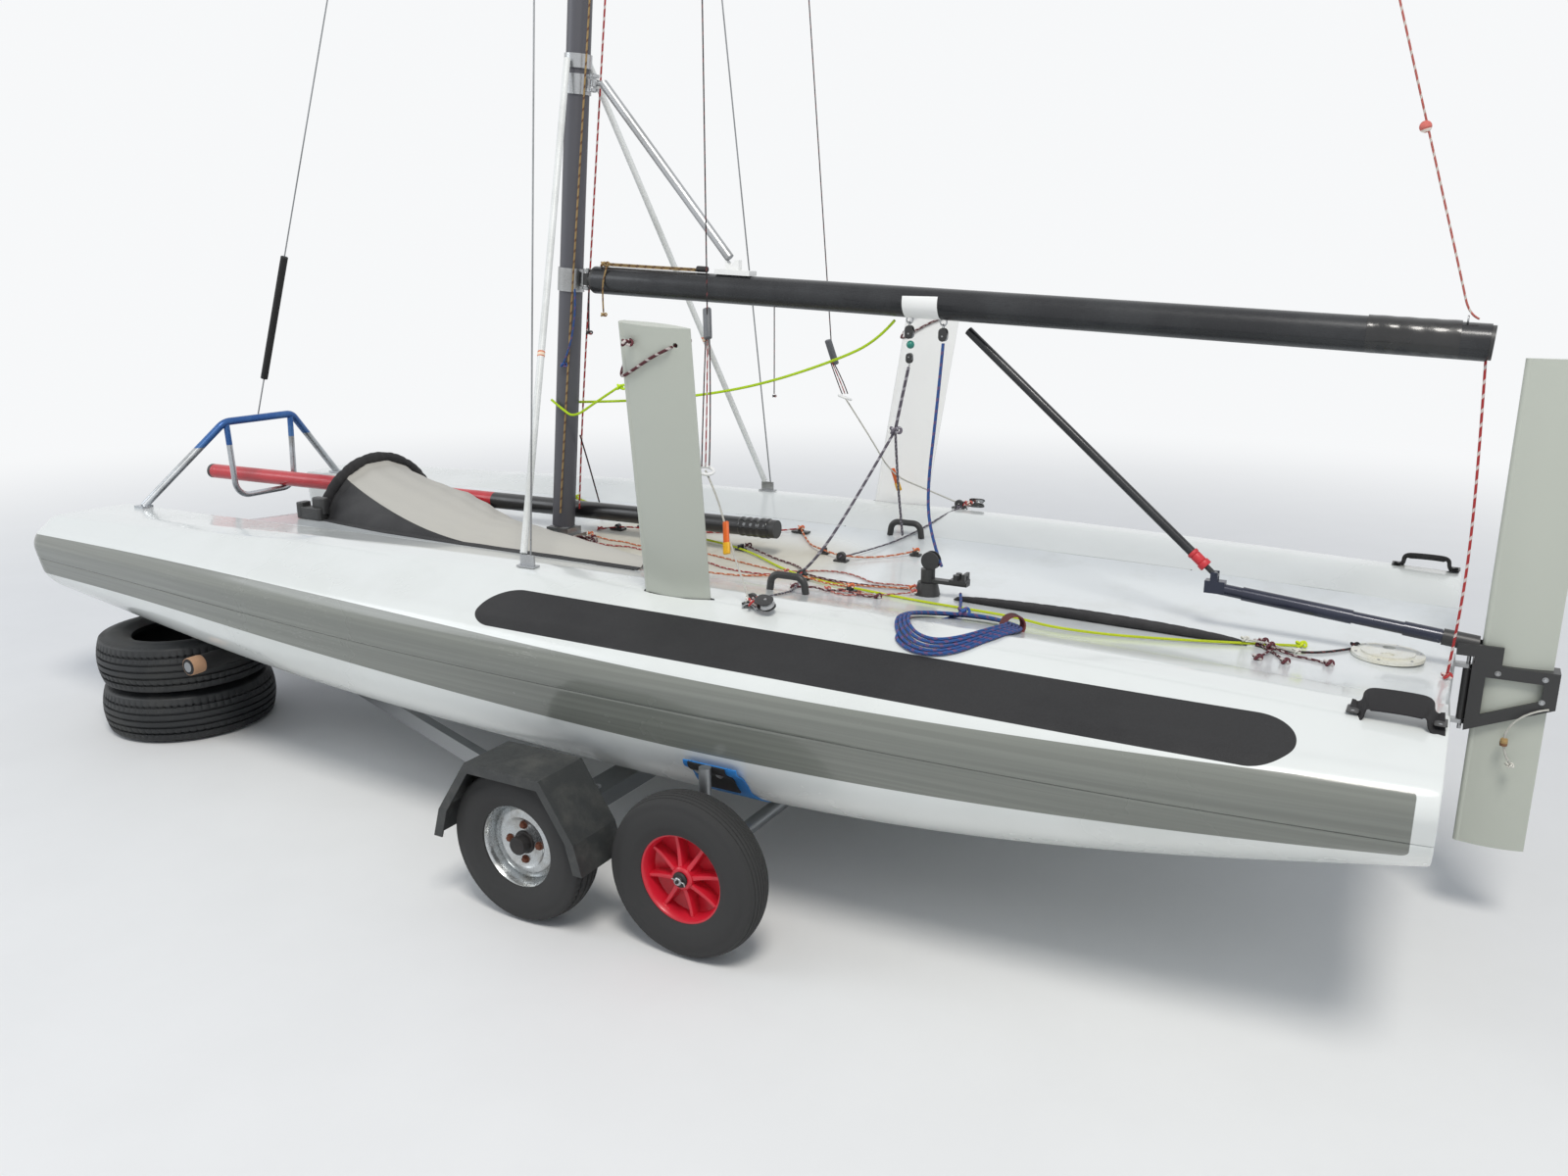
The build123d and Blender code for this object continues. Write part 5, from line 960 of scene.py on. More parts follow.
@dataclass
class Hulls:
    """The gelcoat shells of both hulls and their colours."""

    form: HullForm = field(default_factory=HullForm)
    band_start: float = -2.262
    band_end: float = 2.157
    band_corner: float = 0.014
    strip_start: float = -0.058
    strip_end: float = 1.945
    strip_middle: float = 0.024
    strip_half: float = 0.084
    white: Colour = S(224, 227, 224)
    worn_white: Colour = S(208, 211, 206)
    band_grey: Colour = S(116, 119, 112)
    strip_black: Colour = S(20, 20, 22)
    board_chord: float = 0.195
    board_thickness: float = 0.032
    well_gap: float = 0.0008

    def build(self) -> None:
        """Makes the lower and the upper shells, with the board wells in them."""
        for part, node in ((Part.LOWER, "hull_moulding"), (Part.UPPER, "deck_moulding")):
            surfaces, masks = [], {}
            for side in (-1, 1):
                surface, own = self.form.skin(side, part)
                surfaces.append(surface)
                masks = {name: np.concatenate([masks.get(name, np.zeros(0)), value.ravel()])
                         for name, value in own.items()}
            piece = make_piece(f"{part.value}_shells", surfaces, BLACK_PLASTIC, nodes=(node,), angle=50)
            for name, value in masks.items():
                layer = piece.data.attributes.new(name, "FLOAT", "POINT")
                layer.data.foreach_set("value", value.astype(np.float32))
            dress(piece, self.gelcoat())
            self.cut_wells(piece)

    def cut_wells(self, piece: bpy.types.Object) -> None:
        """Opens the leaning board wells in a shell with a foil-shaped cutter in each board's own axes."""
        outline = foil_outline(self.board_chord, self.board_thickness, self.well_gap)
        outline = outline - (self.board_chord / 2, 0.0)
        for side in (-1, 1):
            points = board_point(side, outline[None, :, 0], outline[None, :, 1], np.array([[-0.6], [0.6]]))
            cut_out(piece, Surface(points, around=True, capped=True))

    def gelcoat(self) -> bpy.types.Material:
        """White gelcoat with the grey band, the black non-slip strip and light wear.

        The band is a box with round corners in (length, height), and the strip is a capsule in (length,
        run across the shoulder); each edge is where its signed distance crosses zero.
        """
        known = bpy.data.materials.get("gelcoat")
        if known:
            return known
        material, graph, shader, place = new_material("gelcoat")
        x = graph.axes(place)["X"]
        value = {name: graph.add("ShaderNodeAttribute", {"attribute_name": name}).outputs["Fac"]
                 for name in ("band_low", "band_high", "strip_across")}
        height_in = graph.math("MINIMUM", value["band_low"], value["band_high"])
        middle, half = (self.band_start + self.band_end) / 2, (self.band_end - self.band_start) / 2
        length_in = graph.minus(half, graph.math("ABSOLUTE", graph.minus(x, middle)))
        round_x = graph.larger(graph.minus(self.band_corner, length_in), 0.0)
        round_z = graph.larger(graph.minus(self.band_corner, height_in), 0.0)
        away = graph.length(round_x, round_z)
        band = graph.step(graph.minus(self.band_corner, away), -0.0005, 0.0005)
        centre, reach = (self.strip_start + self.strip_end) / 2, (self.strip_end - self.strip_start) / 2
        past = graph.beyond(x, centre, reach - self.strip_half)
        across = graph.minus(value["strip_across"], self.strip_middle)
        away = graph.length(past, across)
        strip = graph.step(graph.minus(self.strip_half, away), -0.0005, 0.0005)
        wear = graph.group("surface_wear", Vector=place, Patch=1.7, Fine=500.0)
        scuffs = graph.group("scuffs", Vector=place, Amount=0.4).outputs["Mask"]
        white = graph.mix(graph.times(wear.outputs["Patches"], 0.45), self.white, self.worn_white)
        streaks = graph.step(graph.noise(graph.stretched(place, (0.25, 3.0, 34.0)), 2.0, 3.0), 0.35, 0.7)
        grey = graph.mix(streaks, self.band_grey, tuple(1.22 * v for v in self.band_grey))
        grey = graph.mix(scuffs, grey, S(196, 196, 190))
        black = graph.mix(graph.step(graph.noise(place, 700.0, 1.0), 0.42, 0.62), self.strip_black, S(34, 34, 36))
        white = graph.mix(graph.times(scuffs, 0.12), white, S(160, 160, 154))
        rough = graph.plus(graph.step(wear.outputs["Patches"], 0.0, 1.0, 0.2, 0.3), graph.times(strip, 0.5))
        graph.shade(shader, Base_Color=graph.mix(strip, graph.mix(band, white, grey), black), Roughness=rough,
                    Coat_Weight=graph.step(strip, 0.0, 1.0, 0.35, 0.0), Coat_Roughness=0.06)
        grit = graph.times(graph.noise(place, 900.0, 2.0), strip)
        graph.bump(shader, graph.plus(grit, graph.times(strip, 0.8)), 0.5, 0.0008)
        return material


BOARD_PIVOT = (0.454, 0.7, 0.765)
BOARD_CANT = math.radians(12.0)
BOARD_RAKE = math.radians(4.0)


def board_point(side: int, x: np.ndarray, y: np.ndarray, z: np.ndarray) -> np.ndarray:
    """Points of a board's own axes in the boat's.

    The board's x is turned about the pivot's cross axis by the rake, then y and z by the cant outboard.

    Args:
        side: -1 for port and 1 for starboard.
        x: along the chord, from the middle towards the tail.
        y: across the board's thickness.
        z: up the board from the pivot.
    Returns:
        Points with three columns, as large as x, y and z together.
    """
    x, y, z = np.broadcast_arrays(x, y, z)
    out_x = x * math.cos(BOARD_RAKE) + z * math.sin(BOARD_RAKE)
    up = z * math.cos(BOARD_RAKE) - x * math.sin(BOARD_RAKE)
    cant = side * BOARD_CANT
    out_y = y * math.cos(cant) + up * math.sin(cant)
    out_z = up * math.cos(cant) - y * math.sin(cant)
    return np.stack([BOARD_PIVOT[0] + out_x, side * BOARD_PIVOT[1] + out_y, BOARD_PIVOT[2] + out_z], axis=-1)


def foil_outline(chord: float, thickness: float, margin: float = 0.0, count: int = 24) -> np.ndarray:
    """A foil's closed outline from its leading edge at x = 0, anticlockwise.

    A round nose through the leading edge, and arcs through the widest place to a thin square tail.
    """
    half, nose, tail = thickness / 2 + margin, chord * 0.08, 0.0015 + margin
    back = chord + margin

    def arc(*corners) -> np.ndarray:
        """One arc through three corners."""
        return arc_through(*(np.array([corner]) for corner in corners), count)[0][:-1]

    return np.concatenate([
        arc((nose, half * 0.62), (-margin, 0.0), (nose, -half * 0.62)),
        arc((nose, -half * 0.62), (chord * 0.42, -half), (back, -tail)),
        np.array([[back, -tail]]),
        arc((back, tail), (chord * 0.42, half), (nose, half * 0.62))])


@dataclass
class BridgeSkin:
    """The moulded deck between the hulls, with its cream non-slip floor."""

    form: HullForm
    front_x: float = -1.554
    near_stern_x: float = 2.192
    stern_x: float = 2.196
    half: float = 0.4199
    drop: float = 0.112
    front_drop: float = 0.052
    floor_middle: float = 0.02
    floor_reach: float = 0.34
    floor_half: float = 0.1
    floor_edge: tuple = (0.02, 0.3)

    def build(self) -> None:
        """Makes the deck's closed shell: a hollow top z = valley + rise (y / half) squared, flat below."""
        x = np.concatenate([[self.front_x, self.front_x + 0.003],
                            np.linspace(self.front_x + 0.01, self.near_stern_x, 116), [self.stern_x]])
        values = self.form.values(x)
        crest, valley = values[-2], values[-1]
        edge = self.form.inner_edge(crest, valley)
        across = np.linspace(1, -1, 61)
        top = valley[:, None] + (edge - valley)[:, None] * across[None] ** 2
        ends = np.array([0.004, 0.001] + [0.0] * (len(x) - 3) + [0.003])
        top = top - ends[:, None]
        low = valley - np.interp(x, (self.front_x, -1.004), (self.front_drop, self.drop))
        under = np.repeat(low[:, None], 31, axis=1)
        y = np.concatenate([across, np.linspace(-1, 1, 31)]) * self.half
        z = np.concatenate([top, under], axis=1)
        points = np.stack([np.repeat(x[:, None], z.shape[1], axis=1), np.repeat(y[None], len(x), axis=0), z], axis=2)
        piece = make_piece("bridge_shell", [Surface(points, around=True, capped=True)], WHITE_PLASTIC,
                           nodes=("bridge_deck",), angle=50)
        dress(piece, self.floor_finish())

    def floor_finish(self) -> bpy.types.Material:
        """White gelcoat that turns to a cream non-slip floor with a fine raised grain.

        The floor is a box with round corners in (length, width), soft at its edge.
        """
        material, graph, shader, place = new_material("bridge_gelcoat")
        axes = graph.axes(place)
        along = graph.beyond(axes["X"], self.floor_middle, self.floor_reach)
        across = graph.beyond(axes["Y"], 0.0, self.floor_half)
        floor = graph.step(graph.length(along, across), *self.floor_edge, 1.0, 0.0)
        grain = graph.noise(place, 420.0, 2.0)
        dirt = graph.step(graph.noise(place, 5.0, 5.0, 0.65), 0.45, 0.7)
        white = graph.mix(graph.times(dirt, 0.4), S(222, 226, 226), S(203, 206, 202))
        cream = graph.mix(graph.times(dirt, 0.7), S(206, 202, 188), S(180, 172, 152))
        graph.shade(shader, Base_Color=graph.mix(floor, white, cream),
                    Roughness=graph.step(floor, 0.0, 1.0, 0.24, 0.62),
                    Coat_Weight=graph.step(floor, 0.0, 1.0, 0.35, 0.0), Coat_Roughness=0.06)
        graph.bump(shader, graph.times(grain, floor), 0.35, 0.0008)
        return material


# Wheels and tyres

@dataclass
class Tyre:
    """A tyre round an upright or a level axle: bead, bulging wall, shoulder and a grooved tread."""

    width: float
    outer: float
    bead: float
    crown: float
    grooves: int
    groove_width: float
    groove_depth: float
    sipes: int = 0
    open_inside: bool = False
    steps: int = 120

    def tread_radius(self, place: np.ndarray) -> np.ndarray:
        """The tread's radius at a share -1 to 1 of its half width: an arc that falls by crown * 0.4."""
        return self.outer - self.crown * 0.4 * place**2

    def profile(self) -> np.ndarray:
        """Closed (radius, place) rows from one bead over the tread to the other, then back inside."""
        half = self.width / 2
        shoulder, flat = self.outer - self.crown, 0.8 * half
        down = np.linspace(0, 1, 10)
        wall_r = self.bead + (shoulder - self.bead) * down
        wall_z = half * (0.66 + 0.36 * np.sin(np.pi * (0.12 + 0.62 * down)))
        wall_z = wall_z / wall_z.max() * half * 0.998
        ring = 0.0012 * np.exp(-(((down - 0.35) / 0.07) ** 2)) + 0.0012 * np.exp(-(((down - 0.75) / 0.05) ** 2))
        turn = np.linspace(0, np.pi / 2, 6)[1:]
        edge_r = shoulder + (self.tread_radius(1.0) - shoulder) * np.sin(turn)
        edge_z = wall_z[-1] + (flat - wall_z[-1]) * (1 - np.cos(turn))
        places = (np.arange(self.grooves) - (self.grooves - 1) / 2) / max(self.grooves, 1) * 2 * 0.86
        w, rows = self.groove_width / 2 / flat, []
        for place in places:
            for offset, deep in ((-w, 0), (-w * 0.75, 1), (w * 0.75, 1), (w, 0)):
                at = place + offset
                rows.append((self.tread_radius(at) - deep * self.groove_depth, at * flat))
        tread = np.array(rows[::-1]) if rows else np.array([[self.outer, 0.0]])
        side = np.concatenate([np.stack([wall_r, wall_z + ring], 1), np.stack([edge_r, edge_z], 1)])
        whole = np.concatenate([side, tread, side[::-1] * (1, -1)])
        if self.open_inside:
            inner = np.array([[self.bead + 0.008, -half * 0.55], [shoulder - 0.008, -half * 0.8],
                              [self.outer - self.crown * 0.5 - 0.014, -half * 0.6],
                              [self.outer - self.crown * 0.5 - 0.014, half * 0.6],
                              [shoulder - 0.008, half * 0.8], [self.bead + 0.008, half * 0.55]])
            whole = np.concatenate([whole, inner])
        return whole

    def surface(self, centre: Point, axis: Point = (0, 1, 0)) -> Surface:
        """The tyre about an axis through its centre, with shallow cross cuts in its outer ribs."""
        ring = revolve(self.profile(), centre, axis, self.steps)
        if self.sipes:
            unit_axis = unit(np.asarray(axis, float))
            away = ring.points - np.asarray(centre, float)
            along = (away @ unit_axis)[..., None] * unit_axis
            spoke = away - along
            radius = np.linalg.norm(spoke, axis=2)
            turn = np.linspace(0, 2 * np.pi * self.sipes, self.steps, endpoint=False)[None]
            place = np.abs(away @ unit_axis) / (self.width / 2)
            cut = (np.cos(turn + place * 3.0) > 0.86) * (radius > self.outer - self.crown * 0.8) * (place > 0.42)
            ring.points = ring.points - (cut * self.groove_depth * 0.6 / np.maximum(radius, 1e-9))[..., None] * spoke
        return ring


def bolt(centre: Point, axis: Point, size: float, finish: Finish) -> list:
    """A hexagon nut on its washer, pointing along an axis.

    Rows are a circle for the washer, then a six-sided outline drawn in at its top.
    """
    washer = revolve([(size * 0.72, 0.0), (size * 0.72, size * 0.12)], centre, axis, 20, False, finish)
    head = revolve([(size * 0.55, 0.0), (size * 0.55, size * 0.5), (size * 0.46, size * 0.6)], centre, axis, 6,
                   False, finish)
    return [washer, head]


@dataclass
class RollingWheels:
    """The launching trolley's and the road trailer's wheels, on both sides."""

    trolley_x: float = 0.696
    trolley_y: float = 1.04
    trolley_tyre: Tyre = field(default_factory=lambda: Tyre(0.1, 0.2028, 0.1103, 0.026, 7, 0.0026, 0.0016,
                                                           steps=144))
    trailer_x: float = 0.251
    trailer_y: float = 1.09
    trailer_tyre: Tyre = field(default_factory=lambda: Tyre(0.1, 0.1998, 0.1068, 0.022, 4, 0.0055, 0.005,
                                                            sipes=60, steps=240))

    def build(self) -> None:
        """Makes both pairs."""
        for side, name in SIDES:
            centre = (self.trolley_x, side * self.trolley_y, 0.203)
            make_piece(f"trolley_tyre_skin_{name}", [self.trolley_tyre.surface(centre)], TYRE,
                       f"trolley_wheel_{name}", (f"trolley_tyre_{name}",), 30)
            self.red_rim(side, name, centre)
            centre = (self.trailer_x, side * self.trailer_y, 0.2)
            make_piece(f"trailer_tyre_skin_{name}", [self.trailer_tyre.surface(centre)], TYRE,
                       f"trailer_wheel_{name}", (f"trailer_tyre_{name}",), 30)
            self.steel_rim(side, name, centre)

    def red_rim(self, side: int, name: str, centre: Point) -> None:
        """A moulded rim: a rolled flange, a dished web with eight ribs, a hub and a black cap.

        The web's height falls from the hub by a smooth step and each rib follows it, raised.
        """
        axis = (0.0, side, 0.0)
        barrel = revolve([(0.1098, -0.03), (0.1098, 0.024), (0.1135, 0.03), (0.115, 0.0335), (0.1125, 0.036),
                          (0.106, 0.034), (0.101, 0.026), (0.099, 0.012), (0.099, -0.02), (0.101, -0.03),
                          (0.106, -0.034), (0.1125, -0.036), (0.115, -0.0335), (0.1135, -0.03)], centre, axis, 96)
        web = revolve([(0.0995, -0.006), (0.09, -0.01), (0.06, -0.012), (0.034, -0.01), (0.03, 0.01),
                       (0.0285, 0.03), (0.025, 0.0335), (0.012, 0.0345), (0.012, -0.034), (0.026, -0.034),
                       (0.028, -0.024), (0.06, -0.019), (0.0995, -0.013)], centre, axis, 96)
        parts = [barrel, web]
        for index in range(8):
            angle = index * math.pi / 4 + 0.2
            spoke = np.array([math.cos(angle), 0.0, math.sin(angle)])
            far = np.linspace(0.024, 0.1005, 9)
            lift = 0.0155 + 0.012 * np.linspace(1, 0, 9) ** 1.4 + 0.005 * np.linspace(0, 1, 9) ** 3
            path = np.asarray(centre) + far[:, None] * spoke + ((lift[:, None] - 0.014) * 0.5) * np.array(axis)
            width = 0.0085 + 0.003 * np.linspace(1, 0, 9)
            outline = np.stack([rounded(w, h + 0.014, 0.0016, 3) for w, h in zip(width, lift)])
            across = np.cross(spoke, axis)
            parts.append(strip(path, across, outline))
        make_piece(f"red_rim_{name}", parts, RIM_RED, f"trolley_wheel_{name}", (f"trolley_rim_{name}",), 35)
        place = np.asarray(centre) + np.array(axis) * 0.0345
        hub = [revolve([(0.019, 0.0), (0.019, 0.004), (0.0165, 0.0065), (0.0105, 0.007)], place, axis, 32, False),
               revolve([(0.01, 0.006), (0.01, 0.013), (0.0085, 0.0145)], place, axis, 24, False, STEEL),
               revolve([(0.0045, 0.014), (0.004, 0.018)], place, axis, 16, False, HUB_BLACK)]
        pin = np.asarray(place) + np.array(axis) * 0.0115
        bend = [pin + (-0.017, 0, 0.004), pin + (-0.004, 0, 0.002), pin + (0.01, 0, 0.0), pin + (0.017, 0, -0.003),
                pin + (0.02, side * 0.002, -0.008)]
        hub.append(tube(through(bend, 18), 0.0013, 8, finish=STEEL))
        make_piece(f"trolley_hub_{name}", hub, HUB_BLACK, f"trolley_wheel_{name}", (), 35)

    def steel_rim(self, side: int, name: str, centre: Point) -> None:
        """A pressed steel rim: rolled edges, a stepped barrel, a dish, rusty nuts and a black cap."""
        axis = (0.0, side, 0.0)
        barrel = revolve([(0.1062, -0.024), (0.103, 0.0), (0.1062, 0.022), (0.109, 0.028), (0.1112, 0.032),
                          (0.1105, 0.035), (0.108, 0.0345), (0.1045, 0.03), (0.1015, 0.022), (0.0985, 0.01),
                          (0.096, -0.004), (0.0985, -0.018), (0.1045, -0.03), (0.108, -0.0345),
                          (0.1105, -0.035), (0.1112, -0.032), (0.109, -0.028)], centre, axis, 96)
        dish = revolve([(0.0985, 0.0005), (0.09, 0.008), (0.08, 0.012), (0.066, 0.0125), (0.06, 0.0085),
                        (0.052, 0.006), (0.03, 0.006), (0.03, 0.001), (0.052, 0.001), (0.062, 0.0035),
                        (0.068, 0.0075), (0.08, 0.007), (0.088, 0.0035), (0.0965, -0.004)], centre, axis, 96)
        parts = [barrel, dish]
        for index in range(4):
            angle = index * math.pi / 2
            spoke = np.array([math.cos(angle), 0.0, math.sin(angle)])
            place = np.asarray(centre) + 0.046 * spoke + 0.0062 * np.array(axis)
            parts += bolt(tuple(place), axis, 0.015, RUST)
        hub = [revolve([(0.03, -0.02), (0.03, 0.008), (0.0285, 0.011), (0.026, 0.012)], centre, axis, 40,
                       False, HUB_BLACK),
               revolve([(0.0238, 0.01), (0.0238, 0.033), (0.0225, 0.0362), (0.015, 0.038)], centre, axis, 40,
                       False, HUB_BLACK)]
        make_piece(f"steel_rim_{name}", parts + hub, RIM_SILVER, f"trailer_wheel_{name}",
                   (f"trailer_rim_{name}",), 35)


@dataclass
class StackTyres:
    """Two flat car tyres on each other under each bow."""

    x: float = -1.719
    y: float = 0.6
    level: float = 0.1732
    tyre: Tyre = field(default_factory=lambda: Tyre(0.1728, 0.28, 0.165, 0.03, 5, 0.0085, 0.007, sipes=72,
                                                    open_inside=True, steps=288))

    def build(self) -> None:
        """Makes all four as one piece, each turned a little differently."""
        surfaces = []
        for side in (-1, 1):
            for level in (0, 1):
                centre = (self.x, side * self.y, self.level * (level + 0.5))
                surface = self.tyre.surface(centre, (0, 0, 1))
                surface.points = turned(surface.points, centre, (0, 0, 1), 0.3 * side + 0.5 * level)
                surfaces.append(surface)
        make_piece("stack_tyre_skins", surfaces, OLD_TYRE, "hull", ("bow_tyres",), 30)


# Cloth, webbing and pads

@dataclass
class ChuteCover:
    """The cloth cover behind the sail chute's mouth, its padded hoop, its edge and the buckle at its foot.

    Columns of stations: place along the boat, port and starboard edges, and rise in the middle.
    """

    form: HullForm
    stations: tuple = ((-1.352, -0.262, 0.262, 0.182), (-1.325, -0.256, 0.254, 0.163), (-0.954, -0.33, 0.15, 0.118),
                       (-0.594, -0.366, -0.07, 0.062), (0.116, -0.4, -0.3, 0.024))
    wall: float = 0.0016
    start: float = -1.3515
    end: float = 0.1155
    pole: tuple = ((-2.394, 0.08, 0.741), (0.306, 0.08, 0.771))
    slot_radius: float = 0.0375
    hoop_x: float = -1.354
    hoop_half: float = 0.268
    hoop_top: float = 0.885
    hoop_radius: float = 0.0185

    def edges(self, x: np.ndarray) -> tuple:
        """Port edge, starboard edge, base height and rise at places, straight between the stations."""
        table = np.array(self.stations)
        port, starboard, rise = (np.interp(x, table[:, 0], table[:, k]) for k in (1, 2, 3))
        base = np.array([max(self.form.deck_height(a, b), self.form.deck_height(a, c))
                         for a, b, c in zip(x, port, starboard)])
        return port, starboard, base + 0.0008, rise

    def sheet_points(self, x: np.ndarray, count: int, inset: float) -> np.ndarray:
        """Rows of points over the cloth.

        Each row is the arc through both edges and the crown; soft creases that fan out from the hoop and
        cross folds near the mast lower it by a few millimetres, fading to nothing at the edges.
        """
        port, starboard, base, rise = self.edges(x)
        port, starboard, rise = port + inset, starboard - inset, rise - inset
        arcs = arc_through(np.stack([port, base], 1), np.stack([(port + starboard) / 2, base + rise], 1),
                           np.stack([starboard, base], 1), count)
        v = np.linspace(0, 1, count)[None]
        u = ((x - self.start) / (self.end - self.start))[:, None]
        fan = np.sin(2 * np.pi * (6.5 * v + 0.7 * np.sin(3.1 * u))) * 0.0022 * (1 - u) ** 1.5
        fold = np.sin(2 * np.pi * (9.0 * u + 1.4 * v + 0.3 * np.sin(9 * v))) * 0.0016 * np.sin(np.pi * u) ** 0.7
        sag = 0.01 * np.sin(np.pi * np.clip(u * 2.6, 0, 1)) * np.sin(np.pi * v)
        fade = np.clip(np.minimum(v, 1 - v) * 9, 0, 1)
        lower = (fan + fold + sag + 0.004) * fade
        points = np.concatenate([np.repeat(x[:, None, None], count, 1), arcs], axis=2)
        middle = np.stack([(port + starboard) / 2, base - 0.05], 1)[:, None]
        away = points[..., 1:] - middle
        points[..., 1:] -= away / np.linalg.norm(away, axis=2, keepdims=True) * lower[..., None]
        points[..., 2] = np.maximum(points[..., 2], base[:, None])
        return points

    def build(self) -> None:
        """Makes the cover with the pole's slot in it, then its hoop, edge and buckle."""
        x = np.linspace(self.start, self.end, 160)
        outer, inner = self.sheet_points(x, 110, 0.0), self.sheet_points(x, 110, self.wall)
        cloth = Surface(np.concatenate([outer, inner[:, ::-1]], axis=1), around=True, capped=True)
        piece = make_piece("chute_cover_cloth", [cloth], COVER_CLOTH, nodes=("chute_cover",), angle=60)
        cut_out(piece, rod(*self.pole, self.slot_radius, 40))
        self.hoop()
        self.border(x)
        self.gusset()

    def hoop(self) -> None:
        """A padded sleeve on the chute's hoop: a tube whose radius swells between its stitched rings."""
        share = np.linspace(0, 1, 160)
        foot = self.form.deck_height(self.hoop_x, self.hoop_half) + 0.001
        arc = arc_through(np.array([[-self.hoop_half, foot]]), np.array([[0.0, self.hoop_top]]),
                          np.array([[self.hoop_half, foot]]), 160)[0]
        path = np.stack([np.full(160, self.hoop_x), arc[:, 0], arc[:, 1]], axis=1)
        swell = self.hoop_radius * (1 - 0.1 * np.abs(np.cos(np.pi * 7 * share)) ** 14
                                    + 0.03 * np.sin(2 * np.pi * 23 * share + 1.0))
        sleeve = tube(path, swell, 28, (1, 0, 0))
        piece = make_piece("chute_hoop_sleeve", [sleeve], WEBBING_BLACK, nodes=("chute_hoop",), angle=60)
        buckle = [slab((self.hoop_x - 0.03, -self.hoop_half - 0.01, foot + 0.024), (0.118, 0.04, 0.044), 0.01),
                  slab((self.hoop_x + 0.004, -self.hoop_half + 0.002, foot + 0.05), (0.06, 0.034, 0.06), 0.012),
                  slab((self.hoop_x - 0.072, -self.hoop_half - 0.008, foot + 0.034), (0.03, 0.046, 0.052), 0.008)]
        make_piece("hoop_buckle", buckle, BLACK_PLASTIC)

    def gusset(self) -> None:
        """Black cloth over the cover's foot on the port side, from the hoop aft.

        Its rows lie on the cover's own skin, 1 mm proud, over a share of the girth that shrinks aft.
        """
        x = np.linspace(-1.345, -0.6, 70)
        skin = self.sheet_points(x, 111, -0.0022)
        reach = 0.245 * np.clip(1 - (x - x[0]) / 0.8, 0, 1) ** 1.3 + 0.02
        place = reach[:, None] * np.linspace(0, 1, 22)[None] * 110
        low = np.minimum(place.astype(int), 109)
        share = (place - low)[..., None]
        rows = np.arange(len(x))[:, None]
        outer = skin[rows, low] * (1 - share) + skin[rows, low + 1] * share
        away = outer - np.stack([x, np.zeros_like(x), np.full_like(x, 0.66)], axis=1)[:, None]
        away[..., 0] = 0.0
        inner = outer - unit(away) * 0.0022
        shell = Surface(np.concatenate([outer, inner[:, ::-1]], axis=1), around=True, capped=True)
        make_piece("cover_gusset", [shell], COVER_EDGE, angle=60)

    def border(self, x: np.ndarray) -> None:
        """A black webbing border along the cover's port edge and a bead of piping beside it."""
        port, _, base, _ = self.edges(x)
        path = np.stack([x, port - 0.004, base + 0.0025], axis=1)
        band = strip(path, np.array([0.0, 1.0, 0.14]), rounded(0.03, 0.0036, 0.0016, 3))
        piping = tube(path + (0, -0.019, 0.001), 0.0038, 10)
        make_piece("cover_border", [band, piping], COVER_EDGE)


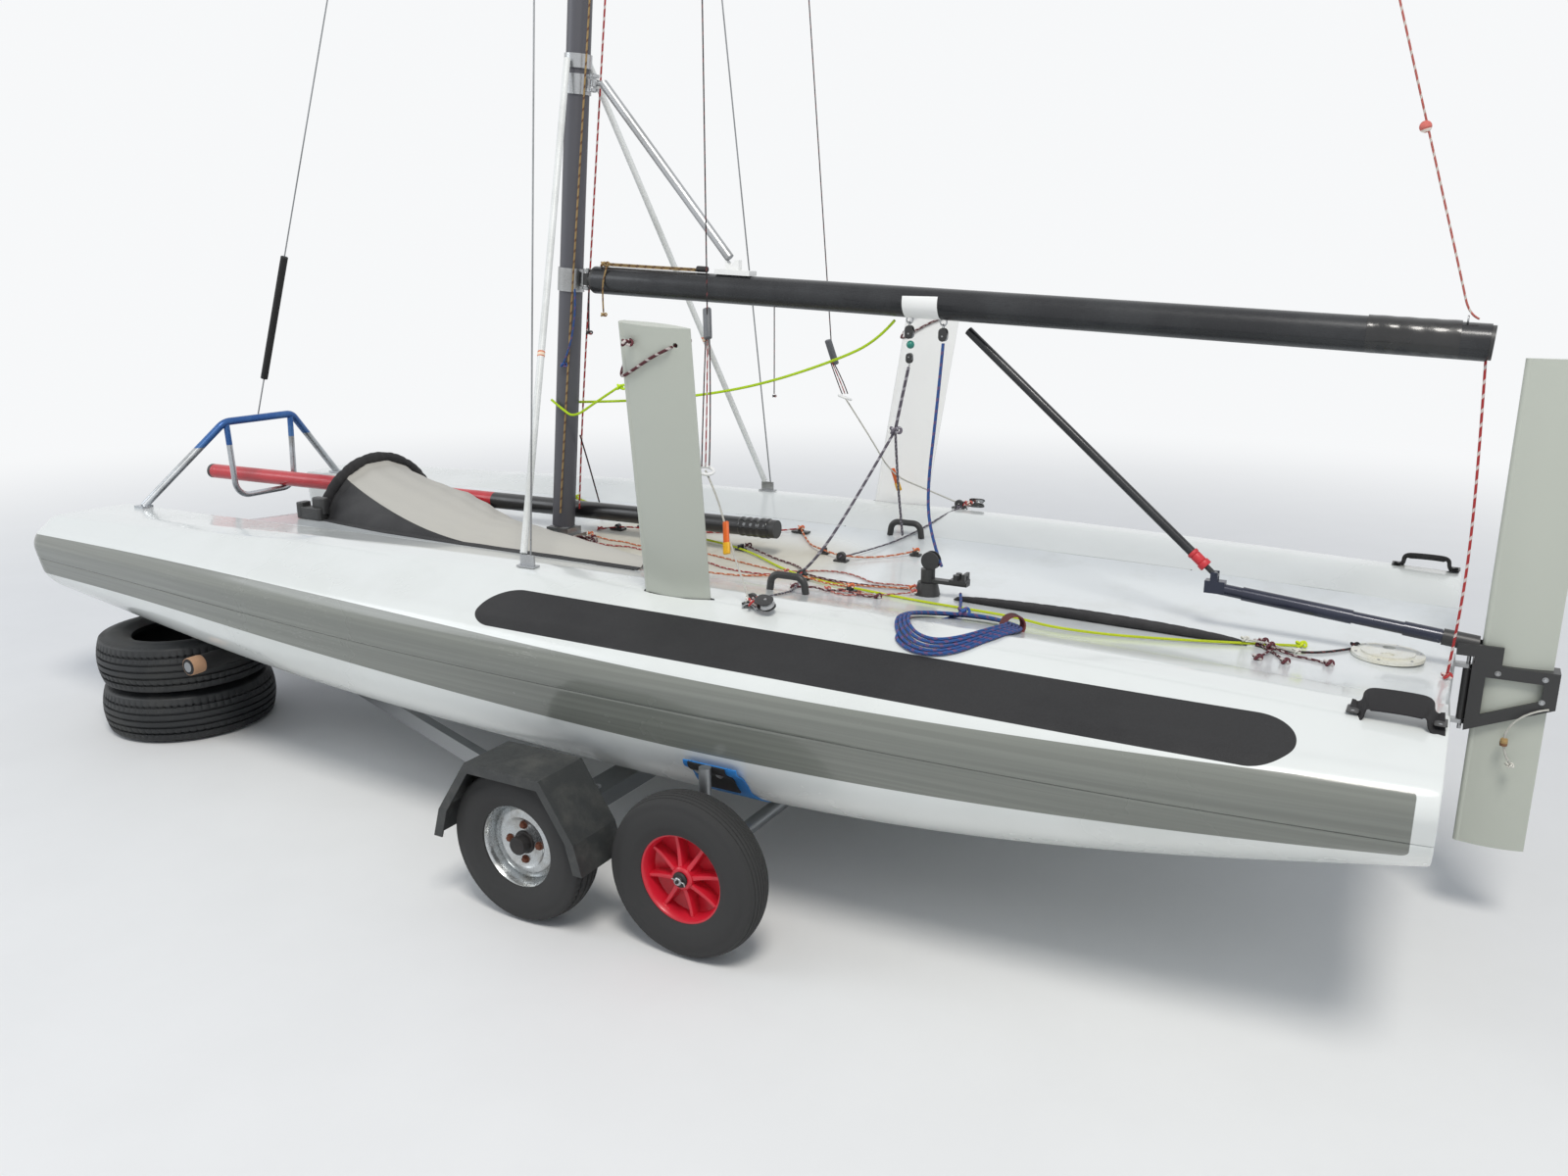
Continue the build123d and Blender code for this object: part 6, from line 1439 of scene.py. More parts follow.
@dataclass
class DeckStraps:
    """The toe strap and the carrying handles at the quarters."""

    form: HullForm
    strap_start: float = 0.972
    strap_end: float = 1.745
    strap_y: float = -0.102
    strap_thickness: float = 0.0225
    handle_x: float = 2.104
    handle_y: float = 0.688
    handle_rise: float = 0.03
    handle_width: float = 0.066
    handle_tilt: float = 0.42
    handle_half: float = 0.064
    handles: list = field(default_factory=list)

    def build(self) -> None:
        """Makes the strap and both handles."""
        self.toe_strap()
        for side, name in SIDES:
            self.quarter_handle(side, name)
        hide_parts("quarter_handles")

    def toe_strap(self) -> None:
        """A padded strap: lens-shaped in plan, crowned across, with stitched rows and flat webbing tails."""
        share = np.linspace(0, 1, 140)
        x = self.strap_start + (self.strap_end - self.strap_start) * share
        deck = np.array([self.form.deck_height(a, self.strap_y) for a in x])
        width = 0.018 + 0.044 * np.sin(np.pi * np.clip(share * 1.02, 0, 1)) ** 0.55 * (0.72 + 0.28 * share)
        thick = 0.003 + (self.strap_thickness - 0.004) * np.sin(np.pi * share) ** 0.4
        quilt = 1 - 0.05 * np.abs(np.cos(np.pi * 16 * share)) ** 10
        angle = np.linspace(0, 2 * np.pi, 36, endpoint=False)
        across = np.sign(np.cos(angle)) * np.abs(np.cos(angle)) ** 0.6
        height = np.sign(np.sin(angle)) * np.abs(np.sin(angle)) ** 0.8
        y = self.strap_y + across[None] * width[:, None] / 2
        z = deck[:, None] + 0.0012 + (thick * quilt)[:, None] * (0.5 + 0.5 * height[None])
        body = Surface(np.stack([np.repeat(x[:, None], 36, 1), y, z], axis=2), around=True, capped=True)
        piece = make_piece("toe_strap_pad", [body], WEBBING_BLACK, nodes=("toe_strap",), angle=60)

    def quarter_handle(self, side: int, name: str) -> None:
        """A flat webbing arch on two screwed plates: its line is a low arch with round shoulders."""
        y = side * self.handle_y
        base = self.form.deck_height(self.handle_x, y) + 0.0035
        half, rise = self.handle_half, self.handle_rise
        rows = [(-half - 0.02, 0.0005), (-half - 0.004, 0.0005), (-half + 0.004, 0.01), (-half + 0.01, rise * 0.8),
                (-half + 0.03, rise * 0.98), (0.0, rise), (half - 0.03, rise * 0.97), (half - 0.01, rise * 0.78),
                (half - 0.004, 0.01), (half + 0.004, 0.0005), (half + 0.02, 0.0005)]
        path = through([(self.handle_x + a, y, base + b) for a, b in rows], 70)
        lean = np.array([0.0, math.cos(self.handle_tilt), -side * math.sin(self.handle_tilt)])
        band = strip(path, lean, rounded(self.handle_width, 0.004, 0.0018, 3))
        surfaces = [band]
        for way in (-1, 1):
            place = (self.handle_x + way * (half + 0.012), y, base + 0.0032)
            surfaces.append(slab(place, (0.024, self.handle_width * 0.7, 0.0026), 0.003, finish=BLACK_PLASTIC))
            for offset in (-0.013, 0.013):
                head = (place[0], y + offset, base + 0.0042)
                surfaces.append(revolve([(0.0036, 0.0), (0.0034, 0.0006), (0.0016, 0.001)], head, (0, 0, 1), 14,
                                        False, STEEL))
        self.handles.append(make_piece(f"quarter_handle_{name}", surfaces, WEBBING_BLACK, angle=50))


@dataclass
class CradleGoods:
    """The trolley's slings with their pads and rivets, and the foam on its front bar."""

    axle_x: float = 0.696
    length: float = 0.148
    thickness: float = 0.0075
    bar_x: float = -1.389
    bar_z: float = 0.306
    bar_inner: float = 0.432
    bar_outer: float = 0.823
    arc_centre: tuple = (0.684, 0.5485)
    arc_radius: float = 0.2695
    outer_y: float = 0.944
    inner_y: float = 0.4105
    top_z: float = 0.4385
    made: list = field(default_factory=list)

    def build(self) -> None:
        """Makes both slings and both foam sleeves."""
        for side, name in SIDES:
            self.sling(side, name)
            self.sleeve(side, name)
        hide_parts("trolley_slings")
        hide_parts("trolley_bar_pads")

    def sling(self, side: int, name: str) -> None:
        """A wide blue webbing sling under the hull, with a black rubber pad riveted at its outer top.

        Its line is an arc about the hull's round bottom, from 58 degrees outboard of straight down to 58
        degrees inboard, with both ends turned up to the posts.
        """
        turn = np.radians(np.linspace(58, -58, 11))
        arc = np.stack([self.arc_centre[0] + self.arc_radius * np.sin(turn),
                        self.arc_centre[1] - self.arc_radius * np.cos(turn)], axis=1)
        rows = np.concatenate([[(self.outer_y, self.top_z), (self.outer_y - 0.003, self.top_z - 0.011)], arc,
                               [(self.inner_y + 0.003, self.top_z - 0.011), (self.inner_y, self.top_z)]])
        path = through(np.stack([np.full(len(rows), self.axle_x), side * rows[:, 0], rows[:, 1]], axis=1), 90)
        ripple = 1 + 0.012 * np.sin(np.linspace(0, 60, 90))
        outline = rounded(self.length, self.thickness * 0.55, 0.0018, 3)
        band = strip(path, np.array([1.0, 0.0, 0.0]), outline[None] * np.stack([ripple, np.ones(90)], 1)[:, None])
        seams = [tube(path + (offset, 0, 0.0012), 0.0022, 6) for offset in (-0.058, -0.05, 0.05, 0.058)]
        piece = make_piece(f"sling_{name}", [band, *seams], WEBBING_BLUE, angle=50)
        self.made.append(piece)
        pad_path = path[0:17] + np.array([-0.006, side * 0.0062, 0.0])
        pad = [strip(pad_path, np.array([1.0, 0.0, 0.0]), rounded(self.length * 0.7, 0.0052, 0.0024, 3))]
        for offset in (-0.03, 0.03):
            place = pad_path[4] + np.array([offset, side * 0.0026, 0.0])
            pad.append(revolve([(0.01, -0.001), (0.0096, 0.0016), (0.006, 0.003)], place,
                               (0, side, -0.45), 22, False, STEEL))
        make_piece(f"sling_pad_{name}", pad, FOAM_BLACK, angle=50)

    def sleeve(self, side: int, name: str) -> None:
        """Foam on the front bar with taped joints: a tube whose radius dips under each tape."""
        share = np.linspace(0, 1, 80)
        y = side * (self.bar_inner + (self.bar_outer - self.bar_inner) * share)
        path = np.stack([np.full(80, self.bar_x), y, np.full(80, self.bar_z)], axis=1)
        radius = 0.0285 - 0.0016 * np.exp(-(((share - 0.66) / 0.02) ** 2)) + 0.0005 * np.sin(70 * share)
        radius[0] = radius[-1] = 0.0262
        skin = tube(path, radius, 32, (1, 0, 0))
        band_y = side * np.linspace(0.776, 0.822, 8)
        band = np.stack([np.full(8, self.bar_x), band_y, np.full(8, self.bar_z)], axis=1)
        wrap = tube(band, np.array([0.0285, 0.0296, 0.0298, 0.0297, 0.0298, 0.0297, 0.0296, 0.0285]), 32, (1, 0, 0),
                    FOAM_TAN)
        piece = make_piece(f"bar_foam_{name}", [skin, wrap], FOAM_BLACK, angle=50)
        self.made.append(piece)


# Blocks, cleats, tapes and small fittings

BALL_TEAL = Finish("ball_teal", "white_plastic", S(20, 128, 112), S(14, 92, 84), 0.3, coat=0.3, bump=0.05)
PLASTIC_GREY = Finish("plastic_grey", "black_plastic", S(92, 94, 98), S(130, 130, 130), 0.45, bump=0.2, fine=800.0)
HANDLE_ORANGE = Finish("handle_orange", "white_plastic", S(226, 104, 36), S(190, 84, 34), 0.4, bump=0.1)
HANDLE_YELLOW = Finish("handle_yellow", "white_plastic", S(232, 176, 34), S(196, 146, 40), 0.4, bump=0.1)

def pulley(centre: Point, down: Point, axle: Point, size: float, finish: Finish, wheel: Finish) -> list:
    """A rope block: two cheek plates, a grooved wheel, its pin and a wire eye at the head.

    Args:
        centre: the wheel's middle.
        down: direction from the eye to the wheel.
        axle: direction of the pin.
        size: the wheel's diameter.
        finish: the cheeks' finish.
        wheel: the wheel's finish.
    Returns:
        Its surfaces: each cheek is a stadium outline drawn in at its outer face.
    """
    middle, down, axle = np.asarray(centre, float), unit(np.asarray(down, float)), unit(np.asarray(axle, float))
    surfaces = []
    for sign in (-1, 1):
        place = middle + axle * sign * size * 0.26 - down * size * 0.16
        surfaces.append(slab(tuple(place), (size * 0.92, size * 1.42, size * 0.09), size * 0.44, tuple(axle),
                             tuple(np.cross(down, axle)), size * 0.03, finish))
    half, rim = size * 0.17, size * 0.5
    surfaces.append(revolve([(rim, -half), (rim * 0.78, 0.0), (rim, half), (rim * 0.3, half), (rim * 0.3, -half)],
                            centre, tuple(axle), 28, True, wheel))
    surfaces.append(rod(tuple(middle - axle * size * 0.36), tuple(middle + axle * size * 0.36), size * 0.1, 12,
                        size * 0.03, STEEL))
    eye = middle - down * size * 1.02
    turn = np.linspace(0, 2 * np.pi, 20, endpoint=False)[:, None]
    ring = eye + size * 0.24 * (np.cos(turn) * down + np.sin(turn) * axle)
    surfaces.append(tube(ring, size * 0.06, 8, tuple(np.cross(down, axle)), STEEL, loop=True))
    return surfaces


def knot(centre: Point, size: float, thickness: float, finish: Finish | None = None) -> Surface:
    """A pulled-up knot: a tube along (sin t + 2 sin 2t, cos t - 2 cos 2t, -sin 3t), scaled to size."""
    t = np.linspace(0, 2 * np.pi, 54, endpoint=False)
    line = np.stack([np.sin(t) + 2 * np.sin(2 * t), np.cos(t) - 2 * np.cos(2 * t), -1.2 * np.sin(3 * t)], axis=1)
    path = np.asarray(centre, float) + line * size / 6
    return looped_tube(path, thickness, 8, finish)


def looped_tube(path: np.ndarray, radius: float, sides: int, finish: Finish | None) -> Surface:
    """A closed round tube whose rings turn as little as they can: each ring's side is carried on from the last."""
    closed = np.vstack([path[-1:], path, path[:1]])
    tangent = unit(closed[2:] - closed[:-2])
    side = np.empty_like(path)
    side[0] = unit(np.cross(tangent[0], (0.31, 0.22, 0.92)))
    for index in range(1, len(path)):
        side[index] = unit(side[index - 1] - tangent[index] * (side[index - 1] @ tangent[index]))
    up = np.cross(side, tangent)
    angle = np.linspace(0, 2 * np.pi, sides, endpoint=False)
    ring = np.cos(angle)[None, :, None] * side[:, None] + np.sin(angle)[None, :, None] * up[:, None]
    return Surface(path[:, None] + radius * ring, around=True, along=True, finish=finish)


def ring_at(centre: Point, axis: Point, radius: float, thickness: float, finish: Finish | None = None,
            sides: int = 36) -> Surface:
    """A round ring: circles of the wire's thickness turned about the axis."""
    angle = np.linspace(0, 2 * np.pi, 12, endpoint=False)
    profile = np.stack([radius + thickness * np.cos(angle), thickness * np.sin(angle)], axis=1)
    return revolve(profile, centre, axis, sides, True, finish)


@dataclass
class BoomGear:
    """What the boom carries: the patch, the tape, the shock cord, its blocks and rings."""

    start: Point = (-0.29, 0.0, 1.5265)
    end: Point = (2.142, 0.0, 1.4105)
    radius: float = 0.042
    patch: tuple = (0.765, 0.868)
    tape: tuple = (1.925, 2.118)
    eyes: tuple = (0.772, 0.872)

    def centre(self, x: np.ndarray | float) -> np.ndarray:
        """The boom's centreline at places along the boat."""
        share = (np.asarray(x, float) - self.start[0]) / (self.end[0] - self.start[0])
        return np.asarray(self.start) + share[..., None] * (np.asarray(self.end) - np.asarray(self.start))

    def wrap(self, x: np.ndarray, low: np.ndarray, high: np.ndarray, lift: np.ndarray | float,
             finish: Finish) -> Surface:
        """A thin shell on the tube between two angles, measured from straight down towards port.

        Rows run along the boom; the outer skin stands lift above the tube and the inner one lies on it.
        """
        middle = self.centre(x)
        count = 40
        angle = low[:, None] + (high - low)[:, None] * np.linspace(0, 1, count)[None]
        out = np.stack([np.zeros_like(angle), -np.sin(angle), -np.cos(angle)], axis=2)
        lift = np.broadcast_to(np.asarray(lift, float), angle.shape)[..., None]
        outer = middle[:, None] + (self.radius + 0.0003 + lift) * out
        inner = middle[:, None] + (self.radius + 0.0002) * out
        return Surface(np.concatenate([outer, inner[:, ::-1]], axis=1), around=True, capped=True, finish=finish)

    def build(self) -> None:
        """Makes every piece that rides on the boom."""
        x = np.linspace(*self.patch, 14)
        slant = np.linspace(0.14, 0.0, 14)
        patch = self.wrap(x, np.radians(np.full(14, 12.0)), np.radians(118.0 - 40 * slant), 0.0009, WHITE_PLASTIC)
        x = np.linspace(*self.tape, 90)
        turn = np.linspace(0, 2 * np.pi, 40)[None]
        ridges = 0.0012 + 0.00035 * np.sin(2 * np.pi * (x - self.tape[0])[:, None] / 0.048 + turn) + 0.0003 * np.sin(
            2 * turn + 30 * x[:, None])
        tape = self.wrap(x, np.zeros(90), np.full(90, 2 * np.pi - 1e-4), np.clip(ridges, 0.0003, 0.004), TAPE_BLACK)
        make_piece("boom_patch", [patch], WHITE_PLASTIC, "boom", angle=50)
        make_piece("boom_tape", [tape], TAPE_BLACK, "boom", angle=50)
        gear = []
        for place in self.eyes:
            under = self.centre(place) - np.array([0.0, 0.0, self.radius])
            gear.append(ring_at(tuple(under - (0, 0, 0.006)), (0, 1, 0), 0.0095, 0.0022, STEEL, 24))
            gear += pulley(tuple(under - (0, 0, 0.044)), (0, 0, -1), (0, 1, 0), 0.026, BLACK_PLASTIC, STEEL)
        low = self.centre(self.eyes[0]) - np.array([-0.002, 0.0, self.radius + 0.108])
        gear += pulley(tuple(low), (0, 0, 1), (0, 1, 0), 0.02, BLACK_PLASTIC, STEEL)
        bead = self.centre(self.eyes[0]) - np.array([-0.004, 0.0, self.radius + 0.074])
        gear.append(revolve(self.ball(0.0115), tuple(bead), (0, 0, 1), 24, False, BALL_TEAL))
        make_piece("sheet_blocks", gear, BLACK_PLASTIC, "boom")
        self.cord_on_top()
        self.line_ball()

    def ball(self, radius: float) -> np.ndarray:
        """A sphere's half circle as (radius, place) rows, stopping short of both poles."""
        angle = np.linspace(-np.pi / 2 + 0.2, np.pi / 2 - 0.2, 14)
        return np.stack([radius * np.cos(angle), radius * np.sin(angle)], axis=1)

    def cord_on_top(self) -> None:
        """Strands of shock cord laid along the boom's top between its front end and a black toggle."""
        strands = []
        for index, (offset, rise) in enumerate(((-0.014, 0.004), (-0.005, 0.009), (0.005, 0.007), (0.014, 0.003))):
            x = np.array([-0.262, -0.2, -0.1, 0.0, 0.075])
            middle = self.centre(x)
            wave = 0.004 * np.sin(np.arange(5) * 1.7 + index)
            top = middle + np.stack([np.zeros(5), offset + wave, np.full(5, self.radius + 0.0015 + rise)], axis=1)
            strands.append(tube(through(top, 40), 0.0024, 8))
        toggle = self.centre(0.098) + np.array([0.0, 0.0, self.radius + 0.011])
        strands.append(rod(tuple(toggle - (0.022, 0, -0.001)), tuple(toggle + (0.016, 0, -0.001)), 0.009, 20, 0.003,
                           HUB_BLACK))
        back = self.centre(-0.268) + np.array([0.0, 0.0, self.radius + 0.008])
        strands.append(knot(tuple(back), 0.03, 0.0026, ROPE_TAN))
        make_piece("boom_shock_cord", strands, ROPE_TAN, "boom")

    def line_ball(self) -> None:
        """The pink stopper ball on the main halyard near the boom's end, and the ring at its foot."""
        foot = self.centre(2.128) + np.array([0.0, -0.012, self.radius + 0.004])
        top = np.array([0.205, -0.012, 7.34])
        ball = foot + (top - foot) * 0.07
        pieces = [revolve(self.ball(0.013), tuple(ball), tuple(top - foot), 24, False, ROPE_PINK),
                  ring_at(tuple(foot), (1, 0, 0), 0.008, 0.002, STEEL, 20)]
        make_piece("boom_end_ball", pieces, ROPE_PINK, "boom")


@dataclass
class DeckFittings:
    """Cleats, blocks and screws on the deck, and the trapeze lines' ends."""

    form: HullForm
    cleats: tuple = ((-0.3, 0.205), (0.155, 0.108), (0.7, -0.205), (0.7, 0.262), (0.42, 0.18))
    rail_x: float = 0.676
    rail_y: float = 0.718

    def build(self) -> None:
        """Makes the rail blocks, the cleats, the trapeze ends, the head's bolts and the hatch's screws."""
        for side, name in SIDES:
            self.rail_block(side, name)
        surfaces = []
        for x, y in self.cleats:
            surfaces += self.cam_cleat(x, y)
        make_piece("cam_cleats", surfaces, BLACK_PLASTIC)
        self.trapeze(-1, "port", (0.396, -0.45, 1.427), (0.479, -0.6, 1.07), (0.575, -0.66, 0.93))
        self.trapeze(1, "starboard", (0.33, 0.4, 1.3), (0.352, 0.455, 1.15), (0.47, 0.61, 0.875))
        self.head_bolts()
        self.hatch_screws()

    def cam_cleat(self, x: float, y: float) -> list:
        """A low base with two toothed jaws: each jaw's outline is a circle with a wavy edge."""
        z = self.form.deck_height(x, y) + 0.0008
        surfaces = [slab((x, y, z + 0.003), (0.036, 0.024, 0.006), 0.005)]
        angle = np.linspace(0, 2 * np.pi, 48, endpoint=False)
        radius = 0.0065 + 0.0005 * np.sign(np.sin(12 * angle))
        for sign in (-1, 1):
            centre = np.array([x, y + sign * 0.0074, z + 0.006])
            flat = np.stack([radius * np.cos(angle), radius * np.sin(angle), np.zeros(48)], axis=1)
            rows = np.stack([centre + flat, centre + flat + (0, 0, 0.01), centre + flat * 0.85 + (0, 0, 0.0115)])
            surfaces.append(Surface(rows, around=True, capped=True))
            surfaces.append(revolve([(0.0026, 0.0), (0.0024, 0.002)], tuple(centre + (0, 0, 0.011)), (0, 0, 1), 12,
                                    False, STEEL))
        return surfaces

    def rail_block(self, side: int, name: str) -> None:
        """A silver ratchet block on the crest with its eye strap and a wrap of red rope beside it."""
        y = side * self.rail_y
        z = self.form.deck_height(self.rail_x, y)
        centre = (self.rail_x + 0.055, side * (self.rail_y + 0.012), z + 0.026)
        surfaces = pulley(centre, (0.7, side * 0.25, 0.1), (-0.1, side * 0.45, 0.9), 0.038, BLACK_PLASTIC, STEEL)
        strap = through([(self.rail_x - 0.02, y, z + 0.002), (self.rail_x - 0.01, y, z + 0.012),
                         (self.rail_x + 0.01, y, z + 0.012), (self.rail_x + 0.02, y, z + 0.002)], 24)
        surfaces.append(strip(strap, np.array([0.0, 1.0, 0.0]), rounded(0.01, 0.003, 0.001, 3), STEEL))
        for index in range(3):
            place = (self.rail_x + 0.012 + 0.007 * index, y - side * 0.004 * index, z + 0.02 + 0.003 * index)
            surfaces.append(knot(place, 0.034 - 0.004 * index, 0.0027, (ROPE_RED, ROPE_MAROON, ROPE_PINK)[index]))
        make_piece(f"rail_block_{name}", surfaces, BLACK_PLASTIC)

    def trapeze(self, side: int, name: str, block: Point, ring: Point, handle: Point) -> None:
        """The end of a trapeze line: a grey block, a white ring and an orange and yellow handle."""
        top = np.array([0.12, side * 0.045, 2.35])
        way = unit(np.asarray(block) - top)
        surfaces = [slab(block, (0.016, 0.022, 0.085), 0.006, tuple(way), (0, 1, 0), 0.003, PLASTIC_GREY)]
        surfaces.append(ring_at(ring, (0.25, 0.2 * side, 0.9), 0.021, 0.0042, WHITE_PLASTIC))
        place = np.asarray(handle)
        surfaces.append(slab(tuple(place), (0.016, 0.009, 0.058), 0.004, tuple(way), (1, 0, 0), 0.002, HANDLE_ORANGE))
        surfaces.append(slab(tuple(place + way * 0.04), (0.019, 0.01, 0.03), 0.004, tuple(way), (1, 0, 0), 0.002,
                             HANDLE_YELLOW))
        make_piece(f"trapeze_end_{name}", surfaces, PLASTIC_GREY)

    def head_bolts(self) -> None:
        """The bolts on both sides of the rudder head."""
        surfaces = []
        for x, z in ((2.29, 0.655), (2.385, 0.655), (2.385, 0.6)):
            for side in (-1, 1):
                surfaces += bolt((x, side * 0.0282, z), (0, side, 0), 0.009, STEEL)
        make_piece("rudder_head_bolts", surfaces, STEEL, "rudder")

    def hatch_screws(self) -> None:
        """Round screw heads in a ring on the hatch's rim."""
        surfaces = []
        for index in range(6):
            angle = index * math.pi / 3 + 0.3
            x, y = 2.0565 + 0.074 * math.cos(angle), 0.074 * math.sin(angle)
            surfaces.append(revolve([(0.0032, 0.0), (0.0028, 0.001), (0.0014, 0.0014)], (x, y, 0.6625), (0, 0, 1),
                                    12, False))
        make_piece("hatch_screws", surfaces, STEEL)


@dataclass
class FrameDetails:
    """The bolts that stand on the road frame's axle beam."""

    bolt_x: float = 0.251
    bolt_z: float = 0.2305
    bolt_size: float = 0.014
    places: tuple = (-0.86, -0.8, 0.86, 0.8, -0.3, 0.3)

    def build(self) -> None:
        """Makes the bolts in one piece."""
        surfaces = []
        for y in self.places:
            surfaces += bolt((self.bolt_x, y, self.bolt_z), (0, 0, 1), self.bolt_size, STEEL)
        make_piece("frame_bolts", surfaces, STEEL)


@dataclass
class PaintedTubes:
    """Tubes whose colour changes along them, on the CAD nodes themselves, and small trims on tubes."""

    red_end: float = -0.85
    worn_from: float = 0.12
    gantry_blue_from: float = 0.905

    def build(self) -> None:
        """Makes the trims and dresses the pole and the bow gantry."""
        self.trims()
        dress(frame["nodes"]["bowsprit"], self.pole())
        dress(frame["nodes"]["bow_gantry"], self.gantry())

    def trims(self) -> None:
        """Tape on the pole's aft end, the extension's red joint and the marks on the lower shrouds."""
        way = unit(np.array([2.7, 0.0, 0.03]))
        first = np.array([0.176, 0.08, 0.7696])
        reach = np.linspace(0, 0.106, 40)
        size = 0.0306 + 0.0009 * np.sin(reach * 260) + 0.0022 * np.exp(-(((reach - 0.088) / 0.014) ** 2))
        size[[0, -1]] = 0.0294
        make_piece("pole_tape", [tube(first + reach[:, None] * way, size, 32)], TAPE_BLACK, "sprit", angle=50)
        pivot, tip = np.array([1.638, 0.0, 0.806]), np.array([0.928, 0.045, 1.4])
        way = unit(tip - pivot)
        sleeve = [rod(tuple(pivot + way * a), tuple(pivot + way * b), r, 24, 0.002)
                  for a, b, r in ((0.03, 0.046, 0.0165), (0.046, 0.072, 0.0138), (0.072, 0.082, 0.015))]
        make_piece("extension_joint", sleeve, JOINT_RED, "extension")
        marks = []
        for side in (-1, 1):
            low, high = np.array([-0.077, side * 0.668, 0.805]), np.array([-0.3395, side * 0.0528, 2.17])
            start = low + (high - low) * 0.378
            marks.append(rod(tuple(start), tuple(start + unit(high - low) * 0.016), 0.0108, 16, 0.001))
        make_piece("shroud_marks", marks, ROPE_ORANGE)

    def start(self, name: str) -> tuple:
        """A new material with its graph, its shader, and the outputs of its place axes and its wear group."""
        material, graph, shader, place = new_material(name)
        wear = graph.group("surface_wear", Vector=place, Patch=6.0, Fine=400.0)
        return material, graph, shader, graph.axes(place), wear.outputs

    def pole(self) -> bpy.types.Material:
        """Lacquer that is red ahead of a line across the pole and black behind, with a worn aft end."""
        material, graph, shader, parts, wear = self.start("pole_lacquer")
        edge = graph.plus(parts["X"], graph.times(wear["Speckle"], 0.004))
        front = graph.step(edge, self.red_end, self.red_end + 0.002, 1.0, 0.0)
        worn = graph.times(graph.step(parts["X"], self.worn_from, self.worn_from + 0.16),
                          graph.step(wear["Patches"], 0.1, 0.6))
        red = graph.mix(graph.times(wear["Patches"], 0.5), S(196, 28, 42), S(150, 30, 38))
        black = graph.mix(worn, S(24, 24, 26), S(96, 92, 88))
        graph.shade(shader, Base_Color=graph.mix(front, black, red),
                    Roughness=graph.step(wear["Patches"], 0.0, 1.0, 0.28, 0.42), Coat_Weight=0.3,
                    Coat_Roughness=0.1)
        graph.bump(shader, wear["Speckle"], 0.2)
        return material

    def gantry(self) -> bpy.types.Material:
        """Brushed bare tube whose arch is anodised blue above a height."""
        material, graph, shader, parts, wear = self.start("gantry_anodised")
        blue = graph.step(parts["Z"], self.gantry_blue_from, self.gantry_blue_from + 0.004)
        bare = graph.mix(wear["Patches"], S(190, 194, 198), S(150, 152, 152))
        dyed = graph.mix(wear["Patches"], S(38, 86, 152), S(70, 112, 164))
        graph.shade(shader, Base_Color=graph.mix(blue, bare, dyed),
                    Metallic=graph.step(blue, 0.0, 1.0, 0.85, 0.35),
                    Roughness=graph.step(wear["Speckle"], 0.3, 0.7, 0.26, 0.4))
        graph.bump(shader, wear["Speckle"], 0.08)
        return material


# Ropes

@dataclass(frozen=True)
class Line:
    """One rope between its ends: its control points, its thickness and what it rides on.

    A rope from the hull to the boom that has two blend places rides on no body.
    """

    name: str
    finish: Finish
    radius: float
    points: tuple
    body: str = "hull"
    blend: tuple | None = None
    knots: tuple = ()
    smoothness: int = 8

    def build(self) -> bpy.types.Object:
        """The rope as a tube on its NURBS line, with a knot of its own rope at each place in knots."""
        surfaces = [tube(rope_path(self.points, self.smoothness), self.radius, 10)]
        surfaces += [knot(place, self.radius * 7.5, self.radius * 0.92) for place in self.knots]
        piece = make_piece(self.name, surfaces, self.finish, "" if self.blend else self.body, angle=70)
        if self.blend:
            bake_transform(piece)
        return piece


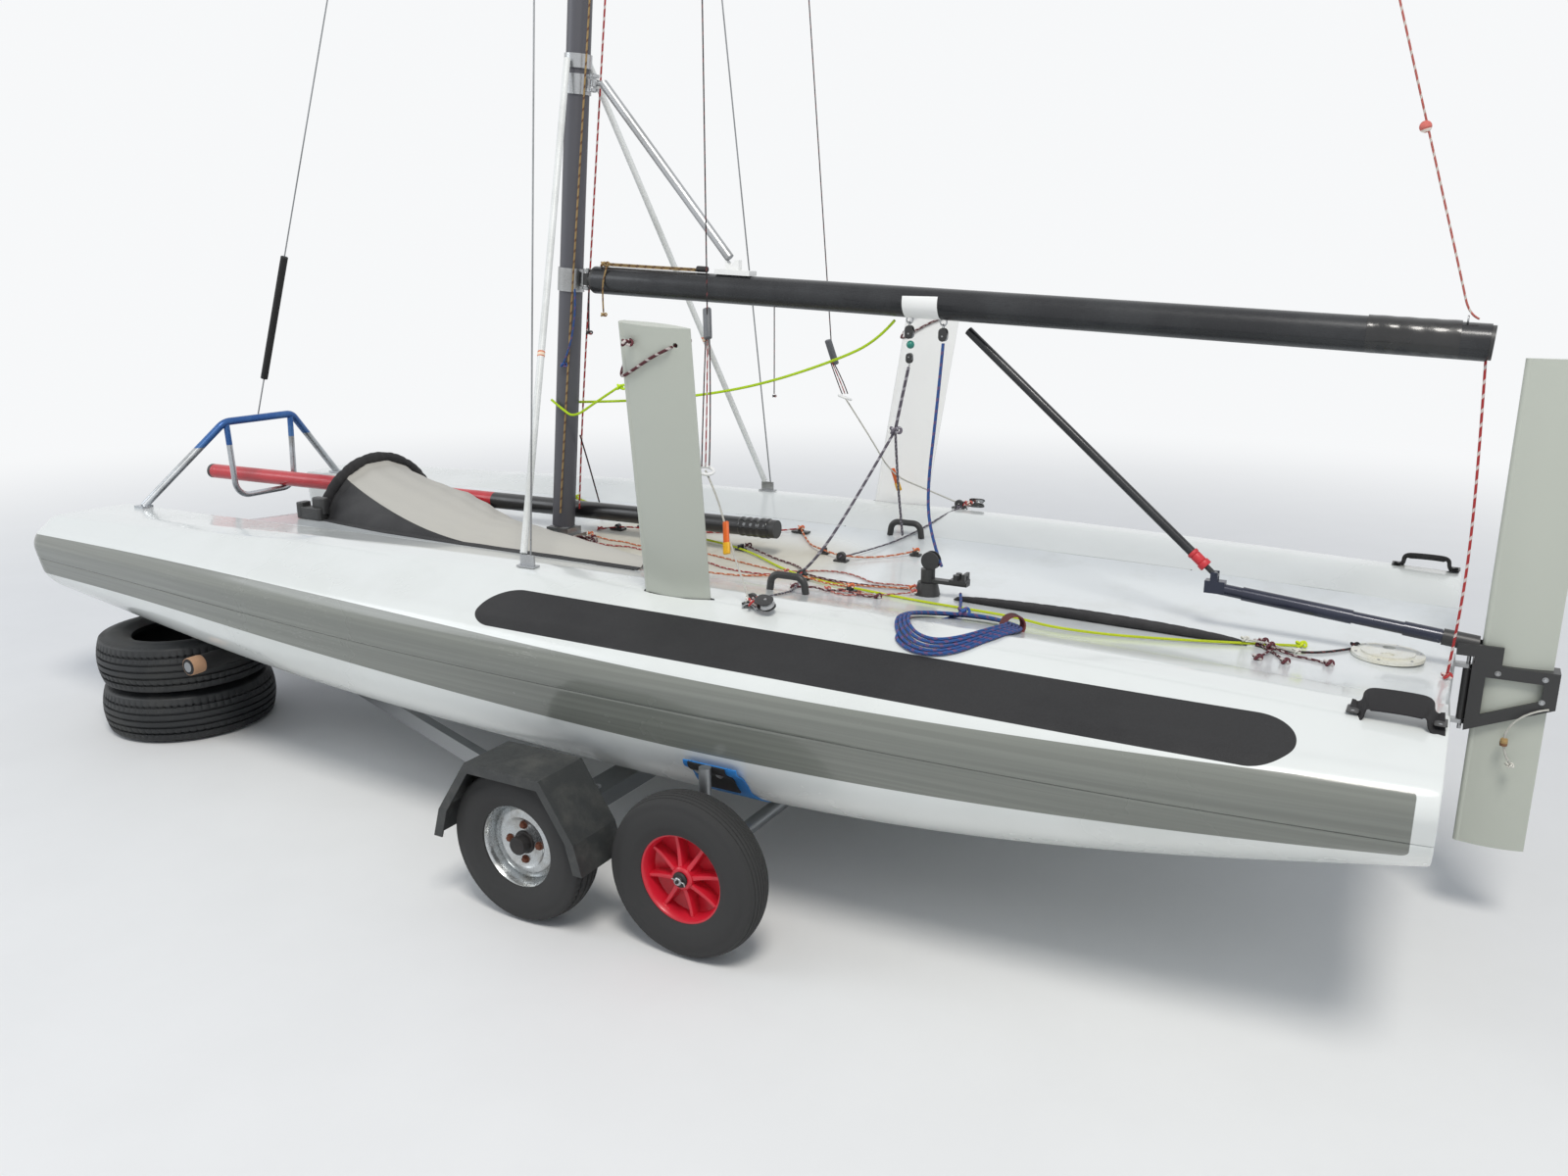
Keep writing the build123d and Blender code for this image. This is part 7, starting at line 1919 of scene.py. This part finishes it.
@dataclass
class Rigging:
    """All the ropes that are held at both ends, in tables."""

    form: HullForm

    def build(self) -> None:
        """Makes every rope of the tables."""
        for line in (*self.to_the_boom(), *self.on_the_boom(), *self.at_the_mast(), *self.on_the_deck(),
                     *self.trapeze_lines(), *self.on_the_rudder()):
            line.build()

    def to_the_boom(self) -> list:
        """Ropes between hull and boom, and the two lines at the boom's end, which ride on the boom."""
        return [
            Line("neon_rope_port", ROPE_NEON, 0.004, (
                (-0.469, -0.045, 1.147), (-0.42, -0.05, 1.118), (-0.374, -0.05, 1.095), (-0.29, -0.04, 1.15),
                (-0.199, -0.03, 1.204)), knots=((-0.199, -0.03, 1.2),)),
            Line("neon_rope_aft", ROPE_NEON, 0.004, (
                (-0.427, 0.04, 1.134), (-0.21, 0.01, 1.15), (0.063, 0.0, 1.181), (0.304, 0.0, 1.229),
                (0.55, 0.0, 1.31), (0.674, 0.0, 1.367), (0.727, 0.0, 1.425)), "boom",
                ((-0.36, 0.0, 1.14), (0.45, 0.0, 1.28))),
            Line("grey_strop", ROPE_GREY, 0.0046, (
                (0.772, 0.0, 1.297), (0.742, 0.026, 1.205), (0.714, 0.05, 1.112)), "boom",
                ((0.7, 0.05, 1.06), (0.772, 0.0, 1.32)), ((0.714, 0.05, 1.112),)),
            Line("grey_strop_near", ROPE_GREY, 0.004, (
                (0.714, 0.05, 1.112), (0.64, -0.05, 0.92), (0.56, -0.15, 0.745),
                (0.5, -0.12, self.form.deck_height(0.5, -0.12) + 0.022))),
            Line("grey_strop_far", ROPE_GREY, 0.004, (
                (0.714, 0.05, 1.112), (0.66, 0.2, 0.93), (0.612, 0.35, 0.765),
                (0.604, 0.376, self.form.deck_height(0.604, 0.376) + 0.014))),
            Line("blue_sheet", ROPE_BLUE, 0.0045, (
                (0.873, 0.0, 1.366), (0.86, 0.0, 1.18), (0.839, 0.0, 0.959), (0.868, -0.04, 0.84),
                (0.925, -0.088, 0.762)), "boom", ((0.868, -0.04, 0.84), (0.872, 0.0, 1.34))),
            Line("main_halyard", ROPE_PINK, 0.0024, (
                (2.15, -0.012, 1.459), (2.128, -0.012, 1.466), (2.104, -0.012, 1.545), (1.629, -0.012, 2.994),
                (1.154, -0.012, 4.442), (0.585, -0.012, 6.181), (0.205, -0.012, 7.34)), "boom",
                smoothness=12),
            Line("boom_end_tail", ROPE_RED, 0.003, (
                (2.186, -0.112, self.form.deck_height(2.186, -0.112) + 0.006), (2.194, -0.1, 0.78),
                (2.196, -0.06, 0.961), (2.184, -0.02, 1.209), (2.172, 0.0, 1.385)), "boom",
                knots=((2.186, -0.112, self.form.deck_height(2.186, -0.112) + 0.01),)),
            Line("front_blue_line", ROPE_BLUE, 0.003, (
                (-0.35, -0.05, 1.5), (-0.347, -0.052, 1.367), (-0.408, -0.05, 1.269)), "boom",
                ((-0.4, -0.05, 1.28), (-0.35, -0.05, 1.45)), ((-0.41, -0.048, 1.262),)),
        ]

    def on_the_boom(self) -> list:
        """Ropes that hang from or lie on the boom."""
        return [
            Line("boom_front_line", ROPE_DARK, 0.0028, (
                (-0.302, -0.04, 1.5), (-0.306, -0.042, 1.43), (-0.309, -0.04, 1.372)), "boom", None,
                ((-0.309, -0.04, 1.366),)),
            Line("boom_side_line", ROPE_TAN, 0.0026, (
                (-0.237, -0.03, 1.568), (-0.241, -0.048, 1.53), (-0.245, -0.047, 1.47), (-0.245, -0.045, 1.43)),
                "boom", None, ((-0.245, -0.045, 1.423),)),
            Line("boom_thin_line", ROPE_DARK, 0.0016, (
                (0.342, 0.0, 1.458), (0.342, 0.0, 1.33), (0.341, 0.0, 1.202)), "boom", None,
                ((0.341, 0.0, 1.196),)),
        ]

    def at_the_mast(self) -> list:
        """Halyards and control lines beside the mast."""
        deck = self.form.deck_height
        return [
            Line("mast_dark_line", ROPE_DARK, 0.0026, (
                (-0.384, -0.012, 1.032), (-0.43, 0.08, 0.94), (-0.547, 0.3, deck(-0.547, 0.3) + 0.004)),
                knots=((-0.547, 0.3, deck(-0.547, 0.3) + 0.008),)),
            Line("halyard_tan", ROPE_TAN, 0.003, (
                (0.15, -0.03, 5.65), (-0.05, -0.033, 4.0), (-0.25, -0.036, 2.4), (-0.365, -0.04, 1.52),
                (-0.43, -0.042, 1.0), (-0.455, -0.044, 0.772)), smoothness=10),
            Line("halyard_red", ROPE_RED, 0.003, (
                (0.15, 0.03, 5.65), (-0.05, 0.034, 4.0), (-0.25, 0.036, 2.4), (-0.362, 0.041, 1.52),
                (-0.425, 0.043, 1.0), (-0.446, 0.046, 0.772)), smoothness=10),
        ]

    def on_the_deck(self) -> list:
        """Control lines laid over the deck between their blocks and cleats."""
        lay = self.form.lay

        def line(name: str, finish: Finish, radius: float, points: tuple, knots: bool = True) -> Line:
            """One rope laid on the deck with a knot at each end."""
            rows = tuple(lay(list(points), radius + 0.0006))
            ends = tuple(tuple(np.asarray(rows[k]) + (0, 0, radius * 1.2)) for k in (0, -1)) if knots else ()
            return Line(name, finish, radius, rows, knots=ends)

        return [
            line("yellow_deck_line", ROPE_YELLOW, 0.0034, (
                (-0.745, 0.404), (-0.56, 0.33), (-0.356, 0.25), (-0.2, 0.165), (-0.042, 0.15, 0.006),
                (0.18, 0.1, 0.004), (0.406, -0.057), (0.56, -0.13), (0.719, -0.165), (0.9, -0.205),
                (1.085, -0.215), (1.2, -0.25, 0.004), (1.33, -0.33, 0.004), (1.54, -0.23), (1.863, -0.036))),
            line("red_line_a", ROPE_RED, 0.0026, (
                (-0.42, 0.12), (-0.364, 0.15, 0.012), (-0.2, 0.19), (-0.05, 0.225), (0.14, 0.29),
                (0.256, 0.33, 0.012))),
            line("red_line_b", ROPE_PINK, 0.0026, (
                (-0.48, -0.085), (-0.364, -0.148, 0.012), (-0.2, -0.215), (0.0, -0.27), (0.17, -0.312),
                (0.256, -0.332, 0.012))),
            line("orange_line", ROPE_ORANGE, 0.0028, (
                (0.256, -0.33, 0.012), (0.32, -0.24), (0.39, -0.18), (0.506, -0.131, 0.012), (0.6, -0.16),
                (0.7, -0.205, 0.012))),
            line("orange_line_far", ROPE_ORANGE, 0.0028, (
                (0.256, 0.33, 0.012), (0.33, 0.24), (0.4, 0.18, 0.012), (0.506, 0.131, 0.012),
                (0.62, 0.2), (0.7, 0.262, 0.012))),
            line("maroon_line", ROPE_MAROON, 0.003, (
                (0.18, 0.11, 0.012), (0.3, 0.06), (0.43, 0.01), (0.506, -0.13, 0.014), (0.64, -0.11),
                (0.8, -0.07), (0.862, -0.08, 0.004))),
            line("grey_line_port", ROPE_GREY, 0.0026, (
                (0.506, -0.131, 0.01), (0.58, -0.3), (0.64, -0.47), (0.668, -0.6), (0.676, -0.69))),
            line("grey_line_starboard", ROPE_GREY, 0.0026, (
                (0.506, 0.131, 0.01), (0.58, 0.3), (0.64, 0.47), (0.668, 0.6), (0.676, 0.69))),
            line("strap_end_tail_a", ROPE_MAROON, 0.003, (
                (1.77, -0.09, 0.004), (1.8, -0.13), (1.836, -0.19), (1.85, -0.24))),
            line("strap_end_tail_b", ROPE_MAROON, 0.003, (
                (1.8, -0.12, 0.008), (1.85, -0.15), (1.91, -0.15), (1.94, -0.175))),
            line("strap_end_tail_c", ROPE_MAROON, 0.003, (
                (1.78, -0.08, 0.006), (1.82, -0.1, 0.01), (1.8, -0.18, 0.003), (1.79, -0.25))),
            line("strap_end_tail_d", ROPE_WHITE, 0.0026, (
                (1.74, -0.11, 0.012), (1.79, -0.1, 0.012), (1.84, -0.13, 0.008), (1.86, -0.1))),
            line("red_loop_a", ROPE_RED, 0.0024, (
                (-0.4, -0.055, 0.004), (-0.33, -0.04), (-0.25, -0.055), (-0.18, -0.03), (-0.1, -0.06),
                (0.02, -0.05), (0.16, -0.09), (0.256, -0.15), (0.42, -0.15), (0.506, -0.131, 0.014))),
            line("orange_loop_a", ROPE_ORANGE, 0.0024, (
                (-0.4, 0.04, 0.004), (-0.31, 0.01), (-0.24, 0.02), (-0.16, -0.01), (-0.06, 0.006),
                (0.06, 0.02), (0.2, -0.02), (0.33, -0.06), (0.48, -0.09), (0.7, -0.13),
                (0.83, -0.075, 0.006))),
            line("pink_loop_a", ROPE_PINK, 0.0024, (
                (0.64, -0.23), (0.7, -0.3), (0.76, -0.25), (0.73, -0.18), (0.65, -0.2),
                (0.7, -0.26, 0.006), (0.8, -0.215), (0.86, -0.13, 0.008))),
            line("pink_loop_b", ROPE_PINK, 0.0024, (
                (0.42, -0.07), (0.48, -0.01), (0.56, 0.02), (0.64, -0.01), (0.7, -0.06),
                (0.78, -0.03), (0.845, -0.07, 0.01))),
            line("maroon_knot_line", ROPE_MAROON, 0.003, (
                (0.56, -0.28), (0.61, -0.24, 0.004), (0.65, -0.27), (0.7, -0.235, 0.006), (0.76, -0.27),
                (0.8, -0.24))),
        ]

    def trapeze_lines(self) -> list:
        """The trapeze wires, their adjusters and their shock cords, on both sides."""
        lines = []
        for side, name, block, ring, handle, rail in (
                (-1, "port", (0.396, -0.45, 1.427), (0.479, -0.6, 1.07), (0.555, -0.64, 0.96),
                 (0.668, -0.708, 0.0)),
                (1, "starboard", (0.33, 0.4, 1.3), (0.352, 0.455, 1.15), (0.463, 0.6, 0.879),
                 (0.672, 0.706, 0.0))):
            top = (0.13, side * 0.044, 5.7)
            foot = (rail[0], rail[1], self.form.deck_height(rail[0], rail[1]) + 0.018)
            middle = tuple((np.asarray(top) + np.asarray(block)) / 2 + (0.004, 0, 0))
            lines.append(Line(f"trapeze_wire_{name}", ROPE_DARK, 0.0018, (top, middle, block)))
            for index, shift in enumerate((-0.01, 0.0, 0.01)):
                low = np.asarray(ring) + (shift * 0.5, shift, 0.012)
                high = np.asarray(block) + (shift * 0.2, shift * 0.5, -0.03)
                way = tuple((low + high) / 2 + (0.002 * index, shift * 0.3, 0))
                lines.append(Line(f"trapeze_tackle_{name}_{index}", (ROPE_DARK, ROPE_RED, ROPE_DARK)[index], 0.0018,
                                  (tuple(high), way, tuple(low))))
            lines.append(Line(f"trapeze_cord_{name}", ROPE_WHITE, 0.0026, (
                ring, tuple((np.asarray(ring) + np.asarray(handle)) / 2 + (0.006, 0, 0)), handle,
                tuple((np.asarray(handle) + np.asarray(foot)) / 2 + (0, side * 0.004, 0)), foot),
                knots=(foot,)))
        return lines

    def on_the_rudder(self) -> list:
        """The rudder's down-line and the lifting ropes of the boards."""
        lines = [Line("rudder_cord", ROPE_WHITE, 0.0024, (
            (2.401, -0.03, 0.586), (2.38, -0.036, 0.582), (2.345, -0.042, 0.56), (2.323, -0.044, 0.528),
            (2.322, -0.044, 0.49), (2.33, -0.044, 0.462), (2.341, -0.044, 0.446)), "rudder", None,
            ((2.341, -0.044, 0.442),))]
        make_piece("rudder_bead", [revolve([(0.003, -0.01), (0.0078, -0.008), (0.0086, 0.0), (0.0074, 0.009),
                                            (0.003, 0.011)], (2.3222, -0.044, 0.496), (0.0, 0.0, 1.0), 20, False)],
                   ROPE_TAN, "rudder")
        for side, name in SIDES:
            def at(x: float, y: float, z: float) -> Point:
                """A point of the board's own axes in the boat's."""
                return tuple(float(v) for v in board_point(side, np.array(x), np.array(y), np.array(z)))

            near = 0.0205
            points = (at(-0.06, -0.03, 0.655), at(-0.06, near, 0.655), at(-0.085, near + 0.001, 0.63),
                      at(-0.104, 0.006, 0.585), at(-0.103, -0.01, 0.56), at(-0.06, -near - 0.001, 0.585),
                      at(0.0, -near - 0.001, 0.625), at(0.06, -near, 0.655), at(0.06, 0.03, 0.655))
            lines.append(Line(f"board_rope_{name}", ROPE_MAROON, 0.0036, points, f"board_{name}", None,
                              (points[0], points[-1])))
        return lines


@dataclass
class LooseRopes:
    """Free ropes: the mainsheet's coil, the small coil and the tail.

    upward is nearly straight up, a way that no flat rope runs along.
    """

    form: HullForm
    upward: Point = (0.03, 0.02, 1.0)

    def build(self) -> None:
        self.mainsheet()
        self.maroon_coil()
        self.bungee()

    def free(self, name: str, finish: Finish, radius: float, points: list, end_knot: Point, lay: str,
             stiffness: str = "limp") -> None:
        """One free rope that leaves at its first point and ends in a knot.

        Args:
            name: the piece's name.
            finish: its finish.
            radius: half its thickness.
            points: its control points.
            end_knot: where its end knot is.
            lay: how it lies; not used.
            stiffness: how stiff it is; not used.
        """
        path = rope_path(points, 10)
        piece = make_piece(name, [tube(path, radius, 10, self.upward)], finish, angle=70)
        end = make_piece(f"{name}_end", [knot(end_knot, radius * 7.0, radius * 0.9)], finish, angle=70)

    def mainsheet(self) -> None:
        """The mainsheet's tail: from its cam to a loose round coil on the port side of the cockpit.

        The coil's points lie on an ellipse whose two half axes shrink a diameter and a bit each turn.
        """
        radius = 0.0042
        rows = [(0.985, -0.092, 0.012), (1.006, -0.14, 0.003), (1.04, -0.24, 0.0), (1.09, -0.345, 0.0)]
        turns, per = 5, 14
        long_way, cross_way = np.array([0.73, 0.68]), np.array([0.36, -0.93])
        for index in range(4, turns * per + 1):
            turn = index / per
            angle = np.radians(-90) - 2 * np.pi * turn
            shrink = 0.0098 * turn
            place = (np.array([1.16, -0.566]) + long_way * (0.172 - shrink) * math.cos(angle)
                     + cross_way * (0.205 - shrink) * math.sin(angle))
            rows.append((place[0], place[1], 0.0022 * turn + 0.0015 * math.sin(2.3 * turn) ** 2))
        points = self.form.lay(rows, radius + 0.001)
        end = points[-1]
        tail = (end[0] + 0.01, end[1] + 0.01, end[2] + 0.004)
        self.free("mainsheet_tail", ROPE_BLUE, radius, points, tail, "coiled")
        tie_at = (1.262, -0.472)
        height = self.form.deck_height(*tie_at)
        wraps = [ring_at((tie_at[0] + 0.004 * k, tie_at[1] - 0.004 * k, height + 0.012), (0.68, -0.73, 0.0), 0.027,
                         0.0024, ROPE_DARK, 30) for k in range(-2, 3)]
        make_piece("coil_tie", wraps, ROPE_DARK)

    def maroon_coil(self) -> None:
        """A small loose coil beside the mast's foot."""
        radius = 0.0026
        rows, turns, per = [(-0.35, 0.01)], 3, 13
        for index in range(turns * per + 1):
            angle = 2 * np.pi * index / per + 0.6
            size = 0.06 - 0.004 * index / per
            rows.append((-0.352 + size * math.cos(angle), -0.078 + size * 0.9 * math.sin(angle),
                         0.0058 * index / per))
        points = self.form.lay(rows, radius + 0.001)
        end = points[-1]
        self.free("maroon_coil", ROPE_MAROON, radius, points, (end[0] - 0.006, end[1] + 0.004, end[2] + 0.003),
                  "coiled")

    def bungee(self) -> None:
        """The shock cord's tail aft of the cockpit, with a knot on its end."""
        radius = 0.003
        rows = [(1.765, -0.102), (1.8, -0.112), (1.85, -0.108), (1.9, -0.08), (1.945, -0.03), (1.988, 0.032)]
        points = self.form.lay(rows, radius + 0.001)
        end = points[-1]
        self.free("bungee_tail", ROPE_DARK, radius, points, (end[0] - 0.008, end[1] + 0.004, end[2] + 0.004),
                  "loose", "medium")


# Studio

@dataclass
class Studio:
    """The camera at the photo's angle, a pale floor and soft lamps."""

    camera_place: Point = (2.146, -3.2, 1.58)
    camera_pitch: float = 75.126
    camera_yaw: float = 28.97
    lens: float = 28.125
    sensor: float = 36.0
    floor_size: float = 60.0

    def build(self) -> None:
        """Makes everything that isn't the object."""
        scene = bpy.context.scene
        camera = bpy.data.cameras.new("camera")
        camera.lens, camera.sensor_width, camera.clip_end = self.lens, self.sensor, 200.0
        holder = bpy.data.objects.new("camera", camera)
        holder.location = self.camera_place
        holder.rotation_euler = (math.radians(self.camera_pitch), 0.0, math.radians(self.camera_yaw))
        scene.collection.objects.link(holder)
        scene.camera = holder
        scene.view_settings.view_transform = "Standard"
        self.floor()
        self.lamps()

    def floor(self) -> None:
        """A wide pale floor that shows white to the camera and in reflections, with the object's shadow."""
        side = self.floor_size
        mesh = bpy.data.meshes.new("floor")
        mesh.from_pydata([(-side, -side, 0), (side, -side, 0), (side, side, 0), (-side, side, 0)], [], [(0, 1, 2, 3)])
        ground = bpy.data.objects.new("floor", mesh)
        bpy.context.collection.objects.link(ground)
        material, graph, shader, place = new_material("floor")
        tone = graph.step(graph.noise(place, 3.0, 4.0), 0.3, 0.7)
        graph.shade(shader, Base_Color=graph.mix(tone, S(232, 232, 231), S(234, 234, 233)), Roughness=0.8)
        mesh.materials.append(material)
        self.fade(graph, place)

    def fade(self, graph: Graph, place: bpy.types.NodeSocket) -> None:
        """Turns the floor to the world's own pale tone with distance, so that no horizon line shows.

        The share is a smooth step of the distance from the object's foot.
        """
        nodes = graph.tree.nodes
        far = graph.add("ShaderNodeVectorMath", {"operation": "LENGTH"})
        graph.put(far.inputs[0], place)
        share = graph.step(far.outputs["Value"], 2.6, 9.0)
        glow = graph.add("ShaderNodeEmission", None, Color=(0.93, 0.94, 0.95), Strength=1.0)
        blend = graph.add("ShaderNodeMixShader")
        for index, value in enumerate((share, nodes["Principled BSDF"].outputs[0], glow.outputs[0])):
            graph.put(blend.inputs[index], value)
        graph.put(nodes["Material Output"].inputs["Surface"], blend.outputs[0])

    def lamps(self) -> None:
        """A bright sky with one large soft key high on the port quarter and a weaker fill ahead."""
        world = bpy.data.worlds.new("sky")
        bpy.context.scene.world = world
        world.use_nodes = True
        graph = Graph(world.node_tree)
        back = world.node_tree.nodes["Background"]
        light = graph.add("ShaderNodeLightPath")
        seen = graph.larger(light.outputs["Is Camera Ray"], light.outputs["Is Glossy Ray"])
        seen = graph.larger(seen, light.outputs["Is Transmission Ray"])
        graph.put(back.inputs["Color"], graph.mix(seen, (0.84, 0.9, 1.0), (0.93, 0.94, 0.95)))
        graph.put(back.inputs["Strength"], graph.step(seen, 0.0, 1.0, 0.55, 1.0))
        for name, place, aim, size, power, colour in (
                ("key", (3.5, -4.5, 8.5), (-0.2, 0.0, 0.6), 3.0, 480.0, (1.0, 0.97, 0.92)),
                ("fill", (-7.0, -5.0, 5.0), (0.0, 0.0, 0.6), 5.0, 160.0, (0.92, 0.96, 1.0))):
            lamp = bpy.data.lights.new(name, "AREA")
            lamp.shape, lamp.size, lamp.energy, lamp.color = "DISK", size, power, colour
            holder = bpy.data.objects.new(name, lamp)
            holder.location = place
            way = np.array(aim) - np.array(place)
            flat = math.hypot(way[0], way[1])
            holder.rotation_euler = (math.atan2(flat, -way[2]), 0.0, math.atan2(way[1], way[0]) - math.pi / 2)
            bpy.context.scene.collection.objects.link(holder)


# What the CAD nodes are finished with
CAD_FINISHES = {
    "hatch_cover": HATCH_CREAM, "mast": MAST_GREY, "mast_step": STEEL, "mast_fittings": STEEL,
    "spreaders": MAST_GREY, "cap_shrouds": WIRE, "lower_shrouds": SHROUD_WHITE, "forestay": WIRE,
    "forestay_sleeve": FOAM_BLACK, "chainplates": STEEL,
    "bowsprit_caps": BLACK_PLASTIC, "chute_hoop": WEBBING_BLACK, "chute_cover": COVER_CLOTH,
    "boom_spar": BOOM_BLACK, "boom_fittings": BLACK_PLASTIC, "gnav_strut": STEEL, "gnav_slider": WHITE_PLASTIC,
    "deck_blocks": BLACK_PLASTIC, "grab_handles": BLACK_PLASTIC, "quarter_handles": WEBBING_BLACK,
    "sheet_base": BLACK_PLASTIC, "sheet_swivel": BLACK_PLASTIC, "toe_strap": WEBBING_BLACK,
    "transom_fitting": STEEL, "rudder_stock": BLACK_PLASTIC, "tiller": TILLER_NAVY,
    "tiller_extension": BOOM_BLACK, "rudder_blade": FOIL_GREY, "daggerboard_port": FOIL_GREY,
    "daggerboard_starboard": FOIL_WHITE, "trolley_frame": GALVANISED, "trolley_slings": WEBBING_BLUE,
    "trolley_bar_pads": FOAM_TAN, "trailer_axle": GALVANISED, "trailer_frame": GALVANISED,
    "coupling_head": GALVANISED, "mudguards": GUARD_BLACK, "bow_tyres": OLD_TYRE,
    **{f"{wheel}_{name}": finish for _, name in SIDES
       for wheel, finish in (("trolley_tyre", TYRE), ("trolley_rim", RIM_RED), ("trailer_tyre", TYRE),
                             ("trailer_rim", RIM_SILVER))},
}


def main() -> None:
    """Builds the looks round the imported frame."""
    Studio().build()
    make_wear_group()
    make_scratch_group()
    make_weave_group()
    make_strand_group()
    for node, finish in CAD_FINISHES.items():
        dress(frame["nodes"][node], finish.build())
    form = HullForm()
    Hulls(form).build()
    for maker in (BridgeSkin(form), RollingWheels(), StackTyres(), ChuteCover(form), DeckStraps(form),
                  CradleGoods(), BoomGear(), DeckFittings(form), FrameDetails(), PaintedTubes(),
                  LooseRopes(form), Rigging(form)):
        maker.build()
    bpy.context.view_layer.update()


if __name__ == "__main__":
    logging.basicConfig(level=logging.INFO, format="%(name)s %(message)s")
    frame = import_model()
    main()
